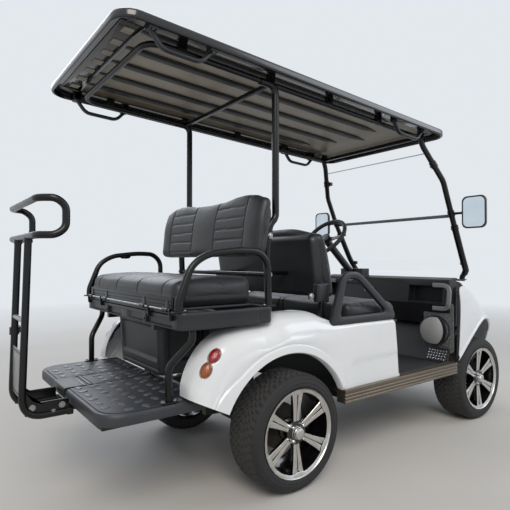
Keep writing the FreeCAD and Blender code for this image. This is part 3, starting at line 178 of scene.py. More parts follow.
def frames_along(path: Array) -> tuple[Array, Array, Array]:
    """Tangent and two normals at each point of a path, the normals carried along without twist.

    Args:
        path: points by 3.

    Returns:
        Tangents, first normals and second normals, each points by 3.
    """
    tangent = np.gradient(path, axis=0)
    tangent /= np.linalg.norm(tangent, axis=1, keepdims=True)
    first = np.zeros_like(tangent)
    guess = np.eye(3)[np.argmin(np.abs(tangent[0]))]
    first[0] = np.cross(tangent[0], guess)
    first[0] /= np.linalg.norm(first[0])
    for step in range(1, len(path)):
        carried = first[step - 1] - tangent[step] * (first[step - 1] @ tangent[step])
        first[step] = carried / np.linalg.norm(carried)
    return tangent, first, np.cross(tangent, first)


def bent(corners: Sequence[Sequence[float]], bend: float, arc_steps: int = 7) -> Array:
    """Round the corners of a line: each corner P becomes a quadratic curve between two points on its runs.

    The curve is (1-t)^2 A + 2 t (1-t) P + t^2 B, with A and B at the bend's reach from P.
    """
    spots = [np.asarray(corner, float) for corner in corners]
    line = [spots[0][None]]
    t = np.linspace(0, 1, arc_steps)[:, None]
    for before, spot, after in zip(spots, spots[1:], spots[2:]):
        back, ahead = before - spot, after - spot
        reach = min(bend, 0.48 * np.linalg.norm(back), 0.48 * np.linalg.norm(ahead))
        a = spot + back / np.linalg.norm(back) * reach
        b = spot + ahead / np.linalg.norm(ahead) * reach
        line.append((1 - t) ** 2 * a + 2 * t * (1 - t) * spot + t ** 2 * b)
    line.append(spots[-1][None])
    return np.vstack(line)


def tube(path: Array, radius: float | Array, sides: int = 14) -> Patch:
    """Tube along a path: centre + radius (n1 cos a + n2 sin a) at each point, closed by caps."""
    path = np.asarray(path, float)
    _, one, two = frames_along(path)
    angle = np.linspace(0, 2 * math.pi, sides, endpoint=False)
    radii = np.broadcast_to(np.asarray(radius, float), (len(path),))[:, None, None]
    ring = one[:, None] * np.cos(angle)[None, :, None] + two[:, None] * np.sin(angle)[None, :, None]
    return grid(path[:, None] + radii * ring, wrap_v=True, caps=True)


def bar(start: Point, stop: Point, radius: float, sides: int) -> Patch:
    """Straight round bar between two points."""
    return tube(np.linspace(start, stop, 3), radius, sides)


def sweep(path: Array, section: Array, up: Sequence[float], closed: bool = False,
          scale: Array | None = None) -> Patch:
    """Carry a closed section along a path.

    A section point (s, t) lands at centre + s n1 + t n2, where n1 is the up direction made square to the
    path and n2 is the path's direction x n1.

    Args:
        path: points by 3.
        section: section points by 2.
        up: direction that n1 keeps near.
        closed: whether the path joins itself.
        scale: factors on s and t at each path point, points by 2.

    Returns:
        The closed surface.
    """
    path = np.asarray(path, float)
    ahead = np.roll(path, -1, 0) - np.roll(path, 1, 0) if closed else np.gradient(path, axis=0)
    ahead /= np.linalg.norm(ahead, axis=1, keepdims=True)
    one = np.asarray(up, float) - ahead * (ahead @ np.asarray(up, float))[:, None]
    one /= np.linalg.norm(one, axis=1, keepdims=True)
    two = np.cross(ahead, one)
    local = section[None] * (np.ones((1, 1, 2)) if scale is None else scale[:, None])
    points = path[:, None] + one[:, None] * local[..., :1] + two[:, None] * local[..., 1:]
    return grid(points, wrap_u=closed, wrap_v=True, caps=not closed)


def lathe(profile: Sequence[Sequence[float]], steps: int = 64, closed: bool = False) -> Patch:
    """Turn a profile of (radius, station) about Y: x = r cos a, z = r sin a, y = station.

    An open profile starts and ends at the axis, where its radius is held at 0.1 mm and capped.
    """
    shape = np.asarray(profile, float)
    angle = np.linspace(0, 2 * math.pi, steps, endpoint=False)[None]
    radius = np.maximum(shape[:, :1], 0.0 if closed else 0.0001)
    station = np.broadcast_to(shape[:, 1:], (len(shape), steps))
    points = np.stack([radius * np.cos(angle), station, radius * np.sin(angle)], -1)
    uv = np.stack([np.broadcast_to(angle, station.shape), np.broadcast_to(radius, station.shape)], -1)
    return grid(points, wrap_u=closed, wrap_v=True, caps=not closed, uv=uv)


# Rotations that carry the Y axis of a lathe onto X, up onto Z and down onto -Z
Y_TO_X = np.array([[0.0, 1.0, 0.0], [-1.0, 0.0, 0.0], [0.0, 0.0, 1.0]])
Y_TO_Z = np.array([[1.0, 0.0, 0.0], [0.0, 0.0, -1.0], [0.0, 1.0, 0.0]])
Y_TO_MINUS_Z = Y_TO_Z.T


def about_y(degrees: float) -> Array:
    """Rotation about Y that tips Z towards X."""
    turn = math.radians(degrees)
    return np.array([[math.cos(turn), 0, math.sin(turn)], [0, 1, 0], [-math.sin(turn), 0, math.cos(turn)]])


def about_z(degrees: float) -> Array:
    """Rotation about Z that turns X towards Y."""
    turn = math.radians(degrees)
    return np.array([[math.cos(turn), -math.sin(turn), 0], [math.sin(turn), math.cos(turn), 0], [0, 0, 1]])


def disc(radius: float, height: float, edge: float = 0.001, steps: int = 32) -> Patch:
    """Round button about Y from station 0 to its height, with a quarter-round top edge."""
    turn = np.linspace(0, math.pi / 2, 4)
    rim = [(radius - edge * (1 - math.cos(a)), height - edge * (1 - math.sin(a))) for a in turn]
    return lathe([(0.0, 0.0), (radius, 0.0)] + rim + [(0.0, height)], steps)


def hex_bolt(size: float) -> Patch:
    """Hexagon head on a round washer, standing on station 0 and looking along Y; size is across corners."""
    washer = lathe([(0.0, 0.0), (size * 0.78, 0.0), (size * 0.80, size * 0.04), (size * 0.78, size * 0.10),
                    (0.0, size * 0.10)], 20)
    head = lathe([(0.0, size * 0.09), (size * 0.5, size * 0.09), (size * 0.5, size * 0.40),
                  (size * 0.42, size * 0.46), (0.0, size * 0.46)], 6)
    shift = len(washer.points)
    return Patch(np.vstack([washer.points, head.points]),
                 washer.faces + [group + shift for group in head.faces])


def round_rect(half_u: float, half_v: float, radius: float, side_steps: int = 10,
               corner_steps: int = 7) -> Array:
    """Rectangle with quarter-circle corners about the origin, its sides divided evenly."""
    radius = min(radius, half_u * 0.999, half_v * 0.999)
    turn = np.linspace(0, math.pi / 2, corner_steps)
    share = np.linspace(0, 1, side_steps + 1)[1:-1, None]
    centres = np.array([(1, 1), (-1, 1), (-1, -1), (1, -1)]) * (half_u - radius, half_v - radius)
    arcs = []
    for quarter, centre in enumerate(centres):
        angle = turn + quarter * math.pi / 2
        arcs.append(centre + radius * np.stack([np.cos(angle), np.sin(angle)], -1))
    parts = []
    for quarter, arc in enumerate(arcs):
        ahead = arcs[(quarter + 1) % 4][0]
        parts += [arc, arc[-1] + share * (ahead - arc[-1])]
    return np.vstack(parts)


def stacked(rings: Sequence[tuple[Array, float]], plane: "Plane",
            slots: Sequence[int] | None = None) -> Patch:
    """Loft outlines with as many points each, at stations along the third axis, and cap both ends."""
    u, v, w = plane.value
    points = np.zeros((len(rings), len(rings[0][0]), 3))
    for row, (ring, station) in enumerate(rings):
        points[row, :, u] = ring[:, 0]
        points[row, :, v] = ring[:, 1]
        points[row, :, w] = station
    return grid(points, wrap_v=True, caps=True, slots=None if slots is None else np.array(slots)[:, None])


def window(value: Array, low: float, high: float, soft: float) -> Array:
    """Rise to 1 inside a range and fall back to 0 outside it, each over a soft distance."""
    return smoothstep(low, low + soft, value) * (1 - smoothstep(high - soft, high, value))


def rounded_outline(corners: Sequence[Sequence[float]], steps: int = 6) -> Array:
    """Close an outline of (u, v, radius) corners, each rounded by a quadratic curve of its own reach."""
    count = len(corners)
    spots = [np.asarray(corner[:2], float) for corner in corners]
    t = np.linspace(0, 1, steps)[:, None]
    parts = []
    for index, corner in enumerate(corners):
        reach = corner[2] if len(corner) > 2 else 0.0
        spot = spots[index]
        if reach <= 0:
            parts.append(spot[None])
            continue
        back, ahead = spots[index - 1] - spot, spots[(index + 1) % count] - spot
        a = spot + back / np.linalg.norm(back) * min(reach, 0.49 * np.linalg.norm(back))
        b = spot + ahead / np.linalg.norm(ahead) * min(reach, 0.49 * np.linalg.norm(ahead))
        parts.append((1 - t) ** 2 * a + 2 * t * (1 - t) * spot + t ** 2 * b)
    return np.vstack(parts)


def rounded_box(low: tuple[float, float], high: tuple[float, float], reach: float, steps: int = 5) -> Array:
    """Outline of a rectangle between two corners, all four rounded by one reach."""
    (u0, v0), (u1, v1) = low, high
    return rounded_outline([(u0, v0, reach), (u1, v0, reach), (u1, v1, reach), (u0, v1, reach)], steps)


def inward(outline: Array, depth: float) -> Array:
    """Move each point of a closed outline inward along the mean normal of its two edges."""
    ahead = np.roll(outline, -1, 0) - outline
    ahead /= np.maximum(np.linalg.norm(ahead, axis=1, keepdims=True), 1e-9)
    normal = np.stack([-ahead[:, 1], ahead[:, 0]], -1)
    area = np.sum(outline[:, 0] * np.roll(outline[:, 1], -1) - np.roll(outline[:, 0], -1) * outline[:, 1])
    mean = normal + np.roll(normal, 1, 0)
    mean /= np.maximum(np.sum(mean * normal, axis=1, keepdims=True), 0.35)
    return outline + mean * depth * (1 if area > 0 else -1)


class Plane(Enum):
    """The plane that an outline is drawn on; the slab's thickness runs along the remaining axis."""

    XY = (0, 1, 2)
    XZ = (0, 2, 1)
    YZ = (1, 2, 0)


def slab(outline: Array, plane: Plane, low: float, high: float, edge: float = 0.004,
         steps: int = 4) -> Patch:
    """Slab of an outline with quarter-round edges.

    The ring at angle a of an edge lies edge (1 - cos a) inside the outline and edge (1 - sin a) from the
    face.

    Args:
        outline: closed outline, points by 2.
        plane: plane of the outline.
        low: lower station along the third axis.
        high: upper station along the third axis.
        edge: edge radius.
        steps: rings in an edge.

    Returns:
        The closed slab.
    """
    angle = np.linspace(0, math.pi / 2, steps)
    depth = edge * (1 - np.cos(angle))
    rise = edge * (1 - np.sin(angle))
    rings = [(inward(outline, d), low + r) for d, r in zip(depth[::-1], rise[::-1])]
    rings += [(inward(outline, d), high - r) for d, r in zip(depth, rise)]
    return stacked(rings, plane)


def brick(low: Point, high: Point, edge: float = 0.004) -> Patch:
    """Block between two corners with rounded edges, a slab whose outline corners are rounded alike."""
    return slab(rounded_box(low[:2], high[:2], edge, 4), Plane.XY, low[2], high[2], edge)


def frame_ring(outer: Array, inner: Array, plane: Plane, low: float, high: float, edge: float) -> Patch:
    """Flat frame between an outer and an inner outline of as many points, with rounded edges.

    Its section is a loop of twelve points: each face of the frame, and three points round each edge.
    """
    outer_in = [inward(outer, edge * share) for share in (0.0, 0.3, 1.0)]
    inner_out = [inward(inner, -edge * share) for share in (0.0, 0.3, 1.0)]
    drop = (edge, edge * 0.3, 0.0)
    loop = [(ring, high - down) for ring, down in zip(outer_in, drop)]
    loop += [(ring, high - down) for ring, down in zip(inner_out[::-1], drop[::-1])]
    loop += [(ring, low + up) for ring, up in zip(inner_out, drop)]
    loop += [(ring, low + up) for ring, up in zip(outer_in[::-1], drop[::-1])]
    u, v, w = plane.value
    points = np.zeros((len(loop), len(outer), 3))
    for row, (ring, station) in enumerate(loop):
        points[row, :, u] = ring[:, 0]
        points[row, :, v] = ring[:, 1]
        points[row, :, w] = station
    return grid(points, wrap_u=True, wrap_v=True)


def spline(values: Array, spots: Array) -> Array:
    """Catmull-Rom curve through rows of values, read at spots from 0 to rows - 1."""
    count = len(values)
    padded = np.concatenate([2 * values[:1] - values[1:2], values, 2 * values[-1:] - values[-2:-1]])
    cell = np.clip(np.floor(spots).astype(int), 0, count - 2)
    t = (spots - cell).reshape((-1,) + (1,) * (values.ndim - 1))
    a, b, c, d = (padded[cell + shift] for shift in range(4))
    return 0.5 * (2 * b + (c - a) * t + (2 * a - 5 * b + 4 * c - d) * t ** 2
                  + (3 * b - a - 3 * c + d) * t ** 3)


def net_surface(net: Array, rows: int, cols: int) -> Array:
    """Smooth surface through a net of points, by a Catmull-Rom curve along one way and then the other."""
    along = spline(net, np.linspace(0, net.shape[0] - 1, rows))
    across = spline(np.swapaxes(along, 0, 1), np.linspace(0, net.shape[1] - 1, cols))
    return np.swapaxes(across, 0, 1)


def shell(points: Array, depth: float, rows_wrap: bool = False) -> Patch:
    """Give a surface a wall: a second one lies depth behind it along the normals, joined round the rim."""
    du = np.gradient(points, axis=0)
    dv = np.gradient(points, axis=1)
    normal = np.cross(dv, du)
    normal /= np.maximum(np.linalg.norm(normal, axis=2, keepdims=True), 1e-9)
    inner = points - normal * depth
    both = np.concatenate([points, inner[::-1]], 0)
    rows, cols = points.shape[:2]
    patch = grid(both, wrap_u=True, wrap_v=rows_wrap)
    if rows_wrap:
        return patch
    index = np.arange(2 * rows * cols).reshape(2 * rows, cols)
    front, back = index[:rows], index[rows:][::-1]
    left = np.stack([front[:-1, 0], front[1:, 0], back[1:, 0], back[:-1, 0]], -1)
    right = np.stack([front[1:, -1], front[:-1, -1], back[:-1, -1], back[1:, -1]], -1)
    return Patch(patch.points, patch.faces + [left, right])


def resample(outline: Array, count: int) -> Array:
    """Read a closed outline at even steps of its length."""
    closed = np.vstack([outline, outline[:1]])
    run = np.concatenate([[0], np.cumsum(np.linalg.norm(np.diff(closed, axis=0), axis=1))])
    spots = np.linspace(0, run[-1], count, endpoint=False)
    return np.stack([np.interp(spots, run, closed[:, axis]) for axis in range(closed.shape[1])], -1)


def stations(half: float, seams: Sequence[float], step: float, fine: float = 0.004) -> Array:
    """Stations from -half to half about a step apart, with close ones on both sides of each seam."""
    near = (-2.5 * fine, -fine, 0.0, fine, 2.5 * fine)
    marks = sorted([-half, half] + [seam + shift for seam in seams for shift in near])
    parts = []
    for low, high in zip(marks, marks[1:]):
        count = max(2, int(math.ceil((high - low) / step)) + 1)
        parts.append(np.linspace(low, high, count)[:-1])
    return np.append(np.concatenate(parts), half)


def rib_gap(height: Array, start: float, pitch: float = 0.055) -> Array:
    """Distance to the nearest rib of a row that starts at a height and repeats every pitch."""
    return np.abs((height - start + pitch / 2) % pitch - pitch / 2)


def sewn(gap: Array) -> Array:
    """How deep a sewn line draws the vinyl in: 1 within a millimetre of it, nothing from 5 mm on."""
    return 1 - smoothstep(0.001, 0.005, gap)


def make_object(name: str, patches: Sequence[Patch], materials: Sequence["Finish | Material"], body: str,
                smooth: float = 32.0, stands_for: Sequence[str] = (),
                weld: bool = True) -> Piece:
    """Put surfaces into one mesh object that rides on a body.

    Args:
        name: piece name.
        patches: the surfaces.
        materials: finishes or materials by number.
        body: body that it rides on.
        smooth: edges below this angle in degrees shade smooth.
        stands_for: nodes of the frame that it replaces.
        weld: whether points that coincide become one.

    Returns:
        The object.
    """
    patches = [patch.outward() for patch in patches]
    points, quads, tris, quad_slots, tri_slots, uvs = [], [], [], [], [], []
    start = 0
    has_uv = any(patch.uv is not None for patch in patches)
    for patch in patches:
        points.append(patch.points)
        uvs.append(patch.uv if patch.uv is not None else np.zeros((len(patch.points), 2)))
        for group, number in zip(patch.faces, patch.slot):
            into, numbers = (quads, quad_slots) if group.shape[1] == 4 else (tris, tri_slots)
            into.append(group + start)
            numbers.append(np.full(len(group), number))
        start += len(patch.points)
    points = np.vstack(points)
    quads = np.vstack(quads) if quads else np.zeros((0, 4), int)
    tris = np.vstack(tris) if tris else np.zeros((0, 3), int)
    mesh = bpy.data.meshes.new(name)
    loops = np.concatenate([quads.ravel(), tris.ravel()]).astype(np.int32)
    sizes = np.concatenate([np.full(len(quads), 4), np.full(len(tris), 3)])
    mesh.vertices.add(len(points))
    mesh.vertices.foreach_set("co", points.astype(np.float32).ravel())
    mesh.loops.add(len(loops))
    mesh.loops.foreach_set("vertex_index", loops)
    mesh.polygons.add(len(sizes))
    mesh.polygons.foreach_set("loop_start", np.concatenate([[0], np.cumsum(sizes)[:-1]]).astype(np.int32))
    mesh.polygons.foreach_set("material_index", np.concatenate(quad_slots + tri_slots).astype(np.int32))
    mesh.polygons.foreach_set("use_smooth", np.ones(len(sizes), bool))
    if has_uv:
        layer = mesh.uv_layers.new(name="surface")
        layer.data.foreach_set("uv", np.vstack(uvs)[loops].astype(np.float32).ravel())
    mesh.update(calc_edges=True)
    mesh.validate()
    if weld:
        work = bmesh.new()
        work.from_mesh(mesh)
        bmesh.ops.remove_doubles(work, verts=work.verts, dist=2e-6)
        work.to_mesh(mesh)
        work.free()
    mesh.set_sharp_from_angle(angle=math.radians(smooth))
    for material in materials:
        mesh.materials.append(material.material() if isinstance(material, Finish) else material)
    obj = bpy.data.objects.new(name, mesh)
    bpy.context.scene.collection.objects.link(obj)
    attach(obj, body)
    if stands_for:
        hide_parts(*stands_for)
    return obj


# Finishes


def linear(code: str) -> Colour:
    """Turn an sRGB hex colour into linear red, green, blue and alpha."""
    parts = [int(code[i:i + 2], 16) / 255 for i in (1, 3, 5)]
    light = [c / 12.92 if c <= 0.04045 else ((c + 0.055) / 1.055) ** 2.4 for c in parts]
    return (light[0], light[1], light[2], 1.0)


def add_node(tree: Tree, kind: str, settings: dict | None = None,
             links: dict | None = None) -> Node:
    """Add a node with its settings and links.

    Args:
        tree: node tree.
        kind: node type.
        settings: property or input name (or input number) and value.
        links: input name or number and the socket that feeds it.

    Returns:
        The node.
    """
    node = tree.nodes.new(kind)
    for key, value in (settings or {}).items():
        if isinstance(key, str) and key not in node.inputs and hasattr(node, key):
            setattr(node, key, value)
        else:
            node.inputs[key].default_value = value
    for key, socket in (links or {}).items():
        tree.links.new(socket, node.inputs[key])
    return node


def start_material(name: str, shader: dict) -> tuple[Tree, Node, Socket]:
    """Make a material with one principled shader and give its tree, the shader and object coordinates."""
    material = bpy.data.materials.new(name)
    material.use_nodes = True
    tree = material.node_tree
    tree.nodes.clear()
    bsdf = add_node(tree, "ShaderNodeBsdfPrincipled", shader)
    add_node(tree, "ShaderNodeOutputMaterial", None, {"Surface": bsdf.outputs[0]})
    coords = add_node(tree, "ShaderNodeTexCoord").outputs["Object"]
    return tree, bsdf, coords


def noise(tree: Tree, coords: Socket, size_mm: float, detail: float = 3.0,
          stretch: Point = (1.0, 1.0, 1.0)) -> Socket:
    """Noise whose blobs are about size_mm wide, stretched along an axis where a factor is below 1."""
    mapped = add_node(tree, "ShaderNodeMapping", {"Scale": stretch}, {"Vector": coords}).outputs[0]
    settings = {"Scale": 1000.0 / size_mm, "Detail": detail}
    return add_node(tree, "ShaderNodeTexNoise", settings, {"Vector": mapped}).outputs[0]


def blend_colour(tree: Tree, factor: Socket, low: float, high: float, one: str,
                 other: str) -> Socket:
    """Ramp from one colour to another as a factor rises from low to high."""
    ramp = add_node(tree, "ShaderNodeValToRGB", None, {"Fac": factor})
    ramp.color_ramp.elements[0].position = low
    ramp.color_ramp.elements[1].position = high
    ramp.color_ramp.elements[0].color = linear(one)
    ramp.color_ramp.elements[1].color = linear(other)
    return ramp.outputs[0]


def map_range(tree: Tree, value: Socket, limits: dict) -> Socket:
    """Carry a value from one range onto another; a limit that isn't named is 0 or 1."""
    return add_node(tree, "ShaderNodeMapRange", limits, {"Value": value}).outputs[0]


def span(tree: Tree, value: Socket, low: float, high: float) -> Socket:
    """Carry a 0 to 1 value onto a range."""
    return map_range(tree, value, {"To Min": low, "To Max": high})


def product(tree: Tree, one: Socket, other: Socket) -> Socket:
    """Multiply two values."""
    return add_node(tree, "ShaderNodeMath", {"operation": "MULTIPLY"}, {0: one, 1: other}).outputs[0]


def dress(tree: Tree, bsdf: Node, colour: Socket,
          rough: Socket, bump: Node | None = None) -> None:
    """Feed a shader its colour, its roughness and, where there is one, its bump."""
    tree.links.new(colour, bsdf.inputs["Base Color"])
    tree.links.new(rough, bsdf.inputs["Roughness"])
    if bump is not None:
        tree.links.new(bump.outputs[0], bsdf.inputs["Normal"])


@dataclass(frozen=True)
class Finish:
    """Moulded, painted or coated surface: two close tones, a roughness range and a fine relief."""

    name: str
    tone: str
    second: str
    rough: tuple[float, float]
    patch_mm: float = 180.0
    grain_mm: float = 1.2
    relief_mm: float = 0.05
    metallic: float = 0.0
    ior: float = 1.5
    coat: float = 0.0
    coat_rough: float = 0.05
    grain_detail: float = 2.0
    dust: str | None = None

    def material(self) -> Material:
        """Build the material, or give it back where it is there already."""
        if self.name in bpy.data.materials:
            return bpy.data.materials[self.name]
        tree, bsdf, coords = start_material(self.name, {
            "Metallic": self.metallic, "IOR": self.ior, "Coat Weight": self.coat,
            "Coat Roughness": self.coat_rough,
        })
        broad = noise(tree, coords, self.patch_mm, 4.0)
        fine = noise(tree, coords, self.grain_mm, self.grain_detail)
        colour = blend_colour(tree, broad, 0.3, 0.7, self.tone, self.second)
        if self.dust:
            height = add_node(tree, "ShaderNodeSeparateXYZ", None, {"Vector": coords}).outputs["Z"]
            low = map_range(tree, height, {"From Min": 0.55, "From Max": 0.05, "To Max": 0.5})
            colour = add_node(tree, "ShaderNodeMix", {"data_type": "RGBA", 7: linear(self.dust)},
                              {0: product(tree, low, broad), 6: colour}).outputs[2]
        relief = {"Strength": 1.0, "Distance": self.relief_mm * MM}
        bump = add_node(tree, "ShaderNodeBump", relief, {"Height": fine})
        dress(tree, bsdf, colour, span(tree, broad, *self.rough), bump)
        return bpy.data.materials[self.name]


# Two-part acrylic enamel over moulded ABS: clear and deep, with faint orange peel
WHITE_ENAMEL = Finish("white_enamel", "#e4e8ec", "#dfe4e9", (0.16, 0.24), 300, 6.0, 0.012, coat=0.6,
                      coat_rough=0.04)
# Powder coat on steel tube: even semi-gloss with a pebble that breaks the highlight
POWDER_COAT = Finish("powder_coat", "#08090a", "#0e0f11", (0.22, 0.34), 120, 1.6, 0.03, ior=1.42)
# Chassis paint, dusty low down, dull from road grime
CHASSIS_PAINT = Finish("chassis_paint", "#17181a", "#232323", (0.45, 0.7), 60, 2.5, 0.06, dust="#6d6253")
# Cast and bare steel under a thin dark film, brownish where it has weathered
DARK_STEEL = Finish("dark_steel", "#3a3a3b", "#4b453f", (0.38, 0.6), 35, 1.5, 0.06, metallic=0.75,
                    dust="#6d6253")
# Polypropylene with a leather-like mould grain: grey sheen, no mirror highlight
GRAINED_POLYPROPYLENE = Finish("grained_polypropylene", "#2a2d32", "#33363c", (0.40, 0.54), 150, 0.9, 0.06)
# The same on the tops of the tread bars, rubbed paler by shoes
WORN_POLYPROPYLENE = Finish("worn_polypropylene", "#4c5056", "#5d6167", (0.26, 0.38), 25, 0.9, 0.03)
# Smooth ABS moulding of the tray and box: a softer and slightly lighter black
MOULDED_ABS = Finish("moulded_abs", "#1d2024", "#25282c", (0.34, 0.48), 200, 1.4, 0.035)
# Thermoformed roof sheet: polished outside
GLOSS_ROOF = Finish("gloss_roof", "#0c0d0f", "#131417", (0.14, 0.24), 260, 5.0, 0.02, coat=0.4)
# The same sheet's underside, satin with a flow pattern
SATIN_ROOF = Finish("satin_roof", "#7d7568", "#918879", (0.26, 0.42), 240, 2.2, 0.05)
# Chrome plate: bright and nearly mirror-like
CHROME = Finish("chrome", "#c9ccd0", "#bfc3c8", (0.06, 0.14), 60, 4.0, 0.004, metallic=1.0)
# Zinc-plated bolts and brackets: pale, slightly milky metal
ZINC = Finish("zinc_plate", "#a9abac", "#9a9b99", (0.28, 0.42), 12, 0.8, 0.02, metallic=1.0)
# Gloss black paint in the wheel pockets
WHEEL_BLACK = Finish("wheel_black", "#0a0a0b", "#111113", (0.12, 0.22), 80, 3.0, 0.01, coat=0.5)
# Soft-touch moulding inside the cabin; on the roof's ribs it is painted shade for the ceiling's channels
CABIN_PLASTIC = Finish("cabin_plastic", "#131417", "#1a1b1f", (0.4, 0.55), 140, 1.0, 0.05)
# Battery case
BATTERY_CASE = Finish("battery_polypropylene", "#2c3540", "#35404c", (0.35, 0.5), 120, 1.5, 0.04)
# Rubber mat and pedal pads
MAT_RUBBER = Finish("mat_rubber", "#1b1c1e", "#252628", (0.55, 0.75), 70, 1.2, 0.08)
# Grey trim moulding round the ends of the open shelf
GREY_TRIM = Finish("grey_trim", "#74777b", "#83868a", (0.38, 0.5), 120, 1.1, 0.04)
# Cast aluminium of the steering rack, pale and grainy from the mould
CAST_ALUMINIUM = Finish("cast_aluminium", "#8b8d8f", "#7a7b7c", (0.42, 0.58), 30, 1.2, 0.06, metallic=0.9)
# Pale foam pads under the roof's rear edge
PALE_PAD = Finish("foam_pad", "#8b877e", "#9a968c", (0.6, 0.75), 40, 1.5, 0.08)
# Dark translucent vinyl of the windshield's joint
SMOKED_STRIP = Finish("smoked_vinyl", "#6f767e", "#7d848c", (0.2, 0.3), 50, 3.0, 0.01)
# Pale anodised plate between the grab bar's uprights and the meter's marks
GREY_PLATE = Finish("pale_anodised_plate", "#9a9da0", "#a6a9ab", (0.34, 0.46), 60, 0.9, 0.02, metallic=0.5)
# Moulded carpet on the door jamb, speckled grey
JAMB_CARPET = Finish("moulded_carpet", "#3a3c3f", "#76797c", (0.8, 0.95), 9, 2.0, 0.3)
# Polished diamond plate on the toe board
DIAMOND_PLATE = Finish("diamond_plate", "#b4b8bc", "#c4c7ca", (0.16, 0.28), 20, 1.5, 0.02, metallic=0.8)
# Matt printed face of the charge meter
DIAL_FACE = Finish("dial_face", "#0b0c0e", "#101215", (0.5, 0.6), 20, 0.8, 0.01)


def perforated_steel() -> Material:
    """Perforated steel sheet, silver lacquered: round holes 4.5 mm apart that show dark."""
    name = "perforated_steel"
    if name in bpy.data.materials:
        return bpy.data.materials[name]
    tree, bsdf, coords = start_material(name, {"Metallic": 0.15})
    flat = add_node(tree, "ShaderNodeMapping", {"Scale": (0.0, 1.0, 1.0)}, {"Vector": coords}).outputs[0]
    pattern = {"Scale": 1000.0 / 4.5, "Randomness": 0.0}
    holes = add_node(tree, "ShaderNodeTexVoronoi", pattern, {"Vector": flat}).outputs[0]
    colour = blend_colour(tree, holes, 0.24, 0.32, "#242526", "#aeb1b3")
    bump = add_node(tree, "ShaderNodeBump", {"Distance": 0.0004}, {"Height": holes})
    dress(tree, bsdf, colour, span(tree, noise(tree, coords, 30, 2.0), 0.3, 0.42), bump)
    return bpy.data.materials[name]


def rings_about_axle(tree: Tree, pitch: float) -> tuple[Socket, Socket]:
    """Distance from the axle in metres, off the piece's own map, and a wave in it with a pitch."""
    surface = add_node(tree, "ShaderNodeUVMap", {"uv_map": "surface"}).outputs[0]
    radius = add_node(tree, "ShaderNodeSeparateXYZ", None, {"Vector": surface}).outputs["Y"]
    turns = add_node(tree, "ShaderNodeMath", {"operation": "MULTIPLY", 1: 2 * math.pi / pitch}, {0: radius})
    wave = add_node(tree, "ShaderNodeMath", {"operation": "SINE"}, {0: turns.outputs[0]})
    return radius, wave.outputs[0]


def tyre_rubber() -> Material:
    """Vulcanised rubber: charcoal grey, dusty at the tread, with mould rings 1.2 mm apart on the wall."""
    name = "vulcanised_rubber"
    if name in bpy.data.materials:
        return bpy.data.materials[name]
    tree, bsdf, coords = start_material(name, {"IOR": 1.52})
    radius, rings = rings_about_axle(tree, 0.0012)
    broad = noise(tree, coords, 45, 5.0)
    fine = noise(tree, coords, 1.6, 3.0)
    base = blend_colour(tree, broad, 0.25, 0.75, "#17181a", "#232426")
    # Road dust grows over the outer 8 mm
    outer = map_range(tree, radius, {"From Min": 0.2660, "From Max": 0.2735})
    dusty = product(tree, outer, span(tree, fine, 0.15, 0.7))
    colour = add_node(tree, "ShaderNodeMix", {"data_type": "RGBA", 7: linear("#4b4a48")},
                      {0: dusty, 6: base})
    height = add_node(tree, "ShaderNodeMath", {"operation": "MULTIPLY_ADD", 1: 0.12}, {0: rings, 2: fine})
    bump = add_node(tree, "ShaderNodeBump", {"Distance": 0.00025}, {"Height": height.outputs[0]})
    dress(tree, bsdf, colour.outputs[2], span(tree, broad, 0.62, 0.85), bump)
    return bpy.data.materials[name]


def turned_aluminium() -> Material:
    """Diamond-cut aluminium alloy: bright, with rings from the cutter about the axle.

    The real rings are a tenth of a millimetre apart; they are drawn 0.9 mm apart so that they show.
    """
    name = "turned_aluminium"
    if name in bpy.data.materials:
        return bpy.data.materials[name]
    tree, bsdf, coords = start_material(name, {"Metallic": 1.0})
    _, rings = rings_about_axle(tree, 0.0009)
    broad = noise(tree, coords, 40, 3.0)
    colour = blend_colour(tree, broad, 0.3, 0.7, "#c3c1bd", "#d5d4d1")
    bump = add_node(tree, "ShaderNodeBump", {"Strength": 0.35, "Distance": 0.00008}, {"Height": rings})
    dress(tree, bsdf, colour, span(tree, broad, 0.2, 0.32), bump)
    return bpy.data.materials[name]


def seat_vinyl() -> Material:
    """Marine vinyl: black with a leather-like emboss about 1.4 mm wide and a soft satin sheen."""
    name = "upholstery_vinyl"
    if name in bpy.data.materials:
        return bpy.data.materials[name]
    tree, bsdf, coords = start_material(name, {"IOR": 1.5, "Sheen Weight": 0.08, "Sheen Roughness": 0.5})
    broad = noise(tree, coords, 160, 4.0)
    pattern = {"Scale": 1000.0 / 1.8, "feature": "DISTANCE_TO_EDGE"}
    cells = add_node(tree, "ShaderNodeTexVoronoi", pattern, {"Vector": coords}).outputs[0]
    creases = noise(tree, coords, 22, 5.0)
    colour = blend_colour(tree, broad, 0.3, 0.7, "#15181c", "#1f2328")
    emboss = add_node(tree, "ShaderNodeBump", {"Strength": 0.6, "Distance": 0.00012}, {"Height": cells})
    bump = add_node(tree, "ShaderNodeBump", {"Strength": 0.5, "Distance": 0.0012},
                    {"Height": creases, "Normal": emboss.outputs[0]})
    dress(tree, bsdf, colour, span(tree, creases, 0.36, 0.52), bump)
    return bpy.data.materials[name]


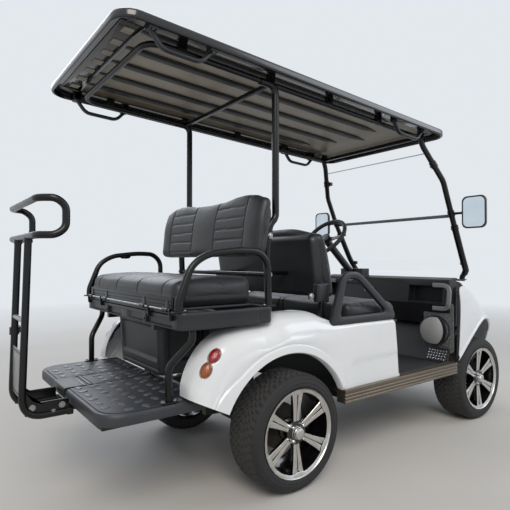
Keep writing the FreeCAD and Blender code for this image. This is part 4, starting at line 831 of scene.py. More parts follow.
def lens(name: str, tone: str, deep: str) -> Material:
    """Moulded acrylic lamp lens: coloured and glossy, with prisms 5 mm apart behind the face."""
    if name in bpy.data.materials:
        return bpy.data.materials[name]
    tree, bsdf, coords = start_material(name, {"IOR": 1.49, "Coat Weight": 0.5, "Coat Roughness": 0.03,
                                               "Transmission Weight": 0.25})
    pattern = {"Scale": 200.0, "Randomness": 0.15}
    cells = add_node(tree, "ShaderNodeTexVoronoi", pattern, {"Vector": coords}).outputs[0]
    colour = blend_colour(tree, cells, 0.1, 0.6, tone, deep)
    bump = add_node(tree, "ShaderNodeBump", {"Strength": 0.7, "Distance": 0.0012}, {"Height": cells})
    dress(tree, bsdf, colour, span(tree, cells, 0.08, 0.2), bump)
    return bpy.data.materials[name]


def clear_sheet() -> Material:
    """Clear polycarbonate: nearly unseen, with a smoky cut edge at the top and a few hazy wipe marks."""
    name = "clear_polycarbonate"
    if name in bpy.data.materials:
        return bpy.data.materials[name]
    tree, bsdf, coords = start_material(name, {"IOR": 1.3, "Transmission Weight": 1.0})
    haze = noise(tree, coords, 60, 5.0, (1.0, 1.0, 0.3))
    see = add_node(tree, "ShaderNodeBsdfTransparent", {"Color": linear("#ffffff")})
    # The cut edge takes the top 6 mm and fades over 2 mm more
    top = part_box("windshield")[1][2]
    height = add_node(tree, "ShaderNodeSeparateXYZ", None, {"Vector": coords}).outputs["Z"]
    edge = map_range(tree, height, {"From Min": top - 0.008, "From Max": top - 0.006})
    tones = {"data_type": "RGBA", 6: linear("#eef3f4"), 7: linear("#5c6468")}
    tone = add_node(tree, "ShaderNodeMix", tones, {0: edge})
    dress(tree, bsdf, tone.outputs[2], span(tree, haze, 0.0, 0.03))
    share = span(tree, edge, 0.03, 0.6)
    mix = add_node(tree, "ShaderNodeMixShader", None, {0: share, 1: see.outputs[0], 2: bsdf.outputs[0]})
    out = next(node for node in tree.nodes if node.type == "OUTPUT_MATERIAL")
    tree.links.new(mix.outputs[0], out.inputs["Surface"])
    return bpy.data.materials[name]


def mirror_glass() -> Material:
    """Silvered glass: a mirror with a faint blue tint and a little waviness."""
    return Finish("mirror_glass", "#d9e2e8", "#cfdbe2", (0.02, 0.05), 90, 40.0, 0.01,
                  metallic=1.0).material()


def anodised_extrusion() -> Material:
    """Anodised aluminium extrusion in champagne bronze: satin metal with die lines along its length."""
    name = "anodised_extrusion"
    if name in bpy.data.materials:
        return bpy.data.materials[name]
    tree, bsdf, coords = start_material(name, {"Metallic": 0.85})
    broad = noise(tree, coords, 120, 3.0, (0.2, 1.0, 1.0))
    lines = noise(tree, coords, 1.2, 2.0, (0.01, 1.0, 1.0))
    colour = blend_colour(tree, broad, 0.3, 0.7, "#6f675b", "#7d7467")
    bump = add_node(tree, "ShaderNodeBump", {"Distance": 0.00008}, {"Height": lines})
    dress(tree, bsdf, colour, span(tree, lines, 0.32, 0.5), bump)
    return bpy.data.materials[name]


# Wheels


@dataclass
class Wheel:
    """Tyre with a block tread on a six-spoke alloy rim."""

    label: str
    station: float
    side: int
    radius: float = 0.274
    mid_y: float = 0.507
    pitches: int = 48
    grooves: tuple[float, ...] = (0.018, 0.040, 0.060)
    groove_depth: float = 0.006
    slot_depth: float = 0.0048
    wall_from: float = 0.068
    spokes: int = 6
    nuts: int = 4
    nut_circle: float = 0.044

    def body(self) -> str:
        """Name of the body that the wheel turns with."""
        return f"wheel_{self.label}"

    def placed(self, patches: Sequence[Patch]) -> list[Patch]:
        """Carry surfaces from the wheel's own middle to its axle, turned half round for the right side."""
        turn = np.eye(3) if self.side > 0 else np.diag([-1.0, -1.0, 1.0])
        return [patch.turned(turn).moved((self.station, self.side * self.mid_y,
                                          AXLE_Z)) for patch in patches]

    def tyre(self) -> Piece:
        """Tyre: a section turned about the axle, cut by five grooves round it and slanted slots across it.

        The radius at angle a and width y is the section's own, less a groove depth times a window in y,
        less a slot depth times a window in the phase of a + slant |y|. The windows are smooth steps.
        """
        half = np.array([
            (0.193, 0.0935), (0.203, 0.0948), (0.2075, 0.0962), (0.211, 0.0995), (0.218, 0.1015),
            (0.2195, 0.1023), (0.2225, 0.1023), (0.224, 0.1013), (0.232, 0.1018), (0.2335, 0.1024),
            (0.2365, 0.1024), (0.238, 0.1015), (0.246, 0.1003), (0.2535, 0.0975), (0.2545, 0.0992),
            (0.2585, 0.0965), (0.2625, 0.0925), (0.2665, 0.087), (0.2697, 0.081), (0.2718, 0.0745),
            (0.2728, 0.0715), (0.2732, 0.067), (0.2736, 0.0635), (0.2737, 0.0625), (0.2737, 0.0575),
            (0.2738, 0.0565), (0.2739, 0.052), (0.274, 0.047), (0.274, 0.0435), (0.274, 0.0425),
            (0.274, 0.0375), (0.274, 0.0365), (0.274, 0.031), (0.274, 0.0255), (0.274, 0.0215),
            (0.274, 0.0205), (0.274, 0.0155), (0.274, 0.0145), (0.274, 0.009), (0.274, 0.003), (0.274, 0.0),
        ])
        section = np.vstack([half, half[-2::-1] * (1, -1)])
        steps = self.pitches * 8
        angle = np.linspace(0, 2 * math.pi, steps, endpoint=False)[:, None]
        radius, width = section[:, 0][None], section[:, 1][None]
        tread = np.abs(width) < 0.09
        row = np.digitize(np.abs(width), self.grooves)
        groove = np.zeros_like(width)
        for middle in self.grooves:
            groove = np.maximum(groove, 1 - smoothstep(0.0019, 0.0029, np.abs(np.abs(width) - middle)))
        phase = (angle * self.pitches / (2 * math.pi) + 9.0 * np.abs(width) + 0.5 * (row % 2)
                 + 0.25 * (width > 0)) % 1.0
        slot = 1 - smoothstep(0.10, 0.18, np.abs(phase - 0.5))
        shoulder = 1 - smoothstep(0.0715, 0.0885, np.abs(width)) * 0.55
        depth = np.maximum(groove * self.groove_depth, slot * self.slot_depth * shoulder) * tread
        wall = np.abs(width) > self.wall_from
        carved = np.where(wall, radius - depth * 0.9, radius - depth)
        inwards = depth * 0.45 * np.sign(width) * wall
        across = np.broadcast_to(width, carved.shape) - inwards
        points = np.stack([carved * np.cos(angle), across, carved * np.sin(angle)], -1)
        uv = np.stack([np.broadcast_to(angle * self.radius, carved.shape), carved], -1)
        carcass = grid(points, wrap_u=True, wrap_v=True, uv=uv)
        return make_object(f"tyre_cover_{self.label}", self.placed([carcass]), [tyre_rubber()], self.body(),
                           40, [f"tyre_{self.label}"])

    def spoke(self) -> Patch:
        """One double-edged spoke: a five-sided section that widens towards the rim, with a dark channel.

        At distance r from the axle the half width is w(r), the face lies at f(r) and dips in the middle by
        the channel's depth; all are smooth curves through a short table.
        """
        table = np.array([  # distance, half width, face, channel depth, half channel
            (0.040, 0.0150, 0.0790, 0.0000, 0.0008), (0.070, 0.0172, 0.0805, 0.0010, 0.0010),
            (0.100, 0.0202, 0.0830, 0.0030, 0.0014), (0.130, 0.0238, 0.0858, 0.0040, 0.0020),
            (0.160, 0.0280, 0.0885, 0.0045, 0.0028), (0.180, 0.0322, 0.0905, 0.0040, 0.0036),
            (0.190, 0.0345, 0.0915, 0.0025, 0.0040),
        ])
        row = spline(table, np.linspace(0, len(table) - 1, 40))
        reach, half, face, dip, channel = (row[:, i] for i in range(5))
        zero = np.zeros_like(half)
        back = face - 0.030
        # Section corners from one lower edge over the face to the other
        across = np.stack([-half * 0.62, -half - 0.0015, -half - 0.0006, -half * 0.96, -channel * 1.5,
                           -channel * 1.1, -channel * 0.7, channel * 0.7, channel * 1.1, channel * 1.5,
                           half * 0.96, half + 0.0006, half + 0.0015, half * 0.62], 1)
        up = np.stack([back, face - 0.010, face - 0.0018, face, face + zero, face - 0.0006, face - dip,
                       face - dip, face - 0.0006, face + zero, face, face - 0.0018, face - 0.010, back], 1)
        points = np.stack([across, up, np.broadcast_to(reach[:, None], across.shape)], -1)
        # Materials of the faces between them
        slots = [1, 1, 0, 0, 0, 1, 1, 1, 0, 0, 0, 1, 1, 1]
        uv = np.stack([across, np.hypot(across, reach[:, None])], -1)
        patch = grid(points, wrap_v=True, caps=True, slots=np.array(slots), uv=uv)
        return replace(patch, slot=patch.slot[:-2] + [1, 1])

    def rim(self) -> Piece:
        """Rim: barrel, scalloped bright flange, six spokes, hub with four nuts and the cap."""
        barrel = lathe([(0.192, -0.0955), (0.2055, -0.0955), (0.206, -0.1000), (0.2045, -0.1022),
                        (0.197, -0.1020), (0.188, -0.092), (0.184, -0.070), (0.170, -0.030), (0.168, 0.010),
                        (0.176, 0.045), (0.184, 0.070), (0.1865, 0.0800), (0.188, 0.0915), (0.190, 0.0935),
                        (0.192, 0.0935)], 144, True)
        angle = np.linspace(0, 2 * math.pi, 288, endpoint=False)[:, None]
        # The flange's inner edge swings in towards each spoke and is notched between them
        wave = np.cos(self.spokes * (angle - math.pi / 2))
        swell = smoothstep(0.35, 0.95, wave)
        notch = 1 - smoothstep(0.0, 0.10, np.abs(wave + 0.15))
        inner = 0.1875 - 0.0085 * swell + 0.0030 * notch
        outer = [np.full_like(inner, reach) for reach in (0.2005, 0.2040, 0.2058, 0.2060, 0.2050, 0.1920)]
        section_r = np.concatenate([inner - 0.0005, inner, inner + 0.0025] + outer, 1)
        section_y = np.array([0.0880, 0.0935, 0.0948, 0.0975, 0.1018, 0.1022, 0.1000, 0.0958, 0.0940])
        section_y = np.broadcast_to(section_y, section_r.shape)
        points = np.stack([section_r * np.cos(angle), section_y, section_r * np.sin(angle)], -1)
        uv = np.stack([np.broadcast_to(angle, section_r.shape), section_r], -1)
        flange = grid(points, wrap_u=True, wrap_v=True, uv=uv, slots=np.array([1, 0, 0, 0, 0, 0, 1, 1, 1]))
        hub = lathe([(0.0, 0.012), (0.056, 0.012), (0.058, 0.060), (0.057, 0.0775), (0.054, 0.0805),
                     (0.036, 0.0815), (0.034, 0.079), (0.0, 0.079)], 72).painted(1)
        cap = lathe([(0.0, 0.1092), (0.012, 0.1090), (0.020, 0.1082), (0.0245, 0.1062), (0.0262, 0.1035),
                     (0.0268, 0.098), (0.0285, 0.0965), (0.0290, 0.086), (0.0305, 0.0845), (0.0305, 0.079),
                     (0.0, 0.079)][::-1], 72)
        patches = [barrel.painted(1), flange, hub]
        nut_profile = [(0.0, 0.0995), (0.0062, 0.0990), (0.0085, 0.0960), (0.0090, 0.0810),
                       (0.0115, 0.0805), (0.0118, 0.0780), (0.0, 0.078)][::-1]
        nuts = []
        for index in range(self.nuts):
            spin = math.radians(45 + 360 * index / self.nuts)
            spot = (self.nut_circle * math.cos(spin), 0, self.nut_circle * math.sin(spin))
            nuts.append(lathe(nut_profile, 12).moved(spot).painted(2))
        one = self.spoke()
        for index in range(self.spokes):
            patches.append(one.turned(about_y(360 * index / self.spokes)))
        valve = tube([(0.0, 0.070, -0.176), (0.0, 0.088, -0.170), (0.0, 0.096, -0.167)], 0.0035,
                     10).painted(2)
        patches += nuts + [valve, cap.painted(0)]
        return make_object(f"rim_cover_{self.label}", self.placed(patches),
                           [turned_aluminium(), WHEEL_BLACK, CHROME, ZINC], self.body(), 28,
                           [f"rim_{self.label}"])

    def build(self) -> list[Piece]:
        """Build the tyre and the rim."""
        return [self.tyre(), self.rim()]


# Bodywork


@dataclass
class RearBody:
    """Fender and side panel of one side as one moulded shell round the wheel arch."""

    centre: tuple[float, float] = (REAR_X - 0.050, 0.272)
    arch: float = 0.382
    side_y: float = 0.600
    panel_round: float = 0.020
    fender_round: float = 0.105
    wall: float = 0.0045

    def crest(self) -> Array:
        """Outline of the moulding in side view from its lower front corner over the top to its tail."""
        return rounded_outline([
            (0.292, 0.424), (0.2775, 0.590, 0.05), (0.258, 0.744, 0.022), (0.06, 0.747, 0.05),
            (-0.160, 0.750, 0.06), (-0.250, 0.776, 0.05), (-0.340, 0.822, 0.07), (-0.420, 0.8275, 0.03),
            (-0.560, 0.827, 0.04), (-0.625, 0.791, 0.04), (-0.760, 0.786, 0.06), (-0.875, 0.758, 0.06),
            (-0.945, 0.706, 0.06), (-0.996, 0.631, 0.05), (-1.0205, 0.560, 0.03), (-1.0195, 0.511),
            (-0.80, 0.36), (-0.3, 0.30),
        ], 8)

    def reach(self, angle: Array) -> Array:
        """Distance from the arch centre to the outline along each angle, by crossing it with every edge."""
        outline = self.crest() - self.centre
        start, stop = outline, np.roll(outline, -1, 0)
        edge = stop - start
        ray = np.stack([np.cos(angle), np.sin(angle)], -1)
        cross = ray[:, None, 0] * edge[None, :, 1] - ray[:, None, 1] * edge[None, :, 0]
        cross = np.where(np.abs(cross) < 1e-12, 1e-12, cross)
        along = (start[None, :, 0] * edge[None, :, 1] - start[None, :, 1] * edge[None, :, 0]) / cross
        share = (start[None, :, 0] * ray[:, None, 1] - start[None, :, 1] * ray[:, None, 0]) / cross
        good = (share >= -1e-9) & (share <= 1 + 1e-9) & (along > 0.1)
        return np.where(good, along, 0).max(1)

    def surface(self) -> Array:
        """Points of the outer surface, angle round the arch by section.

        Each section runs out from the arch: a lip that stands proud, the side wall with a slight crown, a
        quarter round of radius rho over the shoulder and a flat run inboard. rho grows from the panel to
        the fender.
        """
        degrees = np.concatenate([np.linspace(10.75, 32, 36), np.linspace(32.6, 100, 60),
                                  np.linspace(101, 153.8, 62)])
        angle = np.radians(degrees)
        outer = self.reach(angle)
        bottom = 0.154 / np.sin(angle)
        inner = np.where(degrees < 90, np.maximum(self.arch, bottom), self.arch)
        lip_on = smoothstep(23.2, 25.5, degrees)
        lip = 0.030 + 0.036 * smoothstep(128, 152, degrees)
        lip = np.minimum(lip, np.maximum(outer - inner - 0.02, 0.001))
        rho = self.panel_round + (self.fender_round - self.panel_round) * smoothstep(45, 78, degrees)
        rho = np.minimum(rho, np.maximum(outer - inner - lip - 0.012, 0.001) * 0.9)
        inboard = 0.562 - 0.100 * smoothstep(50, 64, degrees)
        rows = []
        proud = 0.008 * lip_on
        rows.append((inner + 0.0005, self.side_y - 0.028 * lip_on - 0.001))
        rows.append((inner, self.side_y + proud - 0.003 * lip_on))
        rows.append((inner + 0.0015 * lip_on, self.side_y + proud))
        rows.append((inner + lip * 0.5 * lip_on, self.side_y + proud))
        rows.append((inner + (lip - 0.001) * lip_on, self.side_y + proud * 0.9))
        rows.append((inner + (lip + 0.004) * lip_on, self.side_y + 0.001 * lip_on))
        start = inner + (lip + 0.008) * lip_on
        shoulder = np.maximum(outer - rho, start + 0.001)
        for share in np.linspace(0, 1, 16):
            rows.append((start + share * (shoulder - start),
                         self.side_y + 0.0045 * math.sin(math.pi * share)
                         * smoothstep(30, 60, degrees)))
        for turn in np.linspace(0, math.pi / 2, 13)[1:]:
            rows.append((shoulder + (outer - shoulder) * math.sin(turn),
                         self.side_y - rho * (1 - math.cos(turn))))
        flat = self.side_y - rho
        for share in (0.35, 0.7, 1.0):
            rows.append((outer + 0 * degrees, flat + share * (inboard - flat)))
        distance = np.stack([row[0] for row in rows], 1)
        out = np.stack([row[1] + 0 * degrees for row in rows], 1)
        x = self.centre[0] + distance * np.cos(angle)[:, None]
        z = self.centre[1] + distance * np.sin(angle)[:, None]
        # Crease along the panel: the wall below it steps in by 5 mm
        step = (1 - smoothstep(0.556, 0.562, z)) * smoothstep(-0.150, -0.060, x)
        out = out - 0.005 * step * (out > self.side_y - 0.004)
        return np.stack([x, out, z], -1)

    def build(self) -> list[Piece]:
        """Build both sides."""
        made = []
        points = self.surface()
        left = shell(points, self.wall)
        for side, patch in (("left", left), ("right", left.mirrored())):
            made.append(make_object(f"rear_fender_{side}", [patch], [WHITE_ENAMEL], "chassis",
                                    38, [f"rear_body_{side}"]))
        return made


@dataclass
class Cowl:
    """Front moulding: fenders that end in a lip over the tyres, and the hood and nose between them."""

    wall: float = 0.0045
    # Left half: stations from the door opening to the nose, each from the lower edge over the fender to
    # the middle
    net: tuple[tuple[Point, ...], ...] = (
        ((0.930, 0.596, 0.426), (0.941, 0.600, 0.600), (0.953, 0.599, 0.780), (0.962, 0.586, 0.892),
         (1.080, 0.540, 0.908), (1.184, 0.400, 0.934), (1.191, 0.0, 0.944)),
        ((1.000, 0.598, 0.487), (1.005, 0.604, 0.640), (1.012, 0.601, 0.790), (1.030, 0.582, 0.884),
         (1.140, 0.520, 0.902), (1.224, 0.390, 0.926), (1.235, 0.0, 0.938)),
        ((1.084, 0.599, 0.560), (1.090, 0.604, 0.665), (1.098, 0.598, 0.775), (1.120, 0.574, 0.857),
         (1.210, 0.500, 0.866), (1.288, 0.370, 0.895), (1.302, 0.0, 0.912)),
        ((1.160, 0.600, 0.618), (1.165, 0.602, 0.690), (1.175, 0.595, 0.765), (1.195, 0.568, 0.818),
         (1.268, 0.490, 0.822), (1.338, 0.360, 0.860), (1.350, 0.0, 0.880)),
        ((1.240, 0.598, 0.664), (1.243, 0.597, 0.702), (1.250, 0.585, 0.742), (1.268, 0.552, 0.765),
         (1.325, 0.475, 0.768), (1.388, 0.345, 0.806), (1.400, 0.0, 0.828)),
        ((1.325, 0.586, 0.662), (1.330, 0.582, 0.674), (1.340, 0.566, 0.688), (1.358, 0.532, 0.698),
         (1.402, 0.455, 0.702), (1.448, 0.330, 0.728), (1.458, 0.0, 0.752)),
        ((1.402, 0.560, 0.604), (1.408, 0.555, 0.607), (1.418, 0.540, 0.612), (1.432, 0.508, 0.618),
         (1.464, 0.438, 0.624), (1.496, 0.320, 0.640), (1.506, 0.0, 0.655)),
        ((1.448, 0.515, 0.510), (1.453, 0.511, 0.511), (1.463, 0.500, 0.513), (1.477, 0.474, 0.516),
         (1.503, 0.415, 0.520), (1.524, 0.300, 0.526), (1.532, 0.0, 0.530)),
        ((1.463, 0.498, 0.422), (1.468, 0.494, 0.422), (1.477, 0.484, 0.422), (1.489, 0.460, 0.422),
         (1.510, 0.400, 0.422), (1.527, 0.290, 0.422), (1.5345, 0.0, 0.422)),
    )

    def surface(self) -> Array:
        """Smooth surface through the net and its mirror image, with the lower edge drawn out into a lip."""
        half = np.array(self.net)
        whole = np.concatenate([half, half[:, -2::-1] * (1, -1, 1)], 1)
        points = net_surface(whole, 65, 181)
        run = np.cumsum(np.linalg.norm(np.diff(points, axis=1, prepend=points[:, :1]), axis=2), axis=1)
        edge = np.minimum(run, run[:, -1:] - run)
        proud = 0.007 * (1 - smoothstep(0.020, 0.030, edge)) * smoothstep(0.002, 0.006, edge)
        side = np.sign(points[:, :, 1:2])
        normal = np.cross(np.gradient(points, axis=1), np.gradient(points, axis=0))
        normal /= np.maximum(np.linalg.norm(normal, axis=2, keepdims=True), 1e-9)
        facing = (normal * np.concatenate([0 * side, side, 0 * side], 2)).sum(2, keepdims=True)
        outward = np.where(facing < 0, -1, 1)
        points = points + normal * outward * proud[:, :, None]
        points[:, :, 0] = np.minimum(points[:, :, 0], 1.5350)
        return points

    def build(self) -> list[Piece]:
        """Build the moulding as one shell."""
        return [make_object("cowl_shell", [shell(self.surface(), self.wall)], [WHITE_ENAMEL], "chassis",
                            40, ["front_cowl"])]


# Upholstery


@dataclass
class Cushion:
    """Foam pad under vinyl, swollen by a cloth simulation between its sewn lines.

    The pad is a stack of closed sections along Y. Each section's outline is drawn in towards the ends
    along a quarter circle of the end radius.
    """

    name: str
    half: float
    end_radius: float
    seams: tuple[float, ...]
    section: Callable[[float], list[Point]]
    held: Callable[[Array], Array]
    creased: Callable[[Array], Array]
    pressure: float = 4.0
    cap: float = 0.024
    ring: int = 96
    step: float = 0.016
    crease: float = 0.006
    frames: int = 20
    turn: Array = field(default_factory=lambda: np.eye(3))
    offset: Point = (0.0, 0.0, 0.0)

    def shape(self) -> Array:
        """Sections of the slack pad, sections by points by 3."""
        inner = self.half - self.end_radius
        lines = stations(inner, self.seams, self.step)
        bend = np.linspace(0, math.pi / 2, 8)[1:]
        ends = inner + self.end_radius * np.sin(bend)
        spots = np.concatenate([-ends[::-1], lines, ends])
        depth = np.concatenate([self.end_radius * (1 - np.cos(bend))[::-1], 0 * lines,
                                self.end_radius * (1 - np.cos(bend))])
        rows = []
        for spot, inset in zip(spots, depth):
            corners = np.array(self.section(float(np.clip(spot, -inner, inner))))
            corners[:, :2] = inward(corners[:, :2], inset * 0.85)
            corners[:, 2] = np.maximum(corners[:, 2] - inset * 0.3, 0.003)
            outline = resample(rounded_outline(corners, 9), self.ring)
            rows.append(np.stack([outline[:, 0], np.full(self.ring, spot), outline[:, 1]], -1))
        rows = np.array(rows)
        # Close each end by shrinking its last ring onto its middle
        caps = []
        for row in (rows[0], rows[-1]):
            middle = row.mean(0)
            caps.append([middle + (row - middle) * share for share in (0.86, 0.70, 0.52, 0.34, 0.16)])
        return np.concatenate([np.array(caps[0])[::-1], rows, np.array(caps[1])])

    def simulate(self, obj: Piece, pins: Array) -> None:
        """Swell the pad by cloth pressure over the frames, with the sewn lines and the base held."""
        group = obj.vertex_groups.new(name="held")
        for weight in np.unique(pins[pins > 0]):
            group.add(np.flatnonzero(pins == weight).tolist(), float(weight), "REPLACE")
        cloth = obj.modifiers.new("foam", "CLOTH")
        cloth.settings.use_pressure = True
        cloth.settings.uniform_pressure_force = self.pressure
        cloth.settings.effector_weights.gravity = 0.0
        cloth.settings.vertex_group_mass = "held"
        cloth.settings.quality = 6
        cloth.settings.tension_stiffness = 25
        cloth.settings.compression_stiffness = 25
        cloth.settings.bending_stiffness = 1.5
        cloth.point_cache.frame_start = 1
        cloth.point_cache.frame_end = self.frames
        scene = bpy.context.scene
        for number in range(1, self.frames + 1):
            scene.frame_set(number)
        result = obj.evaluated_get(bpy.context.evaluated_depsgraph_get()).to_mesh()
        count = len(obj.data.vertices)
        after = np.zeros(count * 3, np.float32)
        result.vertices.foreach_get("co", after)
        before = np.zeros(count * 3, np.float32)
        obj.data.vertices.foreach_get("co", before)
        shift = (after - before).reshape(-1, 3)
        length = np.maximum(np.linalg.norm(shift, axis=1, keepdims=True), 1e-9)
        shift *= np.minimum(1, self.cap / length)
        obj.modifiers.remove(cloth)
        obj.vertex_groups.clear()
        obj.data.vertices.foreach_set("co", (before.reshape(-1, 3) + shift).ravel())
        obj.data.update()
        scene.frame_set(1)

    def build(self, body: str, stands_for: Sequence[str]) -> Piece:
        patch = grid(self.shape(), wrap_v=True, caps=True)
        flat = patch.points
        seam_gap = np.min([np.abs(flat[:, 1] - seam) for seam in self.seams], axis=0)
        lines = np.maximum(1 - smoothstep(0.0006, 0.0035, seam_gap), self.creased(flat))
        pins = np.clip(np.maximum(self.held(flat), (lines > 0.6) * 1.0), 0, 1)
        turned = patch.turned(self.turn).moved(self.offset)
        obj = make_object(self.name, [turned], [seat_vinyl()], body, 60, stands_for,
                          weld=False)
        self.simulate(obj, pins)
        count = len(obj.data.vertices)
        co = np.zeros(count * 3, np.float32)
        obj.data.vertices.foreach_get("co", co)
        normals = np.zeros(count * 3, np.float32)
        obj.data.vertices.foreach_get("normal", normals)
        free = 1 - np.clip(self.held(flat), 0, 1)
        co = co.reshape(-1, 3) - normals.reshape(-1, 3) * (self.crease * lines * free)[:, None]
        obj.data.vertices.foreach_set("co", co.ravel())
        obj.data.update()
        smooth = obj.modifiers.new("smooth", "SUBSURF")
        smooth.levels = 1
        smooth.render_levels = 1
        return obj


@dataclass
class Upholstery:
    """The four pads: rear seat, rear backrest, front bench and front backrest."""

    def rear_seat(self) -> Piece:
        """Rear seat pad: rounded over its rear edge, with four sewn channels over its top and its rear."""
        low, line, high = 0.8850, 0.936, 1.0020

        def section(_: float) -> list[Point]:
            """Outline in x and z: an upright fascia, a wide round over the rear edge and a flat base."""
            return [(-1.0780, low, 0.010), (-0.688, low, 0.012), (-0.688, high, 0.030),
                    (-0.90, high + 0.004, 0.1), (-1.066, high - 0.004, 0.055), (-1.0790, line, 0.02)]

        def held(points: Array) -> Array:
            """Held on the base board and firm on the fascia."""
            base = 1 - smoothstep(low + 0.004, low + 0.02, points[:, 2])
            return np.maximum(base, 0.7 * (points[:, 2] < line - 0.004))

        def creased(points: Array) -> Array:
            """Sewn line between the fascia and the top panel, on the rear face."""
            rear = points[:, 0] < -1.03
            return rear * sewn(np.abs(points[:, 2] - line))

        return Cushion("rear_seat_pad", 0.519, 0.040, (-0.400, -0.135, 0.135, 0.400), section, held,
                       creased, cap=0.016, ring=110).build("flip_seat", ["rear_seat_cushion"])

    def rear_back(self) -> Piece:
        """Rear-facing backrest: two humps and a saddle, four upright seams and ribs on the outer panels."""
        top = np.array([(-0.512, 0.222), (-0.475, 0.252), (-0.42, 0.271), (-0.34, 0.279), (-0.25, 0.276),
                        (-0.16, 0.262), (0.0, 0.258), (0.16, 0.262), (0.25, 0.276), (0.34, 0.279),
                        (0.42, 0.271), (0.475, 0.252), (0.512, 0.222)])
        foot = -0.034

        def section(spot: float) -> list[Point]:
            """Outline in depth and height: the rear face bellies out and leans over at the top."""
            high = float(np.interp(spot, top[:, 0], top[:, 1]))
            return [(0.010, foot, 0.030), (0.078, foot, 0.02), (0.078, high - 0.004, 0.03),
                    (0.022, high - 0.002, 0.03), (0.002, high * 0.62, 0.05)]

        def held(points: Array) -> Array:
            """Held on the back board, which faces forward."""
            return smoothstep(0.066, 0.074, points[:, 0])

        def creased(points: Array) -> Array:
            """Ribs 55 mm apart across the two side panels of the rear face."""
            gap = rib_gap(points[:, 2], 0.045)
            inside = (np.abs(points[:, 1]) > 0.124) & (np.abs(points[:, 1]) < 0.380)
            return inside * (points[:, 0] < 0.05) * (points[:, 2] < 0.245) * sewn(gap)

        pad = Cushion("rear_back_pad", 0.512, 0.045, (-0.385, -0.117, 0.117, 0.385), section, held, creased,
                      cap=0.016, ring=110, turn=about_y(8.4), offset=(REAR_X - 0.180, 0.0, 1.140))
        return pad.build("chassis", ["rear_backrest"])

    def front_bench(self) -> Piece:
        """Front bench pad with three sewn channels across."""
        low, high = 0.7355, 0.8560

        def section(_: float) -> list[Point]:
            """Outline in x and z: thick waterfall front edge."""
            return [(-0.078, low, 0.012), (0.336, low, 0.02), (0.338, high - 0.02, 0.06), (0.20, high, 0.1),
                    (-0.078, high - 0.008, 0.03)]

        def held(points: Array) -> Array:
            """Held on the board."""
            return 1 - smoothstep(low + 0.004, low + 0.02, points[:, 2])

        def creased(points: Array) -> Array:
            """Border seam 60 mm above the board and cross seams on the top."""
            border = sewn(np.abs(points[:, 2] - low - 0.060)) * (points[:, 0] > 0.27)
            across = np.min([np.abs(points[:, 0] - spot) for spot in (0.04, 0.14, 0.24)], axis=0)
            return np.maximum(border, (points[:, 2] > high - 0.03) * sewn(across))

        return Cushion("front_bench_pad", 0.546, 0.040, (-0.380, -0.020, 0.020, 0.380), section, held,
                       creased, cap=0.014, ring=110).build("seat_lid", ["front_seat_cushion"])

    def front_back(self) -> Piece:
        """Front backrest pad, leaning back, with a vertical break in the middle."""
        foot, rear = 0.880, -0.180

        def section(spot: float) -> list[Point]:
            """Corners in x and z: leans back about 9 degrees, thick at its foot, lower towards its ends."""
            high = foot + 0.382 - 0.040 * float(smoothstep(0.22, 0.50, abs(spot)))
            return [(rear + 0.004, foot + 0.003, 0.015), (rear + 0.076, foot + 0.003, 0.02),
                    (rear + 0.046, foot + 0.20, 0.08), (rear - 0.004, high, 0.028),
                    (rear - 0.060, high - 0.012, 0.028)]

        def held(points: Array) -> Array:
            """Held on the back board."""
            line = rear + 0.004 - 0.155 * (points[:, 2] - foot)
            return 1 - smoothstep(0.004, 0.014, points[:, 0] - line)

        def creased(points: Array) -> Array:
            """Ribs across the outer panels of the front face."""
            gap = rib_gap(points[:, 2], foot)
            inside = (np.abs(points[:, 1]) > 0.10) & (np.abs(points[:, 1]) < 0.40)
            line = rear + 0.035 - 0.155 * (points[:, 2] - foot)
            return inside * (points[:, 0] > line) * sewn(gap)

        return Cushion("front_back_pad", 0.486, 0.040, (-0.385, -0.095, 0.0, 0.095, 0.385), section, held,
                       creased, cap=0.014, ring=110).build("chassis", ["front_seat_back"])

    def build(self) -> list[Piece]:
        """Build the four pads."""
        return [self.rear_seat(), self.rear_back(), self.front_bench(), self.front_back()]


# Rear seat, tray, footrest and grab bar


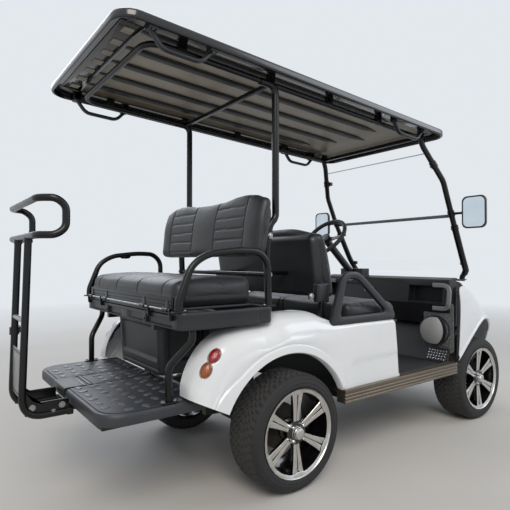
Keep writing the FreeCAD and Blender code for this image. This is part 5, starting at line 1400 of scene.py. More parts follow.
@dataclass
class RearDeck:
    """What stands behind the body: tray, flip seat, armrest hoops, storage box, footrest and grab bar."""

    tray_rear: float = REAR_X - 0.607
    tray_front: float = REAR_X - 0.131
    tray_half: float = 0.589
    tray_low: float = 0.799
    tray_top: float = 0.872
    hinge_x: float = REAR_X - 0.617
    hinge_z: float = 0.8783
    leaf_y: tuple[float, ...] = (-0.478, -0.245, 0.245, 0.478)
    deck_rear: float = REAR_X - 0.890
    deck_front: float = REAR_X - 0.447
    deck_half: float = 0.517
    deck_low: float = 0.452
    deck_top: float = 0.504
    seam_y: tuple[float, float] = (-0.030, 0.170)
    stud_pitch: float = 0.070
    box_rear: float = REAR_X - 0.543
    box_front: float = REAR_X - 0.173
    box_half: float = 0.258
    box_low: float = 0.545

    def tray(self) -> Piece:
        """Tray: rounded rectangles stacked from the underside over the wall's lip down to the floor.

        Between its corner posts the rear face lies 9 mm further in and the wall's top 16 mm lower, each by
        a window in y.
        """
        middle = (self.tray_rear + self.tray_front) / 2
        half_x = (self.tray_front - self.tray_rear) / 2
        low, top = self.tray_low, self.tray_top
        profile = (  # inset, height, share of the recess
            (0.180, low + 0.001, 0), (0.030, low, 0), (0.008, low, 0), (0.004, low + 0.002, 0),
            (0.003, low + 0.007, 0), (0.003, low + 0.012, 1), (0.0025, low + 0.050, 1),
            (0.001, low + 0.055, 0), (0.0, low + 0.060, 0), (0.0, top - 0.006, 0),
            (0.0015, top - 0.0015, 0), (0.005, top, 0), (0.020, top, 0), (0.0235, top - 0.0015, 0),
            (0.025, top - 0.006, 0), (0.027, low + 0.018, 0), (0.033, low + 0.012, 0),
            (0.180, low + 0.012, 0),
        )
        rings = []
        for inset, height, share in profile:
            corner = max(0.036 - inset * 0.4, 0.006)
            ring = round_rect(half_x - inset, self.tray_half - inset, corner, 64, 10)
            across = np.abs(ring[:, 1])
            rear = (ring[:, 0] < -half_x + inset + 0.002) * window(across, 0.036, 0.512, 0.010)
            side = (across > self.tray_half - inset - 0.002) * window(ring[:, 0], 0.142, 0.158, 0.007)
            ring = ring + np.stack([0.009 * share * rear, -0.003 * share * side * np.sign(ring[:, 1])], -1)
            rings.append((ring + (middle, 0.0), height))
        wall = stacked(rings, Plane.XY)
        x, y, z = wall.points.T
        rear_wall = (x < self.tray_rear + 0.030) * window(y, -0.520, 0.520, 0.012)
        wall.points[:, 2] -= 0.016 * rear_wall * smoothstep(low + 0.030, top - 0.008, z)
        patches = [wall]
        x, z = self.hinge_x, self.hinge_z
        patches.append(bar((x, -0.524, z), (x, 0.524, z), 0.0046, 16).painted(1))
        lug = rounded_outline([(x - 0.0085, z + 0.0085, 0.008), (x + 0.0070, z + 0.0085, 0.008),
                               (x + 0.0070, 0.857, 0.003), (x + 0.0210, 0.850, 0.003),
                               (x + 0.0210, 0.836, 0.002), (x - 0.0040, 0.836, 0.008)], 6)
        for y in (-0.524, -0.315, 0.305, 0.514):
            patches.append(slab(lug, Plane.XZ, y, y + 0.010, 0.0015).painted(2))
        strap = rounded_outline([(-0.013, low + 0.006, 0.006), (0.013, low + 0.006, 0.006),
                                 (0.017, 0.852, 0.004), (-0.017, 0.852, 0.004)], 5)
        for y in self.leaf_y[1:3]:
            patches.append(slab(strap + (y, 0.0), Plane.YZ, self.tray_rear - 0.0015, self.tray_rear + 0.012,
                                0.0012))
            bolt = hex_bolt(0.009).turned(about_z(90.0))
            patches.append(bolt.moved((self.tray_rear - 0.0015, y, low + 0.022)).painted(2))
        return make_object("rear_tray_moulding", patches, [MOULDED_ABS, ZINC, POWDER_COAT], "chassis",
                           35, ["rear_tray"])

    def seat_board(self) -> Piece:
        """Board under the rear pad, with a ribbed fascia and the hinge leaves; it flips with the seat."""
        rear, front = self.tray_rear + 0.007, self.tray_rear + 0.402
        board = brick((rear, -0.520, self.tray_top + 0.0006), (front, 0.520, self.tray_top + 0.0126), 0.004)
        face = rear - 0.0085
        outline = [(rear + 0.001, 0.928)]
        for height in (0.928, 0.911, 0.894):
            outline += [(face + 0.001, height), (face, height - 0.002), (face, height - 0.0145),
                        (face + 0.0026, height - 0.0155)]
        outline += [(face + 0.0026, 0.8600), (rear + 0.001, 0.8590)]
        fascia = slab(np.array(outline), Plane.XZ, -0.506, 0.506, 0.0015)
        leaf = rounded_outline([(-0.024, 0.866, 0.003), (0.024, 0.866, 0.003), (0.008, 0.918, 0.006),
                                (-0.008, 0.918, 0.006)], 5)
        patches = [board, fascia]
        for y in self.leaf_y:
            patches.append(slab(leaf + (y, 0.0), Plane.YZ, face - 0.003, face + 0.001, 0.0008).painted(1))
            ends = [(self.hinge_x, y + step, self.hinge_z) for step in (-0.022, 0.022)]
            patches.append(bar(ends[0], ends[1], 0.0088, 18).painted(1))
        return make_object("rear_seat_board", patches, [MOULDED_ABS, POWDER_COAT], "flip_seat",
                           35, ["rear_seat_base"])

    def hoops(self) -> Piece:
        """Armrest hoops: oval tube, wider at its feet, with a moulded pad under the left one."""
        steps = ((-0.600, 0.0), (-0.600, 0.040), (-0.545, 0.188), (-0.468, 0.234), (-0.307, 0.252),
                 (-0.200, 0.247), (-0.150, 0.198), (-0.147, 0.060), (-0.147, 0.0))
        path = bent([(REAR_X + x, 0.561, self.tray_top + z) for x, z in steps], 0.070, 9)
        run = np.concatenate([[0], np.cumsum(np.linalg.norm(np.diff(path, axis=0), axis=1))])
        rear_foot, front_foot = 1 - smoothstep(0.03, 0.20, run), smoothstep(run[-1] - 0.15, run[-1], run)
        radius = 0.0142 + 0.0040 * rear_foot + 0.002 * front_foot
        scale = np.stack([np.full_like(run, 0.0142), radius], -1)
        patches = [sweep(path, round_rect(1.0, 1.0, 0.90, 3, 7), (0, 1, 0), scale=scale)]
        for x in (path[0, 0], path[-1, 0]):
            foot = rounded_box((x - 0.032, 0.547), (x + 0.032, 0.578), 0.01)
            patches.append(slab(foot, Plane.XY, self.tray_top - 0.001, self.tray_top + 0.006, 0.002))
            bolt = hex_bolt(0.011).turned(Y_TO_Z)
            shift = 0.025 if x < -0.9 else -0.025
            patches.append(bolt.moved((x + shift, 0.5625, self.tray_top + 0.006)).painted(1))
        both = patches + [patch.mirrored() for patch in patches]
        pad = lathe([(0.0, -0.034), (0.008, -0.032), (0.014, -0.022), (0.0155, 0.0), (0.014, 0.022),
                     (0.008, 0.032), (0.0, 0.034)], 24)
        pad = pad.turned(Y_TO_X)
        pad = replace(pad, points=pad.points * (1.0, 0.85, 0.9))
        both.append(pad.moved((REAR_X - 0.385, 0.561, 1.104)))
        return make_object("armrest_hoop_tubes", both, [POWDER_COAT, ZINC], "chassis", 35,
                           ["armrest_hoops"])

    def storage_box(self) -> Piece:
        """Storage box: rounded rectangles that narrow downwards, with a panel pressed in on each face."""
        low, top, levels = self.box_low, self.tray_low, 72
        heights = np.append([low, low + 0.0015, low + 0.005, low + 0.011],
                            np.linspace(low + 0.016, top, levels))
        insets = np.append([0.012, 0.005, 0.0015, 0.0], np.zeros(levels))
        rings = []
        for height, inset in zip(heights, insets):
            narrow = 0.014 * (top - height) / (top - low) + inset
            rear, front = self.box_rear + narrow, self.box_front - inset
            half_x, half_y = (front - rear) / 2, self.box_half - narrow
            ring = round_rect(half_x, half_y, 0.030, 36, 8)
            rear_face = (ring[:, 0] < -half_x + 0.003) * window(ring[:, 1], -0.212, 0.212, 0.016)
            side_face = (np.abs(ring[:, 1]) > half_y - 0.003) * window(ring[:, 0], -0.140, 0.140, 0.016)
            pressed = float(window(np.array(height), 0.604, 0.776, 0.016))
            ridge = 0.0022 * float(window(np.array(height), 0.566, 0.576, 0.003))
            sink = 0.011 * pressed
            moved = np.stack([sink * rear_face + ridge * (ring[:, 0] < -half_x + 0.003),
                              -np.sign(ring[:, 1]) * (sink * side_face * 0.7)], -1)
            rings.append((ring + moved + ((front + rear) / 2, 0.0), float(height)))
        lip = frame_ring(round_rect(0.186, 0.262, 0.03, 10), round_rect(0.176, 0.252, 0.026, 10), Plane.XY,
                         top - 0.016, top - 0.001, 0.003)
        patches = [stacked(rings, Plane.XY), lip.moved(((self.box_rear + self.box_front) / 2, 0, 0))]
        return make_object("storage_box_moulding", patches, [MOULDED_ABS], "chassis", 30,
                           ["storage_box"])

    def studs(self) -> Patch:
        """Raised bars of the footrest's tread, alternately along and across: stacked ellipses, repeated."""
        around = np.linspace(0, 2 * math.pi, 14, endpoint=False)
        oval = np.stack([np.sign(np.cos(around)) * np.abs(np.cos(around)) ** 0.75 * 0.0220,
                         np.sin(around) * 0.0128], -1)
        bar = stacked([(oval, -0.0012), (oval * 0.97, 0.0008), (oval * 0.86, 0.0026), (oval * 0.5, 0.0033)],
                      Plane.XY)
        xs = np.arange(self.deck_rear + 0.050, self.deck_front - 0.020, self.stud_pitch)
        ys = np.concatenate([np.arange(-0.476, self.seam_y[0] - 0.020, self.stud_pitch),
                             (0.015, 0.070, 0.125), np.arange(0.210, 0.490, self.stud_pitch)])
        column, row = np.meshgrid(np.arange(len(xs)), np.arange(len(ys)), indexing="ij")
        column, row = column.ravel(), row.ravel()
        x, y = xs[column], ys[row]
        strip = (y > self.seam_y[0]) & (y < self.seam_y[1]) & (x < self.deck_rear + 0.140)
        corner = (np.abs(y) > 0.42) & (x < self.deck_rear + 0.080)
        foot = (np.abs(np.abs(y) - 0.492) < 0.035) & (np.abs(x - REAR_X + 0.610) < 0.045)
        keep = ~(strip | corner | foot)
        spots = np.stack([x, y, np.full_like(x, self.deck_top)], -1)[keep]
        angle = np.radians(np.where((column + row) % 2, 12.0, 102.0))[keep]
        zero, one = np.zeros_like(angle), np.ones_like(angle)
        turns = np.array([[np.cos(angle), -np.sin(angle), zero], [np.sin(angle), np.cos(angle), zero],
                          [zero, zero, one]]).transpose(2, 0, 1)
        return bar.scattered(turns, spots)

    def footrest(self) -> Piece:
        """Footrest: a deep moulding with three studded sections, a rear flap and a bracket in its slot."""
        rear, front, half = self.deck_rear, self.deck_front, self.deck_half
        outline = rounded_outline([(rear, -half, 0.118), (front, -half, 0.012), (front, half, 0.012),
                                   (rear, half, 0.118)], 16)
        profile = ((0.016, self.deck_low), (0.005, self.deck_low + 0.0005), (0.001, self.deck_low + 0.004),
                   (0.0, self.deck_low + 0.010), (0.0, self.deck_low + 0.033),
                   (0.0015, self.deck_low + 0.041), (0.006, self.deck_low + 0.0465),
                   (0.013, self.deck_low + 0.0485), (0.020, self.deck_low + 0.0488))
        patches = [stacked([(inward(outline, inset), height) for inset, height in profile], Plane.XY)]
        seam_low, seam_high = self.seam_y
        sections = (
            [(rear + 0.018, -half + 0.018, 0.100), (front - 0.012, -half + 0.018, 0.008),
             (front - 0.012, seam_low - 0.0035, 0.002), (rear + 0.018, seam_low - 0.0035, 0.002)],
            [(rear + 0.128, seam_low + 0.0035, 0.002), (front - 0.012, seam_low + 0.0035, 0.002),
             (front - 0.012, seam_high - 0.0035, 0.002), (rear + 0.128, seam_high - 0.0035, 0.002)],
            [(rear + 0.018, seam_high + 0.0035, 0.002), (front - 0.012, seam_high + 0.0035, 0.002),
             (front - 0.012, half - 0.018, 0.008), (rear + 0.018, half - 0.018, 0.100)],
        )
        for corners in sections:
            patches.append(slab(rounded_outline(corners, 10), Plane.XY, self.deck_low + 0.046,
                                self.deck_top, 0.0018))
        patches.append(self.studs().painted(4))
        flap = np.array([(rear + 0.080, 0.5015), (rear + 0.080, 0.5062), (rear + 0.006, 0.5062),
                         (rear - 0.0012, 0.5040), (rear - 0.0040, 0.4980), (rear - 0.0040, 0.4760),
                         (rear - 0.0005, 0.4760), (rear + 0.0010, 0.4960), (rear + 0.0060, 0.5015)])
        patches.append(slab(flap, Plane.XZ, seam_low + 0.006, seam_high - 0.006, 0.0012).painted(1))
        for low in (rear + 0.083, rear + 0.110):
            patches.append(brick((low, seam_low + 0.004, self.deck_top - 0.004),
                                 (low + 0.014, seam_high - 0.004, self.deck_top + 0.0012),
                                 0.0015).painted(2))
        bolt = hex_bolt(0.016).turned(Y_TO_Z)
        for side in (-1, 1):
            x, y = REAR_X - 0.610, side * 0.492
            plate = rounded_box((x - 0.034, y - 0.021), (x + 0.034, y + 0.021), 0.01)
            patches.append(slab(plate, Plane.XY, self.deck_top - 0.001, self.deck_top + 0.005,
                                0.0015).painted(2))
            for shift in (-0.026, 0.026):
                patches.append(bolt.moved((x + shift, y, self.deck_top + 0.005)).painted(3))
        finishes = [GRAINED_POLYPROPYLENE, MOULDED_ABS, POWDER_COAT, ZINC, WORN_POLYPROPYLENE]
        return make_object("footrest_moulding", patches, finishes, "chassis", 32,
                           ["footrest_deck"])

    def grab_bar(self) -> Piece:
        """Grab bar: bent uprights, bow-shaped handle, rung, clamp, plate and the tongue in its receiver."""
        top_x, foot_x, front_x, out = REAR_X - 1.060, REAR_X - 1.083, REAR_X - 0.880, 0.110
        upper, lower, low = 1.325, 1.180, 0.430
        upright = tube(bent([(top_x, out, lower), (foot_x, out, low), (front_x, out, low)], 0.090, 12),
                       0.015, 18)
        bow = bent([(top_x, -0.001, upper), (top_x, 0.270, upper), (top_x + 0.060, 0.310, upper),
                    (top_x + 0.098, 0.310, upper - 0.030), (top_x + 0.098, 0.310, lower + 0.030),
                    (top_x + 0.060, 0.310, lower), (top_x, 0.270, lower), (top_x, -0.001, lower)], 0.060,
                   10)
        outline = rounded_outline([(foot_x + 0.012, 0.436, 0.006), (REAR_X - 0.896, 0.416, 0.006),
                                   (REAR_X - 0.896, 0.486, 0.01), (foot_x + 0.050, 0.486, 0.02),
                                   (foot_x + 0.012, 0.540, 0.01)], 6)
        plate = slab(outline, Plane.XZ, out - 0.004, out + 0.004, 0.0015)
        sides = [upright, tube(bow, 0.015, 18), plate]
        bolt = hex_bolt(0.017)
        for x, z in ((foot_x + 0.040, 0.468), (REAR_X - 0.925, 0.462), (REAR_X - 0.960, 0.436)):
            sides.append(bolt.moved((x, out + 0.004, z)).painted(1))
        sides.append(tube(np.array([(top_x, out, lower - 0.026), (top_x, out, lower - 0.013)]), 0.0175, 18))
        patches = sides + [patch.mirrored() for patch in sides]
        patches.append(brick((front_x - 0.025, -out - 0.015, low - 0.015),
                             (front_x, out + 0.015, low + 0.015), 0.003))
        patches.append(brick((front_x - 0.010, -0.0217, 0.4133), (REAR_X - 0.640, 0.0217, 0.4437), 0.003))
        patches.append(bar((REAR_X - 1.072, -out, 0.830), (REAR_X - 1.072, out, 0.830), 0.011,
                           16).painted(1))
        # Clamp with its knob on the left upright, and the light plate between the uprights
        clamp_x = REAR_X - 1.0735
        patches.append(bar((clamp_x, out, 0.748), (clamp_x, out, 0.782), 0.0205, 20))
        patches.append(brick((clamp_x - 0.009, out + 0.010, 0.752), (clamp_x + 0.034, out + 0.026, 0.778),
                             0.004))
        knob = lathe([(0.0, 0.0), (0.006, 0.0), (0.006, 0.014), (0.017, 0.016), (0.0195, 0.020),
                      (0.0195, 0.032), (0.016, 0.037), (0.0, 0.038)], 24)
        patches.append(knob.moved((clamp_x + 0.018, out + 0.026, 0.765)))
        panel = rounded_box((-out + 0.004, 0.500), (out - 0.004, 0.702), 0.012, 6)
        patches.append(slab(panel, Plane.YZ, REAR_X - 1.0810, REAR_X - 1.0770, 0.0012).painted(2))
        for height in (0.512, 0.690):
            patches.append(bar((REAR_X - 1.079, -out, height), (REAR_X - 1.079, out, height), 0.0055, 12))
        return make_object("grab_bar_tubes", patches, [POWDER_COAT, ZINC, GREY_PLATE], "chassis",
                           35, ["grab_bar"])

    def build(self) -> list[Piece]:
        """Build every piece."""
        return [self.tray(), self.seat_board(), self.hoops(), self.storage_box(), self.footrest(),
                self.grab_bar()]


# Lamps


@dataclass
class Lamps:
    """Oval tail lamps on the rounded corners of the rear body, and the two headlights in the nose."""

    around: tuple[float, float] = (133.6, 140.4)
    reach: float = 0.0335
    slim: float = 0.68

    def seat(self, degrees: float) -> tuple[Array, Array]:
        """Point half way round the rear body's shoulder, and the frame (across, out, up) there."""
        rear = RearBody()
        angle = np.radians(np.array([degrees, degrees + 1.0]))
        outer = rear.reach(angle)
        depth = rear.fender_round * (1 - math.sqrt(0.5))
        ray = np.stack([np.cos(angle), 0 * angle, np.sin(angle)], -1)
        crest = np.array([rear.centre[0], 0.0, rear.centre[1]]) + ray * (outer - depth)[:, None]
        along = crest[0] - crest[1]
        along /= np.linalg.norm(along)
        square = np.cross(along, (0.0, 1.0, 0.0))
        square = square if square @ ray[0] > 0 else -square
        out = (square + np.array([0.0, 1.0, 0.0])) * math.sqrt(0.5)
        point = crest[0] + np.array([0.0, rear.side_y - depth, 0.0])
        return point, np.stack([np.cross(out, along), out, along], 1)

    def tail(self) -> Piece:
        """Red lens over an amber one, each a dome on a dark rim, squeezed across to an oval."""
        rim = lathe([(0.0, -0.016), (self.reach + 0.0035, -0.016), (self.reach + 0.0040, 0.001),
                     (self.reach + 0.0028, 0.0030), (self.reach + 0.0004, 0.0034), (self.reach, 0.0015),
                     (0.0, 0.001)], 48)
        turn = np.linspace(0, math.pi / 2, 9)
        dome = lathe([(0.0, 0.0), (self.reach - 0.0006, 0.0)]
                     + [((self.reach - 0.0006) * math.cos(a) ** 0.8,
                         0.002 + 0.0125 * math.sin(a)) for a in turn[:-1]]
                     + [(0.0, 0.0145)], 48)
        squeeze = np.diag([self.slim, 1.0, 1.0])
        patches = []
        for number, degrees in enumerate(self.around):
            point, axes = self.seat(degrees)
            for patch, slot in ((rim, 0), (dome, 1 + number)):
                patches.append(patch.turned(axes @ squeeze).moved(point).painted(slot))
        patches += [patch.mirrored() for patch in patches]
        return make_object("tail_lamp_lenses", patches,
                           [MOULDED_ABS, lens("red_lens", "#d5141e", "#8c070e"),
                            lens("amber_lens", "#cc6a1c", "#8e4610")], "chassis", 35,
                           ["tail_lamps"])

    def head(self) -> Piece:
        """Headlights: a bright bezel and a fluted lens in front of it."""
        nose, y, z = 1.535, 0.290, 0.4625
        at = np.array((y, z))
        bezel = frame_ring(round_rect(0.0800, 0.0275, 0.016, 8) + at,
                           round_rect(0.0735, 0.0210, 0.012, 8) + at, Plane.YZ, nose - 0.004, nose + 0.007,
                           0.0025)
        rings = [(round_rect(0.0735 - inset, 0.0210 - inset, 0.012, 8) + at, nose + rise)
                 for inset, rise in ((0.0, -0.003), (0.0, 0.0035), (0.002, 0.0062), (0.006, 0.0082),
                                     (0.016, 0.0094))]
        patches = [bezel.painted(0), stacked(rings, Plane.YZ).painted(1)]
        patches += [patch.mirrored() for patch in patches]
        return make_object("headlight_lenses", patches, [CHROME, lens("clear_lens", "#dfe4e8", "#8f969d")],
                           "chassis", 35, ["headlights"])

    def build(self) -> list[Piece]:
        """Build the lamps."""
        return [self.tail(), self.head()]


# Roof and its supports


@dataclass
class Roof:
    """Pitched roof: a glossy moulded top, a satin ceiling whose ribs are painted dark to stand for the
    shade in its channels, and the bent tube frame under it.
    """

    rear_x: float = REAR_X - 0.843
    rear_z: float = 2.004
    pitch: float = 2.97
    length: float = FRONT_X - 0.279 - (REAR_X - 0.843)
    half: float = 0.545
    corner: float = 0.095
    rail_y: float = 0.438
    rail_radius: float = 0.014
    ceiling: float = 0.0575

    def placed(self, patches: Sequence[Patch]) -> list[Patch]:
        """Carry surfaces from the roof's own level to its place, pitched down towards the front."""
        return [patch.turned(about_y(self.pitch)).moved((self.rear_x, 0.0,
                                                         self.rear_z)) for patch in patches]

    def ring(self, inset: float) -> Array:
        """Outline of the roof, drawn in by an inset."""
        outline = round_rect(self.length / 2 - inset, self.half - inset,
                             max(self.corner - inset * 0.55, 0.02), 14, 12)
        return outline + (self.length / 2, 0.0)

    def skin(self) -> Piece:
        """Roof moulding: outlines stacked from the ceiling out over the rim to the crown."""
        profile = (  # inset, height, material of the band that follows
            (0.500, 0.0580, 1), (0.220, 0.0575, 1), (0.100, 0.0550, 1), (0.084, 0.0500, 1),
            (0.074, 0.0380, 0), (0.062, 0.0335, 0), (0.020, 0.0325, 0), (0.014, 0.0300, 0),
            (0.012, 0.0200, 0), (0.012, 0.0040, 0), (0.010, 0.0010, 0), (0.007, 0.0000, 0),
            (0.003, 0.0015, 0), (0.0005, 0.0050, 0), (0.0, 0.0110, 0), (0.0, 0.0270, 0), (0.002, 0.0345, 0),
            (0.007, 0.0390, 0), (0.015, 0.0412, 0), (0.052, 0.0418, 0), (0.056, 0.0430, 0),
            (0.061, 0.0480, 0), (0.067, 0.0570, 0), (0.075, 0.0630, 0), (0.090, 0.0662, 0),
            (0.250, 0.0672, 0), (0.500, 0.0675, 0),
        )
        rings = [(self.ring(inset), height) for inset, height, _ in profile]
        patches = [stacked(rings, Plane.XY, [slot for _, _, slot in profile[:-1]])]
        patches[0] = replace(patches[0], slot=patches[0].slot[:-2] + [1, 0])
        # Ribs under the ceiling: raised bars in the dark cabin plastic, painted shade that stands for the
        # shadow in the ceiling's pressed channels
        section = round_rect(1.0, 1.0, 0.7, 3, 6)
        for index in range(-2, 3):
            y = index * 0.180
            start, stop = 0.150, self.length - 0.200 - 0.10 * abs(index)
            x = np.linspace(start, stop, 60)
            line = np.stack([x, np.full_like(x, y), np.full_like(x, self.ceiling - 0.002)], -1)
            full = window(x, start, stop, 0.12)
            scale = np.stack([0.0012 + 0.0090 * full, 0.0100 + 0.0170 * full], -1)
            patches.append(sweep(line, section, (0, 0, 1), scale=scale).painted(2))
            swage = round_rect(0.66, 0.026, 0.024, 12, 8) + (self.length / 2, y)
            patches.append(slab(swage, Plane.XY, 0.0655, 0.0702, 0.0030).painted(0))
        patches.append(brick((0.048, -0.440, 0.0300), (0.150, 0.440, 0.0345), 0.0015).painted(0))
        for side in (-1, 1):
            low, high = sorted((side * 0.446, side * 0.500))
            patches.append(brick((0.140, low, 0.0300), (self.length - 0.160, high, 0.0345),
                                 0.0015).painted(0))
        for index in range(-3, 4):
            y = index * 0.125
            patches.append(brick((0.078, y - 0.024, 0.0262), (0.124, y + 0.024, 0.0312), 0.002).painted(3))
        finishes = [GLOSS_ROOF, SATIN_ROOF, CABIN_PLASTIC, PALE_PAD]
        return make_object("roof_moulding", self.placed(patches), finishes, "chassis", 35,
                           ["roof"])

    def frame_tubes(self) -> Piece:
        """Tube frame: one tube bent round behind, two flat cross bars and blocks up to the flange."""
        y, z = self.rail_y, -self.rail_radius
        front = self.length - 0.150
        line = bent([(front, y, z), (0.165, y, z), (0.165, -y, z), (front, -y, z)], 0.095, 14)
        patches = [tube(line, self.rail_radius, 16)]
        for low, high in ((0.800, 0.820), (self.length - 0.180, self.length - 0.160)):
            patches.append(brick((low, -y, -0.024), (high, y, -0.002), 0.003))
        for side in (-1, 1):
            for x in (0.30, 0.79, 1.20, 1.62, self.length - 0.175):
                patches.append(brick((x, side * y - 0.014, -0.010), (x + 0.040, side * y + 0.014, 0.0335),
                                     0.003))
            for x in (0.150, 0.430, self.length - 0.520, self.length - 0.240):
                low, high = sorted((side * 0.484, side * 0.534))
                patches.append(brick((x - 0.018, low, -0.001), (x + 0.018, high, 0.0330), 0.003))
                bolt = hex_bolt(0.009).turned(Y_TO_MINUS_Z)
                patches.append(bolt.moved((x, side * 0.524, -0.0062)).painted(1))
        return make_object("roof_frame_tubes", self.placed(patches), [POWDER_COAT, ZINC], "chassis",
                           35, ["roof_rails", "roof_bars"])

    def handles(self) -> Piece:
        """Moulded grips: an oval bar bent down from two feet, at both ends of each side."""
        y = self.half - 0.045
        patches = []
        for start in (0.150, self.length - 0.520):
            line = bent([(start, y, -0.003), (start + 0.050, y, -0.062), (start + 0.230, y, -0.062),
                         (start + 0.280, y, -0.003)], 0.030, 9)
            patches.append(sweep(line, round_rect(0.0130, 0.0092, 0.0090, 3, 6), (0, 1, 0)))
            for x in (start, start + 0.280):
                patches.append(brick((x - 0.019, y - 0.016, -0.008), (x + 0.019, y + 0.034, 0.0330), 0.003))
        patches += [patch.mirrored() for patch in patches]
        return make_object("roof_grips", self.placed(patches), [MOULDED_ABS], "chassis", 35,
                           ["roof_handles"])

    def struts(self) -> Piece:
        """Rear struts, cranked behind the seat and bent in under the rails, with ties and brackets."""
        steps = ((-0.049, 0.680), (-0.049, 0.876), (-0.061, 1.125), (-0.041, 1.255), (-0.003, 1.290),
                 (-0.003, 1.944), (-0.100, 1.9505))
        left = [tube(bent([(REAR_X + x, self.rail_y, z) for x, z in steps], 0.058, 10), 0.018, 20)]
        foot = rounded_box((REAR_X - 0.084, 0.412), (REAR_X - 0.014, 0.462), 0.01)
        left.append(slab(foot, Plane.XY, 0.680, 0.687, 0.002))
        ties = ((REAR_X - 0.056, 1.010), (REAR_X - 0.052, 1.200))
        for x, z in ties:
            left.append(tube(np.array([(x, self.rail_y - 0.014, z), (x, self.rail_y, z),
                                       (x, self.rail_y + 0.020, z)]), 0.0150, 18))
            left.append(hex_bolt(0.018).moved((x, self.rail_y + 0.020, z)).painted(1))
        left.append(brick((REAR_X - 0.100, 0.220, 1.190), (REAR_X - 0.052, 0.250, 1.210), 0.002))
        left.append(brick((REAR_X - 0.056, 0.220, 1.000), (-0.190, 0.250, 1.020), 0.002))
        patches = left + [patch.mirrored() for patch in left]
        for x, z in ties:
            patches.append(bar((x, -self.rail_y, z), (x, self.rail_y, z), 0.012, 16))
        return make_object("rear_strut_tubes", patches, [POWDER_COAT, ZINC], "chassis", 35,
                           ["rear_struts"])

    def pillar(self) -> Array:
        """Middle line of the left front pillar, as the frame has it."""
        steps = ((0.012, 0.470, 0.934), (0.012, 0.470, 0.965), (0.015, 0.500, 1.000),
                 (-0.047, 0.510, 1.080), (-0.215, 0.522, 1.390), (-0.312, 0.523, 1.600),
                 (-0.420, 0.444, 1.829), (-0.450, 0.440, 1.895))
        return bent([(FRONT_X + x, y, z) for x, y, z in steps], 0.150, 12)

    def on_pillar(self, heights: Sequence[float]) -> Array:
        """Points of the pillar's line at heights."""
        line = self.pillar()
        return np.stack([np.interp(heights, line[:, 2], line[:, axis]) for axis in range(3)], -1)

    def fittings(self) -> Piece:
        """Sleeves and clips on the pillars, the windshield's joint strip, and collars under the roof."""
        patches = [
            tube(self.on_pillar(np.linspace(0.985, 1.285, 14)), 0.0212, 20),
            tube(self.on_pillar(np.linspace(1.288, 1.312, 4)), 0.0240, 20),
            tube(self.on_pillar(np.linspace(1.690, 1.728, 4)), 0.0225, 20),
        ]
        for height in (1.709, 1.300, 1.060):
            x, y, z = self.on_pillar([height])[0]
            patches.append(brick((x + 0.008, y - 0.034, z - 0.014), (x + 0.036, y + 0.004, z + 0.014),
                                 0.004))
            bolt = hex_bolt(0.013).turned(Y_TO_X)
            patches.append(bolt.moved((x + 0.036, y - 0.020, z)).painted(1))
        foot = disc(0.030, 0.006, 0.002).turned(Y_TO_Z)
        patches.append(foot.moved((FRONT_X + 0.012, 0.470, 0.9395)))
        patches += [patch.mirrored() for patch in patches]
        # Joint across the windshield where its upper half folds down
        slope = np.array((-0.481, 0.0, 0.877))
        joint_x, joint_z = FRONT_X - 0.1855, 1.3800
        line = np.array([(joint_x, y, joint_z) for y in (-0.518, -0.2, 0.2, 0.518)])
        patches.append(sweep(line, round_rect(0.0115, 0.0042, 0.003, 3, 4), slope).painted(2))
        return make_object("pillar_fittings", patches, [POWDER_COAT, ZINC, SMOKED_STRIP], "chassis",
                           35)

    def build(self) -> list[Piece]:
        """Build the roof, its frame and the fittings."""
        return [self.skin(), self.frame_tubes(), self.handles(), self.struts(), self.fittings()]


# Cabin


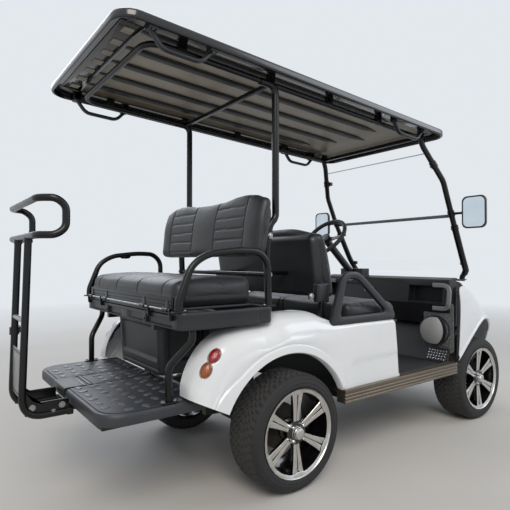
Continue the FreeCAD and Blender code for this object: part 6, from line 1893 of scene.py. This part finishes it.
@dataclass
class Controls:
    """Steering wheel on its shaft and the pads of the two pedals."""

    centre: Point = (0.580, 0.270, 1.250)
    lean: float = -48.0
    ring: float = 0.1735
    grip: float = 0.0152
    pad_ends: tuple[tuple[float, float], tuple[float, float]] = ((0.8365, 0.4865), (0.8885, 0.5800))
    pads_y: tuple[tuple[float, float], ...] = ((0.153, 0.207), (0.263, 0.347))

    def steering_wheel(self) -> Piece:
        """Steering wheel: a grip with finger waves, three dished spokes, the hub pad and its shaft.

        The grip's radius at angle a is grip (1 + 0.05 cos 30 a) over its lower half and plain elsewhere.
        """
        angle = np.linspace(0, 2 * math.pi, 240, endpoint=False)[:, None]
        around = np.linspace(0, 2 * math.pi, 18, endpoint=False)[None]
        waves = 0.05 * np.cos(30 * angle) * smoothstep(-0.2, 0.1, -np.cos(angle))
        radius = self.grip * (1 + waves * np.cos(around - math.pi) * 0.6 - 0.01)
        reach = self.ring + radius * np.cos(around)
        points = np.stack([reach * np.cos(angle), reach * np.sin(angle),
                           radius * np.sin(around) + 0 * angle], -1)
        patches = [grid(points, wrap_u=True, wrap_v=True)]
        share = np.linspace(0, 1, 18)
        section = round_rect(1.0, 1.0, 0.45, 4, 5)
        for degrees in (90.0, 180.0, 270.0):
            reach = 0.020 + share * (self.ring - 0.026)
            drop = -0.020 * (1 - smoothstep(0.15, 0.85, share))
            path = np.stack([reach, 0 * share, drop], -1)
            half = 0.027 - 0.010 * smoothstep(0.0, 0.6, share) + 0.004 * smoothstep(0.75, 1.0, share)
            scale = np.stack([np.full_like(half, 0.0042), half], -1)
            patches.append(sweep(path, section, (0, 0, 1), scale=scale).turned(about_z(degrees)).painted(1))
        hub = lathe([(0.0, -0.036), (0.026, -0.036), (0.034, -0.030), (0.040, -0.016), (0.0425, -0.008),
                     (0.042, 0.0), (0.038, 0.0045), (0.034, 0.0050), (0.033, 0.0030), (0.031, 0.0030),
                     (0.030, 0.0052), (0.018, 0.0066), (0.0, 0.0070)], 48).turned(Y_TO_Z)
        shaft = bar((0, 0, -0.110), (0, 0, -0.030), 0.0088, 20).painted(2)
        patches += [hub.painted(1), shaft]
        placed = [patch.turned(about_y(self.lean)).moved(self.centre) for patch in patches]
        return make_object("steering_wheel_grip", placed, [MAT_RUBBER, CABIN_PLASTIC, DARK_STEEL],
                           "hand_wheel", 38, ["steering_wheel"])

    def pedal_pads(self) -> Piece:
        """Ribbed rubber pads on the faces of both pedals."""
        (low_x, low_z), (high_x, high_z) = self.pad_ends
        ahead = np.array((high_x - low_x, high_z - low_z))
        length = float(np.linalg.norm(ahead))
        degrees = math.degrees(math.atan2(ahead[1], ahead[0]))
        patches = []
        for low, high in self.pads_y:
            parts = [brick((0.002, low, 0.0), (length - 0.002, high, 0.006), 0.002)]
            for spot in np.arange(0.010, length - 0.010, 0.012):
                parts.append(brick((spot, low + 0.004, 0.004), (spot + 0.006, high - 0.004, 0.0085),
                                   0.0012))
            patches += [part.turned(about_y(-degrees)).moved((low_x, 0.0, low_z)) for part in parts]
        return make_object("pedal_pads", patches, [MAT_RUBBER], "chassis", 35)

    def build(self) -> list[Piece]:
        """Build the wheel and the pads."""
        return [self.steering_wheel(), self.pedal_pads()]


@dataclass
class CabinTrim:
    """What is fixed on the dashboard, the door jambs and the floor."""

    face_foot: tuple[float, float] = (0.875, 0.790)
    speaker: Point = (0.8545, 0.455, 0.615)
    speaker_reach: float = 0.096
    floor_top: float = 0.413
    toe_foot: Point = (0.8522, 0.0, 0.4175)
    toe_slope: float = 60.2

    def face_x(self, height: float | Array) -> float | Array:
        """Where the dashboard's rear face lies at a height: it leans forward above and below its edge."""
        edge_x, edge_z = self.face_foot
        rise = np.asarray(height, float) - edge_z
        return edge_x + np.where(rise > 0, rise * 0.125, -rise * 0.3655)

    def cubby_trims(self) -> Piece:
        """Grey U-shaped trims that frame the ends of the open shelf."""
        top, bottom, out, inner = 0.913, 0.759, 0.560, 0.440
        line = bent([(0, inner, top), (0, out, top), (0, out, bottom), (0, inner, bottom)], 0.052, 12)
        line = np.stack([self.face_x(line[:, 2]) - 0.004, line[:, 1], line[:, 2]], -1)
        trim = sweep(line, round_rect(0.0070, 0.0150, 0.0055, 3, 6), (-1, 0, 0))
        cushion = brick((0.879, 0.262, 0.7925), (0.930, 0.508, 0.796), 0.0015).painted(1)
        patches = [trim, trim.mirrored(), cushion.mirrored()]
        return make_object("cubby_trims", patches, [GREY_TRIM, MAT_RUBBER], "chassis", 35)

    def instruments(self) -> Piece:
        """Round charge meter with a needle and marks, key switch and rocker switch, all without words."""
        face = [(0.0, 0.0), (0.036, 0.0), (0.0375, 0.0035), (0.0360, 0.0065), (0.0335, 0.0070),
                (0.0320, 0.0050), (0.0, 0.0046)]
        rear = about_z(90.0)
        at = np.array((0.8775, 0.270, 0.957))
        patches = [lathe(face, 48).turned(rear).moved(at).painted(2),
                   disc(0.0318, 0.0054, 0.0004, 40).turned(rear).moved(at).painted(3)]
        needle = brick((-0.0010, 0.0053, -0.002), (0.0010, 0.0064, 0.022), 0.0004)
        patches.append(needle.turned(about_y(38)).turned(rear).moved(at).painted(4))
        for degrees in range(-60, 61, 20):
            tick = brick((-0.0008, 0.0053, 0.0235), (0.0008, 0.0058, 0.0285), 0.0002)
            patches.append(tick.turned(about_y(degrees)).turned(rear).moved(at).painted(4))
        key = [(0.0, 0.0), (0.0135, 0.0), (0.0135, 0.003), (0.0110, 0.005), (0.0095, 0.010), (0.0, 0.0102)]
        x = float(self.face_x(0.855))
        spot = (x - 0.0005, 0.125, 0.855)
        patches.append(lathe(key, 32).turned(rear).moved(spot).painted(2))
        patches.append(brick((spot[0] - 0.020, 0.1235, 0.848), (spot[0] - 0.009, 0.1265, 0.862),
                             0.0012).painted(2))
        patches.append(brick((x - 0.004, 0.040, 0.836), (x + 0.004, 0.066, 0.876), 0.002))
        rocker = np.array([(x - 0.0105, 0.872), (x - 0.0050, 0.856), (x - 0.0070, 0.840),
                           (x + 0.0020, 0.840), (x + 0.0020, 0.872)])
        patches.append(slab(rocker, Plane.XZ, 0.044, 0.062, 0.0010).painted(1))
        return make_object("instruments", patches, [CABIN_PLASTIC, MOULDED_ABS, CHROME, DIAL_FACE,
                                                    GREY_PLATE], "chassis", 35)

    def speaker_grilles(self) -> Piece:
        """Perforated steel domes in dark rings, turned 15 degrees towards the door."""
        ring = lathe([(0.082, -0.030), (self.speaker_reach, -0.030), (self.speaker_reach + 0.0005, 0.002),
                      (self.speaker_reach - 0.0015, 0.0050), (self.speaker_reach - 0.0040, 0.0056),
                      (0.0905, 0.0045), (0.0885, 0.0020), (0.0820, 0.0010)], 64, closed=True)
        turn = np.linspace(0, 1, 12)
        wide = 0.0895
        dome = lathe([(0.0, -0.004), (wide, -0.004)]
                     + [(wide * (1 - share), 0.002 + 0.020 * (1 - (1 - share) ** 2)) for share in turn], 64)
        x, y, z = self.speaker
        parts = [ring, dome.painted(1)]
        right = [part.turned(about_z(105.0)).moved((x - 0.004, -y - 0.010, z)) for part in parts]
        return make_object("speaker_grilles", right + [part.mirrored() for part in right],
                           [CABIN_PLASTIC, perforated_steel()], "chassis", 35)

    def jambs(self) -> Piece:
        """Rubber strip and grey side panel on each door jamb, beside the speaker."""
        outline = rounded_outline([(0.360, 0.470, 0.03), (0.578, 0.470, 0.03), (0.578, 0.795, 0.02),
                                   (0.360, 0.795, 0.02)], 6)
        panel = slab(outline, Plane.YZ, 0.897, 0.904, 0.002)
        edge = bent([(0.930, 0.583, 0.438), (0.938, 0.586, 0.600), (0.948, 0.584, 0.780),
                     (0.955, 0.574, 0.880)], 0.05)
        strip = sweep(edge, round_rect(0.0050, 0.0085, 0.004, 2, 5), (0, 1, 0)).painted(1)
        left = [panel, strip]
        return make_object("door_jambs", left + [part.mirrored() for part in left],
                           [JAMB_CARPET, MAT_RUBBER], "chassis", 35)

    def toe_plates(self) -> Piece:
        """Small diamond plates on the toe board: bars 18 mm long in rows on a thin plate."""
        low, high = 0.405, 0.548
        patches = [brick((0.0, low, -0.001), (0.082, high, 0.0025), 0.001).painted(1)]
        around = np.linspace(0, 2 * math.pi, 12, endpoint=False)
        oval = np.stack([np.cos(around) * 0.0088, np.sin(around) * 0.0042], -1)
        bar = stacked([(oval, 0.001), (oval * 0.9, 0.0036), (oval * 0.5, 0.0042)], Plane.XY)
        column, row = (part.ravel() for part in np.meshgrid(np.arange(4), np.arange(7), indexing="ij"))
        spots = np.stack([0.0125 + 0.019 * column, low + 0.0125 + 0.0197 * row, 0.0 * row], -1)
        turns = np.array([about_z(45.0), about_z(-45.0)])[(column + row) % 2]
        patches.append(bar.scattered(turns, spots))
        left = [patch.turned(about_y(-self.toe_slope)).moved(self.toe_foot) for patch in patches]
        return make_object("toe_plates", left + [patch.mirrored() for patch in left],
                           [DIAMOND_PLATE, MAT_RUBBER], "chassis", 35)

    def mat(self) -> Piece:
        """Rubber floor mat with ribs along the cart."""
        low = self.floor_top
        patches = [slab(rounded_box((0.355, -0.535), (0.800, 0.535), 0.03, 6), Plane.XY, low, low + 0.004,
                        0.001)]
        rib = brick((0.372, -0.003, low + 0.003), (0.785, 0.003, low + 0.0065), 0.0012)
        rows = np.arange(-0.510, 0.511, 0.020)
        spots = np.stack([0 * rows, rows, 0 * rows], -1)
        patches.append(rib.scattered(np.broadcast_to(np.eye(3), (len(rows), 3, 3)), spots))
        return make_object("floor_mat", patches, [MAT_RUBBER], "chassis", 35)

    def build(self) -> list[Piece]:
        """Build every piece."""
        return [self.cubby_trims(), self.instruments(), self.speaker_grilles(), self.jambs(), self.mat(),
                self.toe_plates()]


@dataclass
class Outriggers:
    """What stands beside the cabin: hip restraints, belt retractors, mirrors, bumper and rear shocks."""

    pillar_x: float = 0.975
    mirror_z: float = 1.391

    def hip_restraints(self) -> Piece:
        """Moulded hip restraints: a flat loop beside the bench with an open window."""
        x, z = REAR_X, 0.750
        outer = [(0.220, 0, 0.025), (0.735, 0, 0.02), (0.735, 0.040, 0.02), (0.480, 0.240, 0.06),
                 (0.430, 0.270, 0.04), (0.310, 0.270, 0.06)]
        inner = [(0.290, 0.040, 0.03), (0.620, 0.042, 0.02), (0.655, 0.052, 0.02), (0.455, 0.210, 0.04),
                 (0.415, 0.235, 0.03), (0.340, 0.235, 0.04)]
        outlines = [rounded_outline([(x + a, z + b, reach) for a, b, reach in corners],
                                    9) for corners in (outer, inner)]
        loop = frame_ring(outlines[0], outlines[1], Plane.XZ, 0.572, 0.600, 0.009)
        return make_object("hip_restraint_loops", [loop, loop.mirrored()], [MOULDED_ABS], "chassis",
                           40, ["hip_restraints"])

    def retractors(self) -> Piece:
        """Grey belt retractor boxes behind the bench, each on a post from the body, with a bolted tab."""
        box = [brick((-0.296, 0.508, 0.866), (-0.212, 0.543, 0.962), 0.008),
               brick((-0.290, 0.541, 0.872), (-0.218, 0.546, 0.956), 0.0025),
               brick((-0.268, 0.514, 0.770), (-0.240, 0.538, 0.870), 0.003).painted(1),
               brick((-0.338, 0.516, 0.886), (-0.290, 0.524, 0.914), 0.002).painted(1),
               brick((-0.272, 0.514, 0.9605), (-0.236, 0.537, 0.9665), 0.002).painted(1),
               hex_bolt(0.020).moved((-0.322, 0.524, 0.900)).painted(2)]
        return make_object("belt_retractors", box + [part.mirrored() for part in box],
                           [MOULDED_ABS, POWDER_COAT, ZINC], "chassis", 35)

    def mirrors(self) -> Piece:
        """Side mirrors: a rounded shell with its glass facing back, a ball joint, an arm and a collar."""
        middle = np.array((0.680, self.mirror_z))
        profile = ((0.014, 0.9668, 1), (0.0100, 0.9668, 0), (0.0085, 0.9645, 0), (0.0060, 0.9632, 0),
                   (0.0030, 0.9632, 0), (0.0006, 0.9655, 0), (0.0, 0.9720, 0), (0.0010, 0.9800, 0),
                   (0.0060, 0.9900, 0), (0.0160, 0.9975, 0), (0.0340, 1.0020, 0), (0.0600, 1.0030, 0))
        rings = [(round_rect(0.080 - inset, 0.105 - inset, max(0.036 - inset * 0.4, 0.01), 8, 9) + middle,
                  x)
                 for inset, x, _ in profile]
        shell_patch = stacked(rings, Plane.YZ, [slot for _, _, slot in profile[:-1]])
        arm = tube(np.array([(self.pillar_x, 0.541, self.mirror_z),
                             (self.pillar_x + 0.002, 0.575, self.mirror_z),
                             (self.pillar_x + 0.004, 0.611, self.mirror_z)]),
                   np.array([0.0088, 0.0080, 0.0088]), 16)
        turn = np.linspace(-math.pi / 2, math.pi / 2, 13)
        ball = lathe([(0.0145 * math.cos(a), 0.0145 * math.sin(a)) for a in turn], 24)
        ball = ball.moved((self.pillar_x + 0.004, 0.603, self.mirror_z))
        line = Roof().on_pillar(np.linspace(self.mirror_z - 0.018, self.mirror_z + 0.018, 4))
        patches = [shell_patch, arm.painted(2), ball.painted(2), tube(line, 0.0225, 20).painted(2)]
        patches += [patch.mirrored() for patch in patches]
        return make_object("mirror_shells", patches, [MOULDED_ABS, mirror_glass(), POWDER_COAT], "chassis",
                           35, ["mirrors"])

    def bumper(self) -> Piece:
        """Front bumper: a rounded bar with two grooves along its face and two bolts."""
        outline = rounded_outline([(1.535, 0.330, 0.004), (1.562, 0.330, 0.012), (1.5745, 0.340, 0.010),
                                   (1.5750, 0.357, 0.002), (1.5705, 0.360, 0.001), (1.5705, 0.364, 0.001),
                                   (1.5750, 0.367, 0.002), (1.5750, 0.383, 0.002), (1.5705, 0.386, 0.001),
                                   (1.5705, 0.390, 0.001), (1.5750, 0.393, 0.002), (1.5745, 0.410, 0.010),
                                   (1.562, 0.420, 0.012), (1.535, 0.420, 0.004)], 5)
        patches = [slab(outline, Plane.XZ, -0.450, 0.450, 0.0016)]
        for side in (-1, 1):
            for height in (0.3485, 0.4015):
                bolt = hex_bolt(0.007).turned(Y_TO_X)
                patches.append(bolt.moved((1.5712, side * 0.300, height)).painted(1))
        return make_object("bumper_bar", patches, [MOULDED_ABS, ZINC], "chassis", 35,
                           ["front_bumper"])

    def shocks(self) -> Piece:
        """Rear shock absorbers: a dark tube and a bright rod between the axle and a cross member."""
        low, high = np.array((-0.618, 0.318, 0.272)), np.array((-0.700, 0.300, 0.392))
        ahead = high - low
        body = bar(low, low + ahead * 0.58, 0.0215, 22)
        rod = bar(low + ahead * 0.50, high, 0.0065, 14).painted(1)
        dust = bar(low + ahead * 0.56, low + ahead * 0.94, 0.0245, 22)
        eyes = [disc(0.016, 0.030, 0.002).moved(spot - (0, 0.015, 0)).painted(2) for spot in (low, high)]
        left = [body, rod, dust] + eyes
        return make_object("rear_shocks", left + [part.mirrored() for part in left],
                           [POWDER_COAT, CHROME, MAT_RUBBER], "chassis", 35)

    def build(self) -> list[Piece]:
        """Build every piece."""
        return [self.hip_restraints(), self.retractors(), self.mirrors(), self.bumper(), self.shocks()]


@dataclass
class SeatBoards:
    """Moulded boards that carry the backrest pads."""

    def rear(self) -> list[Patch]:
        """Board on the front of the rear-facing pad, leaning with it."""
        outline = rounded_outline([(-0.480, -0.022, 0.03), (0.480, -0.022, 0.03), (0.494, 0.200, 0.05),
                                   (0.430, 0.250, 0.05), (0.330, 0.262, 0.04), (0.0, 0.240, 0.10),
                                   (-0.330, 0.262, 0.04), (-0.430, 0.250, 0.05), (-0.494, 0.200, 0.05)], 7)
        board = slab(outline, Plane.YZ, 0.0745, 0.0835, 0.0025)
        return [board.turned(about_y(8.4)).moved((REAR_X - 0.180, 0.0, 1.140))]

    def front(self) -> list[Patch]:
        """Moulded back of the front pad: rounded rectangles stacked from its flat rear face to its rim."""
        half, low, high = 0.476, 0.008, 0.345
        rings = []
        for inset, depth in ((0.150, -0.0440), (0.110, -0.0440), (0.070, -0.0438), (0.050, -0.0434),
                             (0.034, -0.0425), (0.020, -0.0390), (0.010, -0.0300), (0.003, -0.0120),
                             (0.0, 0.0), (0.002, 0.0030), (0.050, 0.0030), (0.150, 0.0030)):
            foot, crown = max(0.030 - inset, 0.004), max(0.050 - inset, 0.004)
            left, right = inset - half, half - inset
            rings.append((rounded_outline([(left, low + inset, foot), (right, low + inset, foot),
                                           (right, high - inset, crown), (left, high - inset, crown)], 7),
                          depth))
        board = stacked(rings, Plane.YZ)
        return [board.turned(about_y(-8.8)).moved((-0.1765, 0.0, 0.880))]

    def build(self) -> list[Piece]:
        """Build both boards as one piece."""
        return [make_object("backrest_boards", self.rear() + self.front(), [MOULDED_ABS], "chassis",
                            35)]


# Finishes of the frame's own solids


@dataclass
class FrameDress:
    """Gives each solid of the frame that stays in view its finish and a small rounded edge."""

    edge_angle: float = 40.0
    # Node, finish and edge radius in millimetres
    table: tuple[tuple[str, Callable[[], Material], float], ...] = (
        ("frame_rails", CHASSIS_PAINT.material, 4.0),
        ("cross_members", CHASSIS_PAINT.material, 4.0),
        ("front_axle", CHASSIS_PAINT.material, 3.0),
        ("tow_eye", DARK_STEEL.material, 1.0),
        ("rear_axle", DARK_STEEL.material, 3.0),
        ("knuckle_left", DARK_STEEL.material, 1.5),
        ("knuckle_right", DARK_STEEL.material, 1.5),
        ("leaf_springs", DARK_STEEL.material, 1.0),
        ("tie_rod", ZINC.material, 0.8),
        ("rack_housing", CAST_ALUMINIUM.material, 3.0),
        ("floor_pan", CABIN_PLASTIC.material, 2.0),
        ("seat_box", CABIN_PLASTIC.material, 6.0),
        ("dashboard", CABIN_PLASTIC.material, 5.0),
        ("steering_column", CABIN_PLASTIC.material, 2.0),
        ("speakers", CABIN_PLASTIC.material, 2.0),
        ("battery_pack", BATTERY_CASE.material, 6.0),
        ("rocker_panels", anodised_extrusion, 3.0),
        ("front_seat_base", MOULDED_ABS.material, 3.0),
        ("rear_frame", POWDER_COAT.material, 2.5),
        ("deck_struts", POWDER_COAT.material, 1.5),
        ("hitch_receiver", POWDER_COAT.material, 2.0),
        ("front_pillars", POWDER_COAT.material, 1.0),
        ("windshield", clear_sheet, 1.0),
        ("pedals", DARK_STEEL.material, 1.5),
    )

    def build(self) -> None:
        """Dress every node of the table."""
        for node, finish, edge in self.table:
            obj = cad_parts[node]
            obj.data.materials.clear()
            obj.data.materials.append(finish())
            weld = obj.modifiers.new("weld", "WELD")
            weld.merge_threshold = 0.00001
            bevel = obj.modifiers.new("edge", "BEVEL")
            bevel.width = edge * MM
            bevel.segments = 2
            bevel.limit_method = "ANGLE"
            bevel.angle_limit = math.radians(self.edge_angle)
            bevel.harden_normals = True
            bevel.use_clamp_overlap = True


# Studio


@dataclass
class Studio:
    """Pale floor, soft light and the camera."""

    eye: Point = (-1.9352, -2.2000, 1.0788)
    yaw: float = 53.0697
    pitch: float = 0.6829
    roll: float = -0.0611
    focal_px: float = 460.585
    picture_px: int = 510
    backdrop: str = "#e3e8ed"
    sky: float = 0.44
    fade: tuple[float, float] = (4.0, 10.0)

    def camera(self) -> None:
        """Camera at the eye: forward from yaw and pitch, right and up turned by the roll."""
        yaw, pitch, roll = (math.radians(value) for value in (self.yaw, self.pitch, self.roll))
        ahead = Vector((math.cos(pitch) * math.cos(yaw), math.cos(pitch) * math.sin(yaw), math.sin(pitch)))
        right = ahead.cross(Vector((0, 0, 1))).normalized()
        up = right.cross(ahead)
        turned_right = right * math.cos(roll) + up * math.sin(roll)
        turned_up = up * math.cos(roll) - right * math.sin(roll)
        data = bpy.data.cameras.new("camera")
        data.sensor_width = 36.0
        data.lens = 36.0 * self.focal_px / self.picture_px
        data.clip_end = 60.0
        camera = bpy.data.objects.new("camera", data)
        matrix = Matrix((turned_right, turned_up, -ahead)).transposed().to_4x4()
        matrix.translation = Vector(self.eye)
        camera.matrix_world = matrix
        bpy.context.scene.collection.objects.link(camera)
        bpy.context.scene.camera = camera

    def lamp(self, name: str, at: Point, aim: Point, size: float, power: float, tone: str) -> None:
        """Square soft box that looks at a point."""
        data = bpy.data.lights.new(name, "AREA")
        data.shape = "SQUARE"
        data.size = size
        data.energy = power
        data.color = linear(tone)[:3]
        lamp = bpy.data.objects.new(name, data)
        turn = (Vector(at) - Vector(aim)).to_track_quat("Z", "Y").to_matrix().to_4x4()
        lamp.matrix_world = Matrix.Translation(Vector(at)) @ turn
        bpy.context.scene.collection.objects.link(lamp)

    def seen(self, tree: Tree) -> Socket:
        """Whether a ray comes from the camera, a glossy surface or through glass."""
        path = tree.nodes.new("ShaderNodeLightPath")
        either = add_node(tree, "ShaderNodeMath", {"operation": "MAXIMUM"},
                          {0: path.outputs["Is Camera Ray"], 1: path.outputs["Is Transmission Ray"]})
        return add_node(tree, "ShaderNodeMath", {"operation": "MAXIMUM"},
                        {0: path.outputs["Is Glossy Ray"], 1: either.outputs[0]}).outputs[0]

    def world(self) -> None:
        """Plain pale surroundings: dimmer as a light than as a backdrop or a reflection."""
        world = bpy.data.worlds.new("studio")
        bpy.context.scene.world = world
        world.use_nodes = True
        tree = world.node_tree
        tree.nodes.clear()
        light = add_node(tree, "ShaderNodeBackground", {"Color": linear("#e9eef4"), "Strength": self.sky})
        show = add_node(tree, "ShaderNodeBackground", {"Color": linear(self.backdrop), "Strength": 1.0})
        mix = add_node(tree, "ShaderNodeMixShader", None,
                       {0: self.seen(tree), 1: light.outputs[0], 2: show.outputs[0]})
        add_node(tree, "ShaderNodeOutputWorld", None, {"Surface": mix.outputs[0]})

    def floor(self) -> Piece:
        """Pale floor disc in rings at z = 0 that takes the shadow and fades into the backdrop."""
        angle = np.linspace(0, 2 * math.pi, 96, endpoint=False)
        rings = np.array([0.0001, 4.0, 12.0, 30.0])[:, None]
        points = np.stack([rings * np.cos(angle), rings * np.sin(angle), 0 * rings * angle], -1)
        patch = grid(points, wrap_v=True)
        mesh = bpy.data.meshes.new("floor")
        mesh.from_pydata(patch.points.tolist(), [], patch.faces[0].tolist())
        tree, bsdf, coords = start_material("studio_floor", {"Specular IOR Level": 0.2})
        broad = noise(tree, coords, 900, 3.0)
        colour = blend_colour(tree, broad, 0.3, 0.7, "#cfcdc9", "#d4d2cf")
        dress(tree, bsdf, colour, span(tree, broad, 0.75, 0.85))
        away = add_node(tree, "ShaderNodeVectorMath", {"operation": "LENGTH"}, {0: coords}).outputs["Value"]
        near, far = self.fade
        fade = map_range(tree, away, {"From Min": near, "From Max": far})
        amount = product(tree, fade, self.seen(tree))
        glow = add_node(tree, "ShaderNodeEmission", {"Color": linear(self.backdrop), "Strength": 1.0})
        mix = add_node(tree, "ShaderNodeMixShader", None,
                       {0: amount, 1: bsdf.outputs[0], 2: glow.outputs[0]})
        out = next(node for node in tree.nodes if node.type == "OUTPUT_MATERIAL")
        tree.links.new(mix.outputs[0], out.inputs["Surface"])
        mesh.materials.append(bpy.data.materials["studio_floor"])
        floor = bpy.data.objects.new("floor", mesh)
        bpy.context.scene.collection.objects.link(floor)
        return floor

    def build(self) -> None:
        """Set the camera, the light and the floor."""
        self.camera()
        self.world()
        self.floor()
        self.lamp("key", (-4.6, -6.8, 7.2), (0, 0, 0.8), 5.0, 560, "#fff6ea")
        self.lamp("fill", (6.2, -5.4, 4.6), (0.2, 0, 0.7), 5.0, 170, "#eef4ff")
        self.lamp("back", (0.5, 8.0, 6.0), (0, 0, 0.8), 6.0, 260, "#f2f6ff")
        bpy.context.scene.view_settings.view_transform = "Standard"


def main() -> None:
    """Build the sub-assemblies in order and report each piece."""
    logging.basicConfig(level=logging.INFO, format="%(message)s")
    made: list[Piece] = []
    for label, station in (("rear", REAR_X), ("front", FRONT_X)):
        made += Wheel(f"{label}_left", station, 1).build()
        made += Wheel(f"{label}_right", station, -1).build()
    made += RearBody().build()
    made += Cowl().build()
    made += Upholstery().build()
    made += SeatBoards().build()
    made += RearDeck().build()
    made += Lamps().build()
    made += Roof().build()
    made += Controls().build()
    made += CabinTrim().build()
    made += Outriggers().build()
    FrameDress().build()
    Studio().build()
    for piece in made:
        LOG.info("%s: %d faces", piece.name, len(piece.data.polygons))


if __name__ == "__main__":
    main()
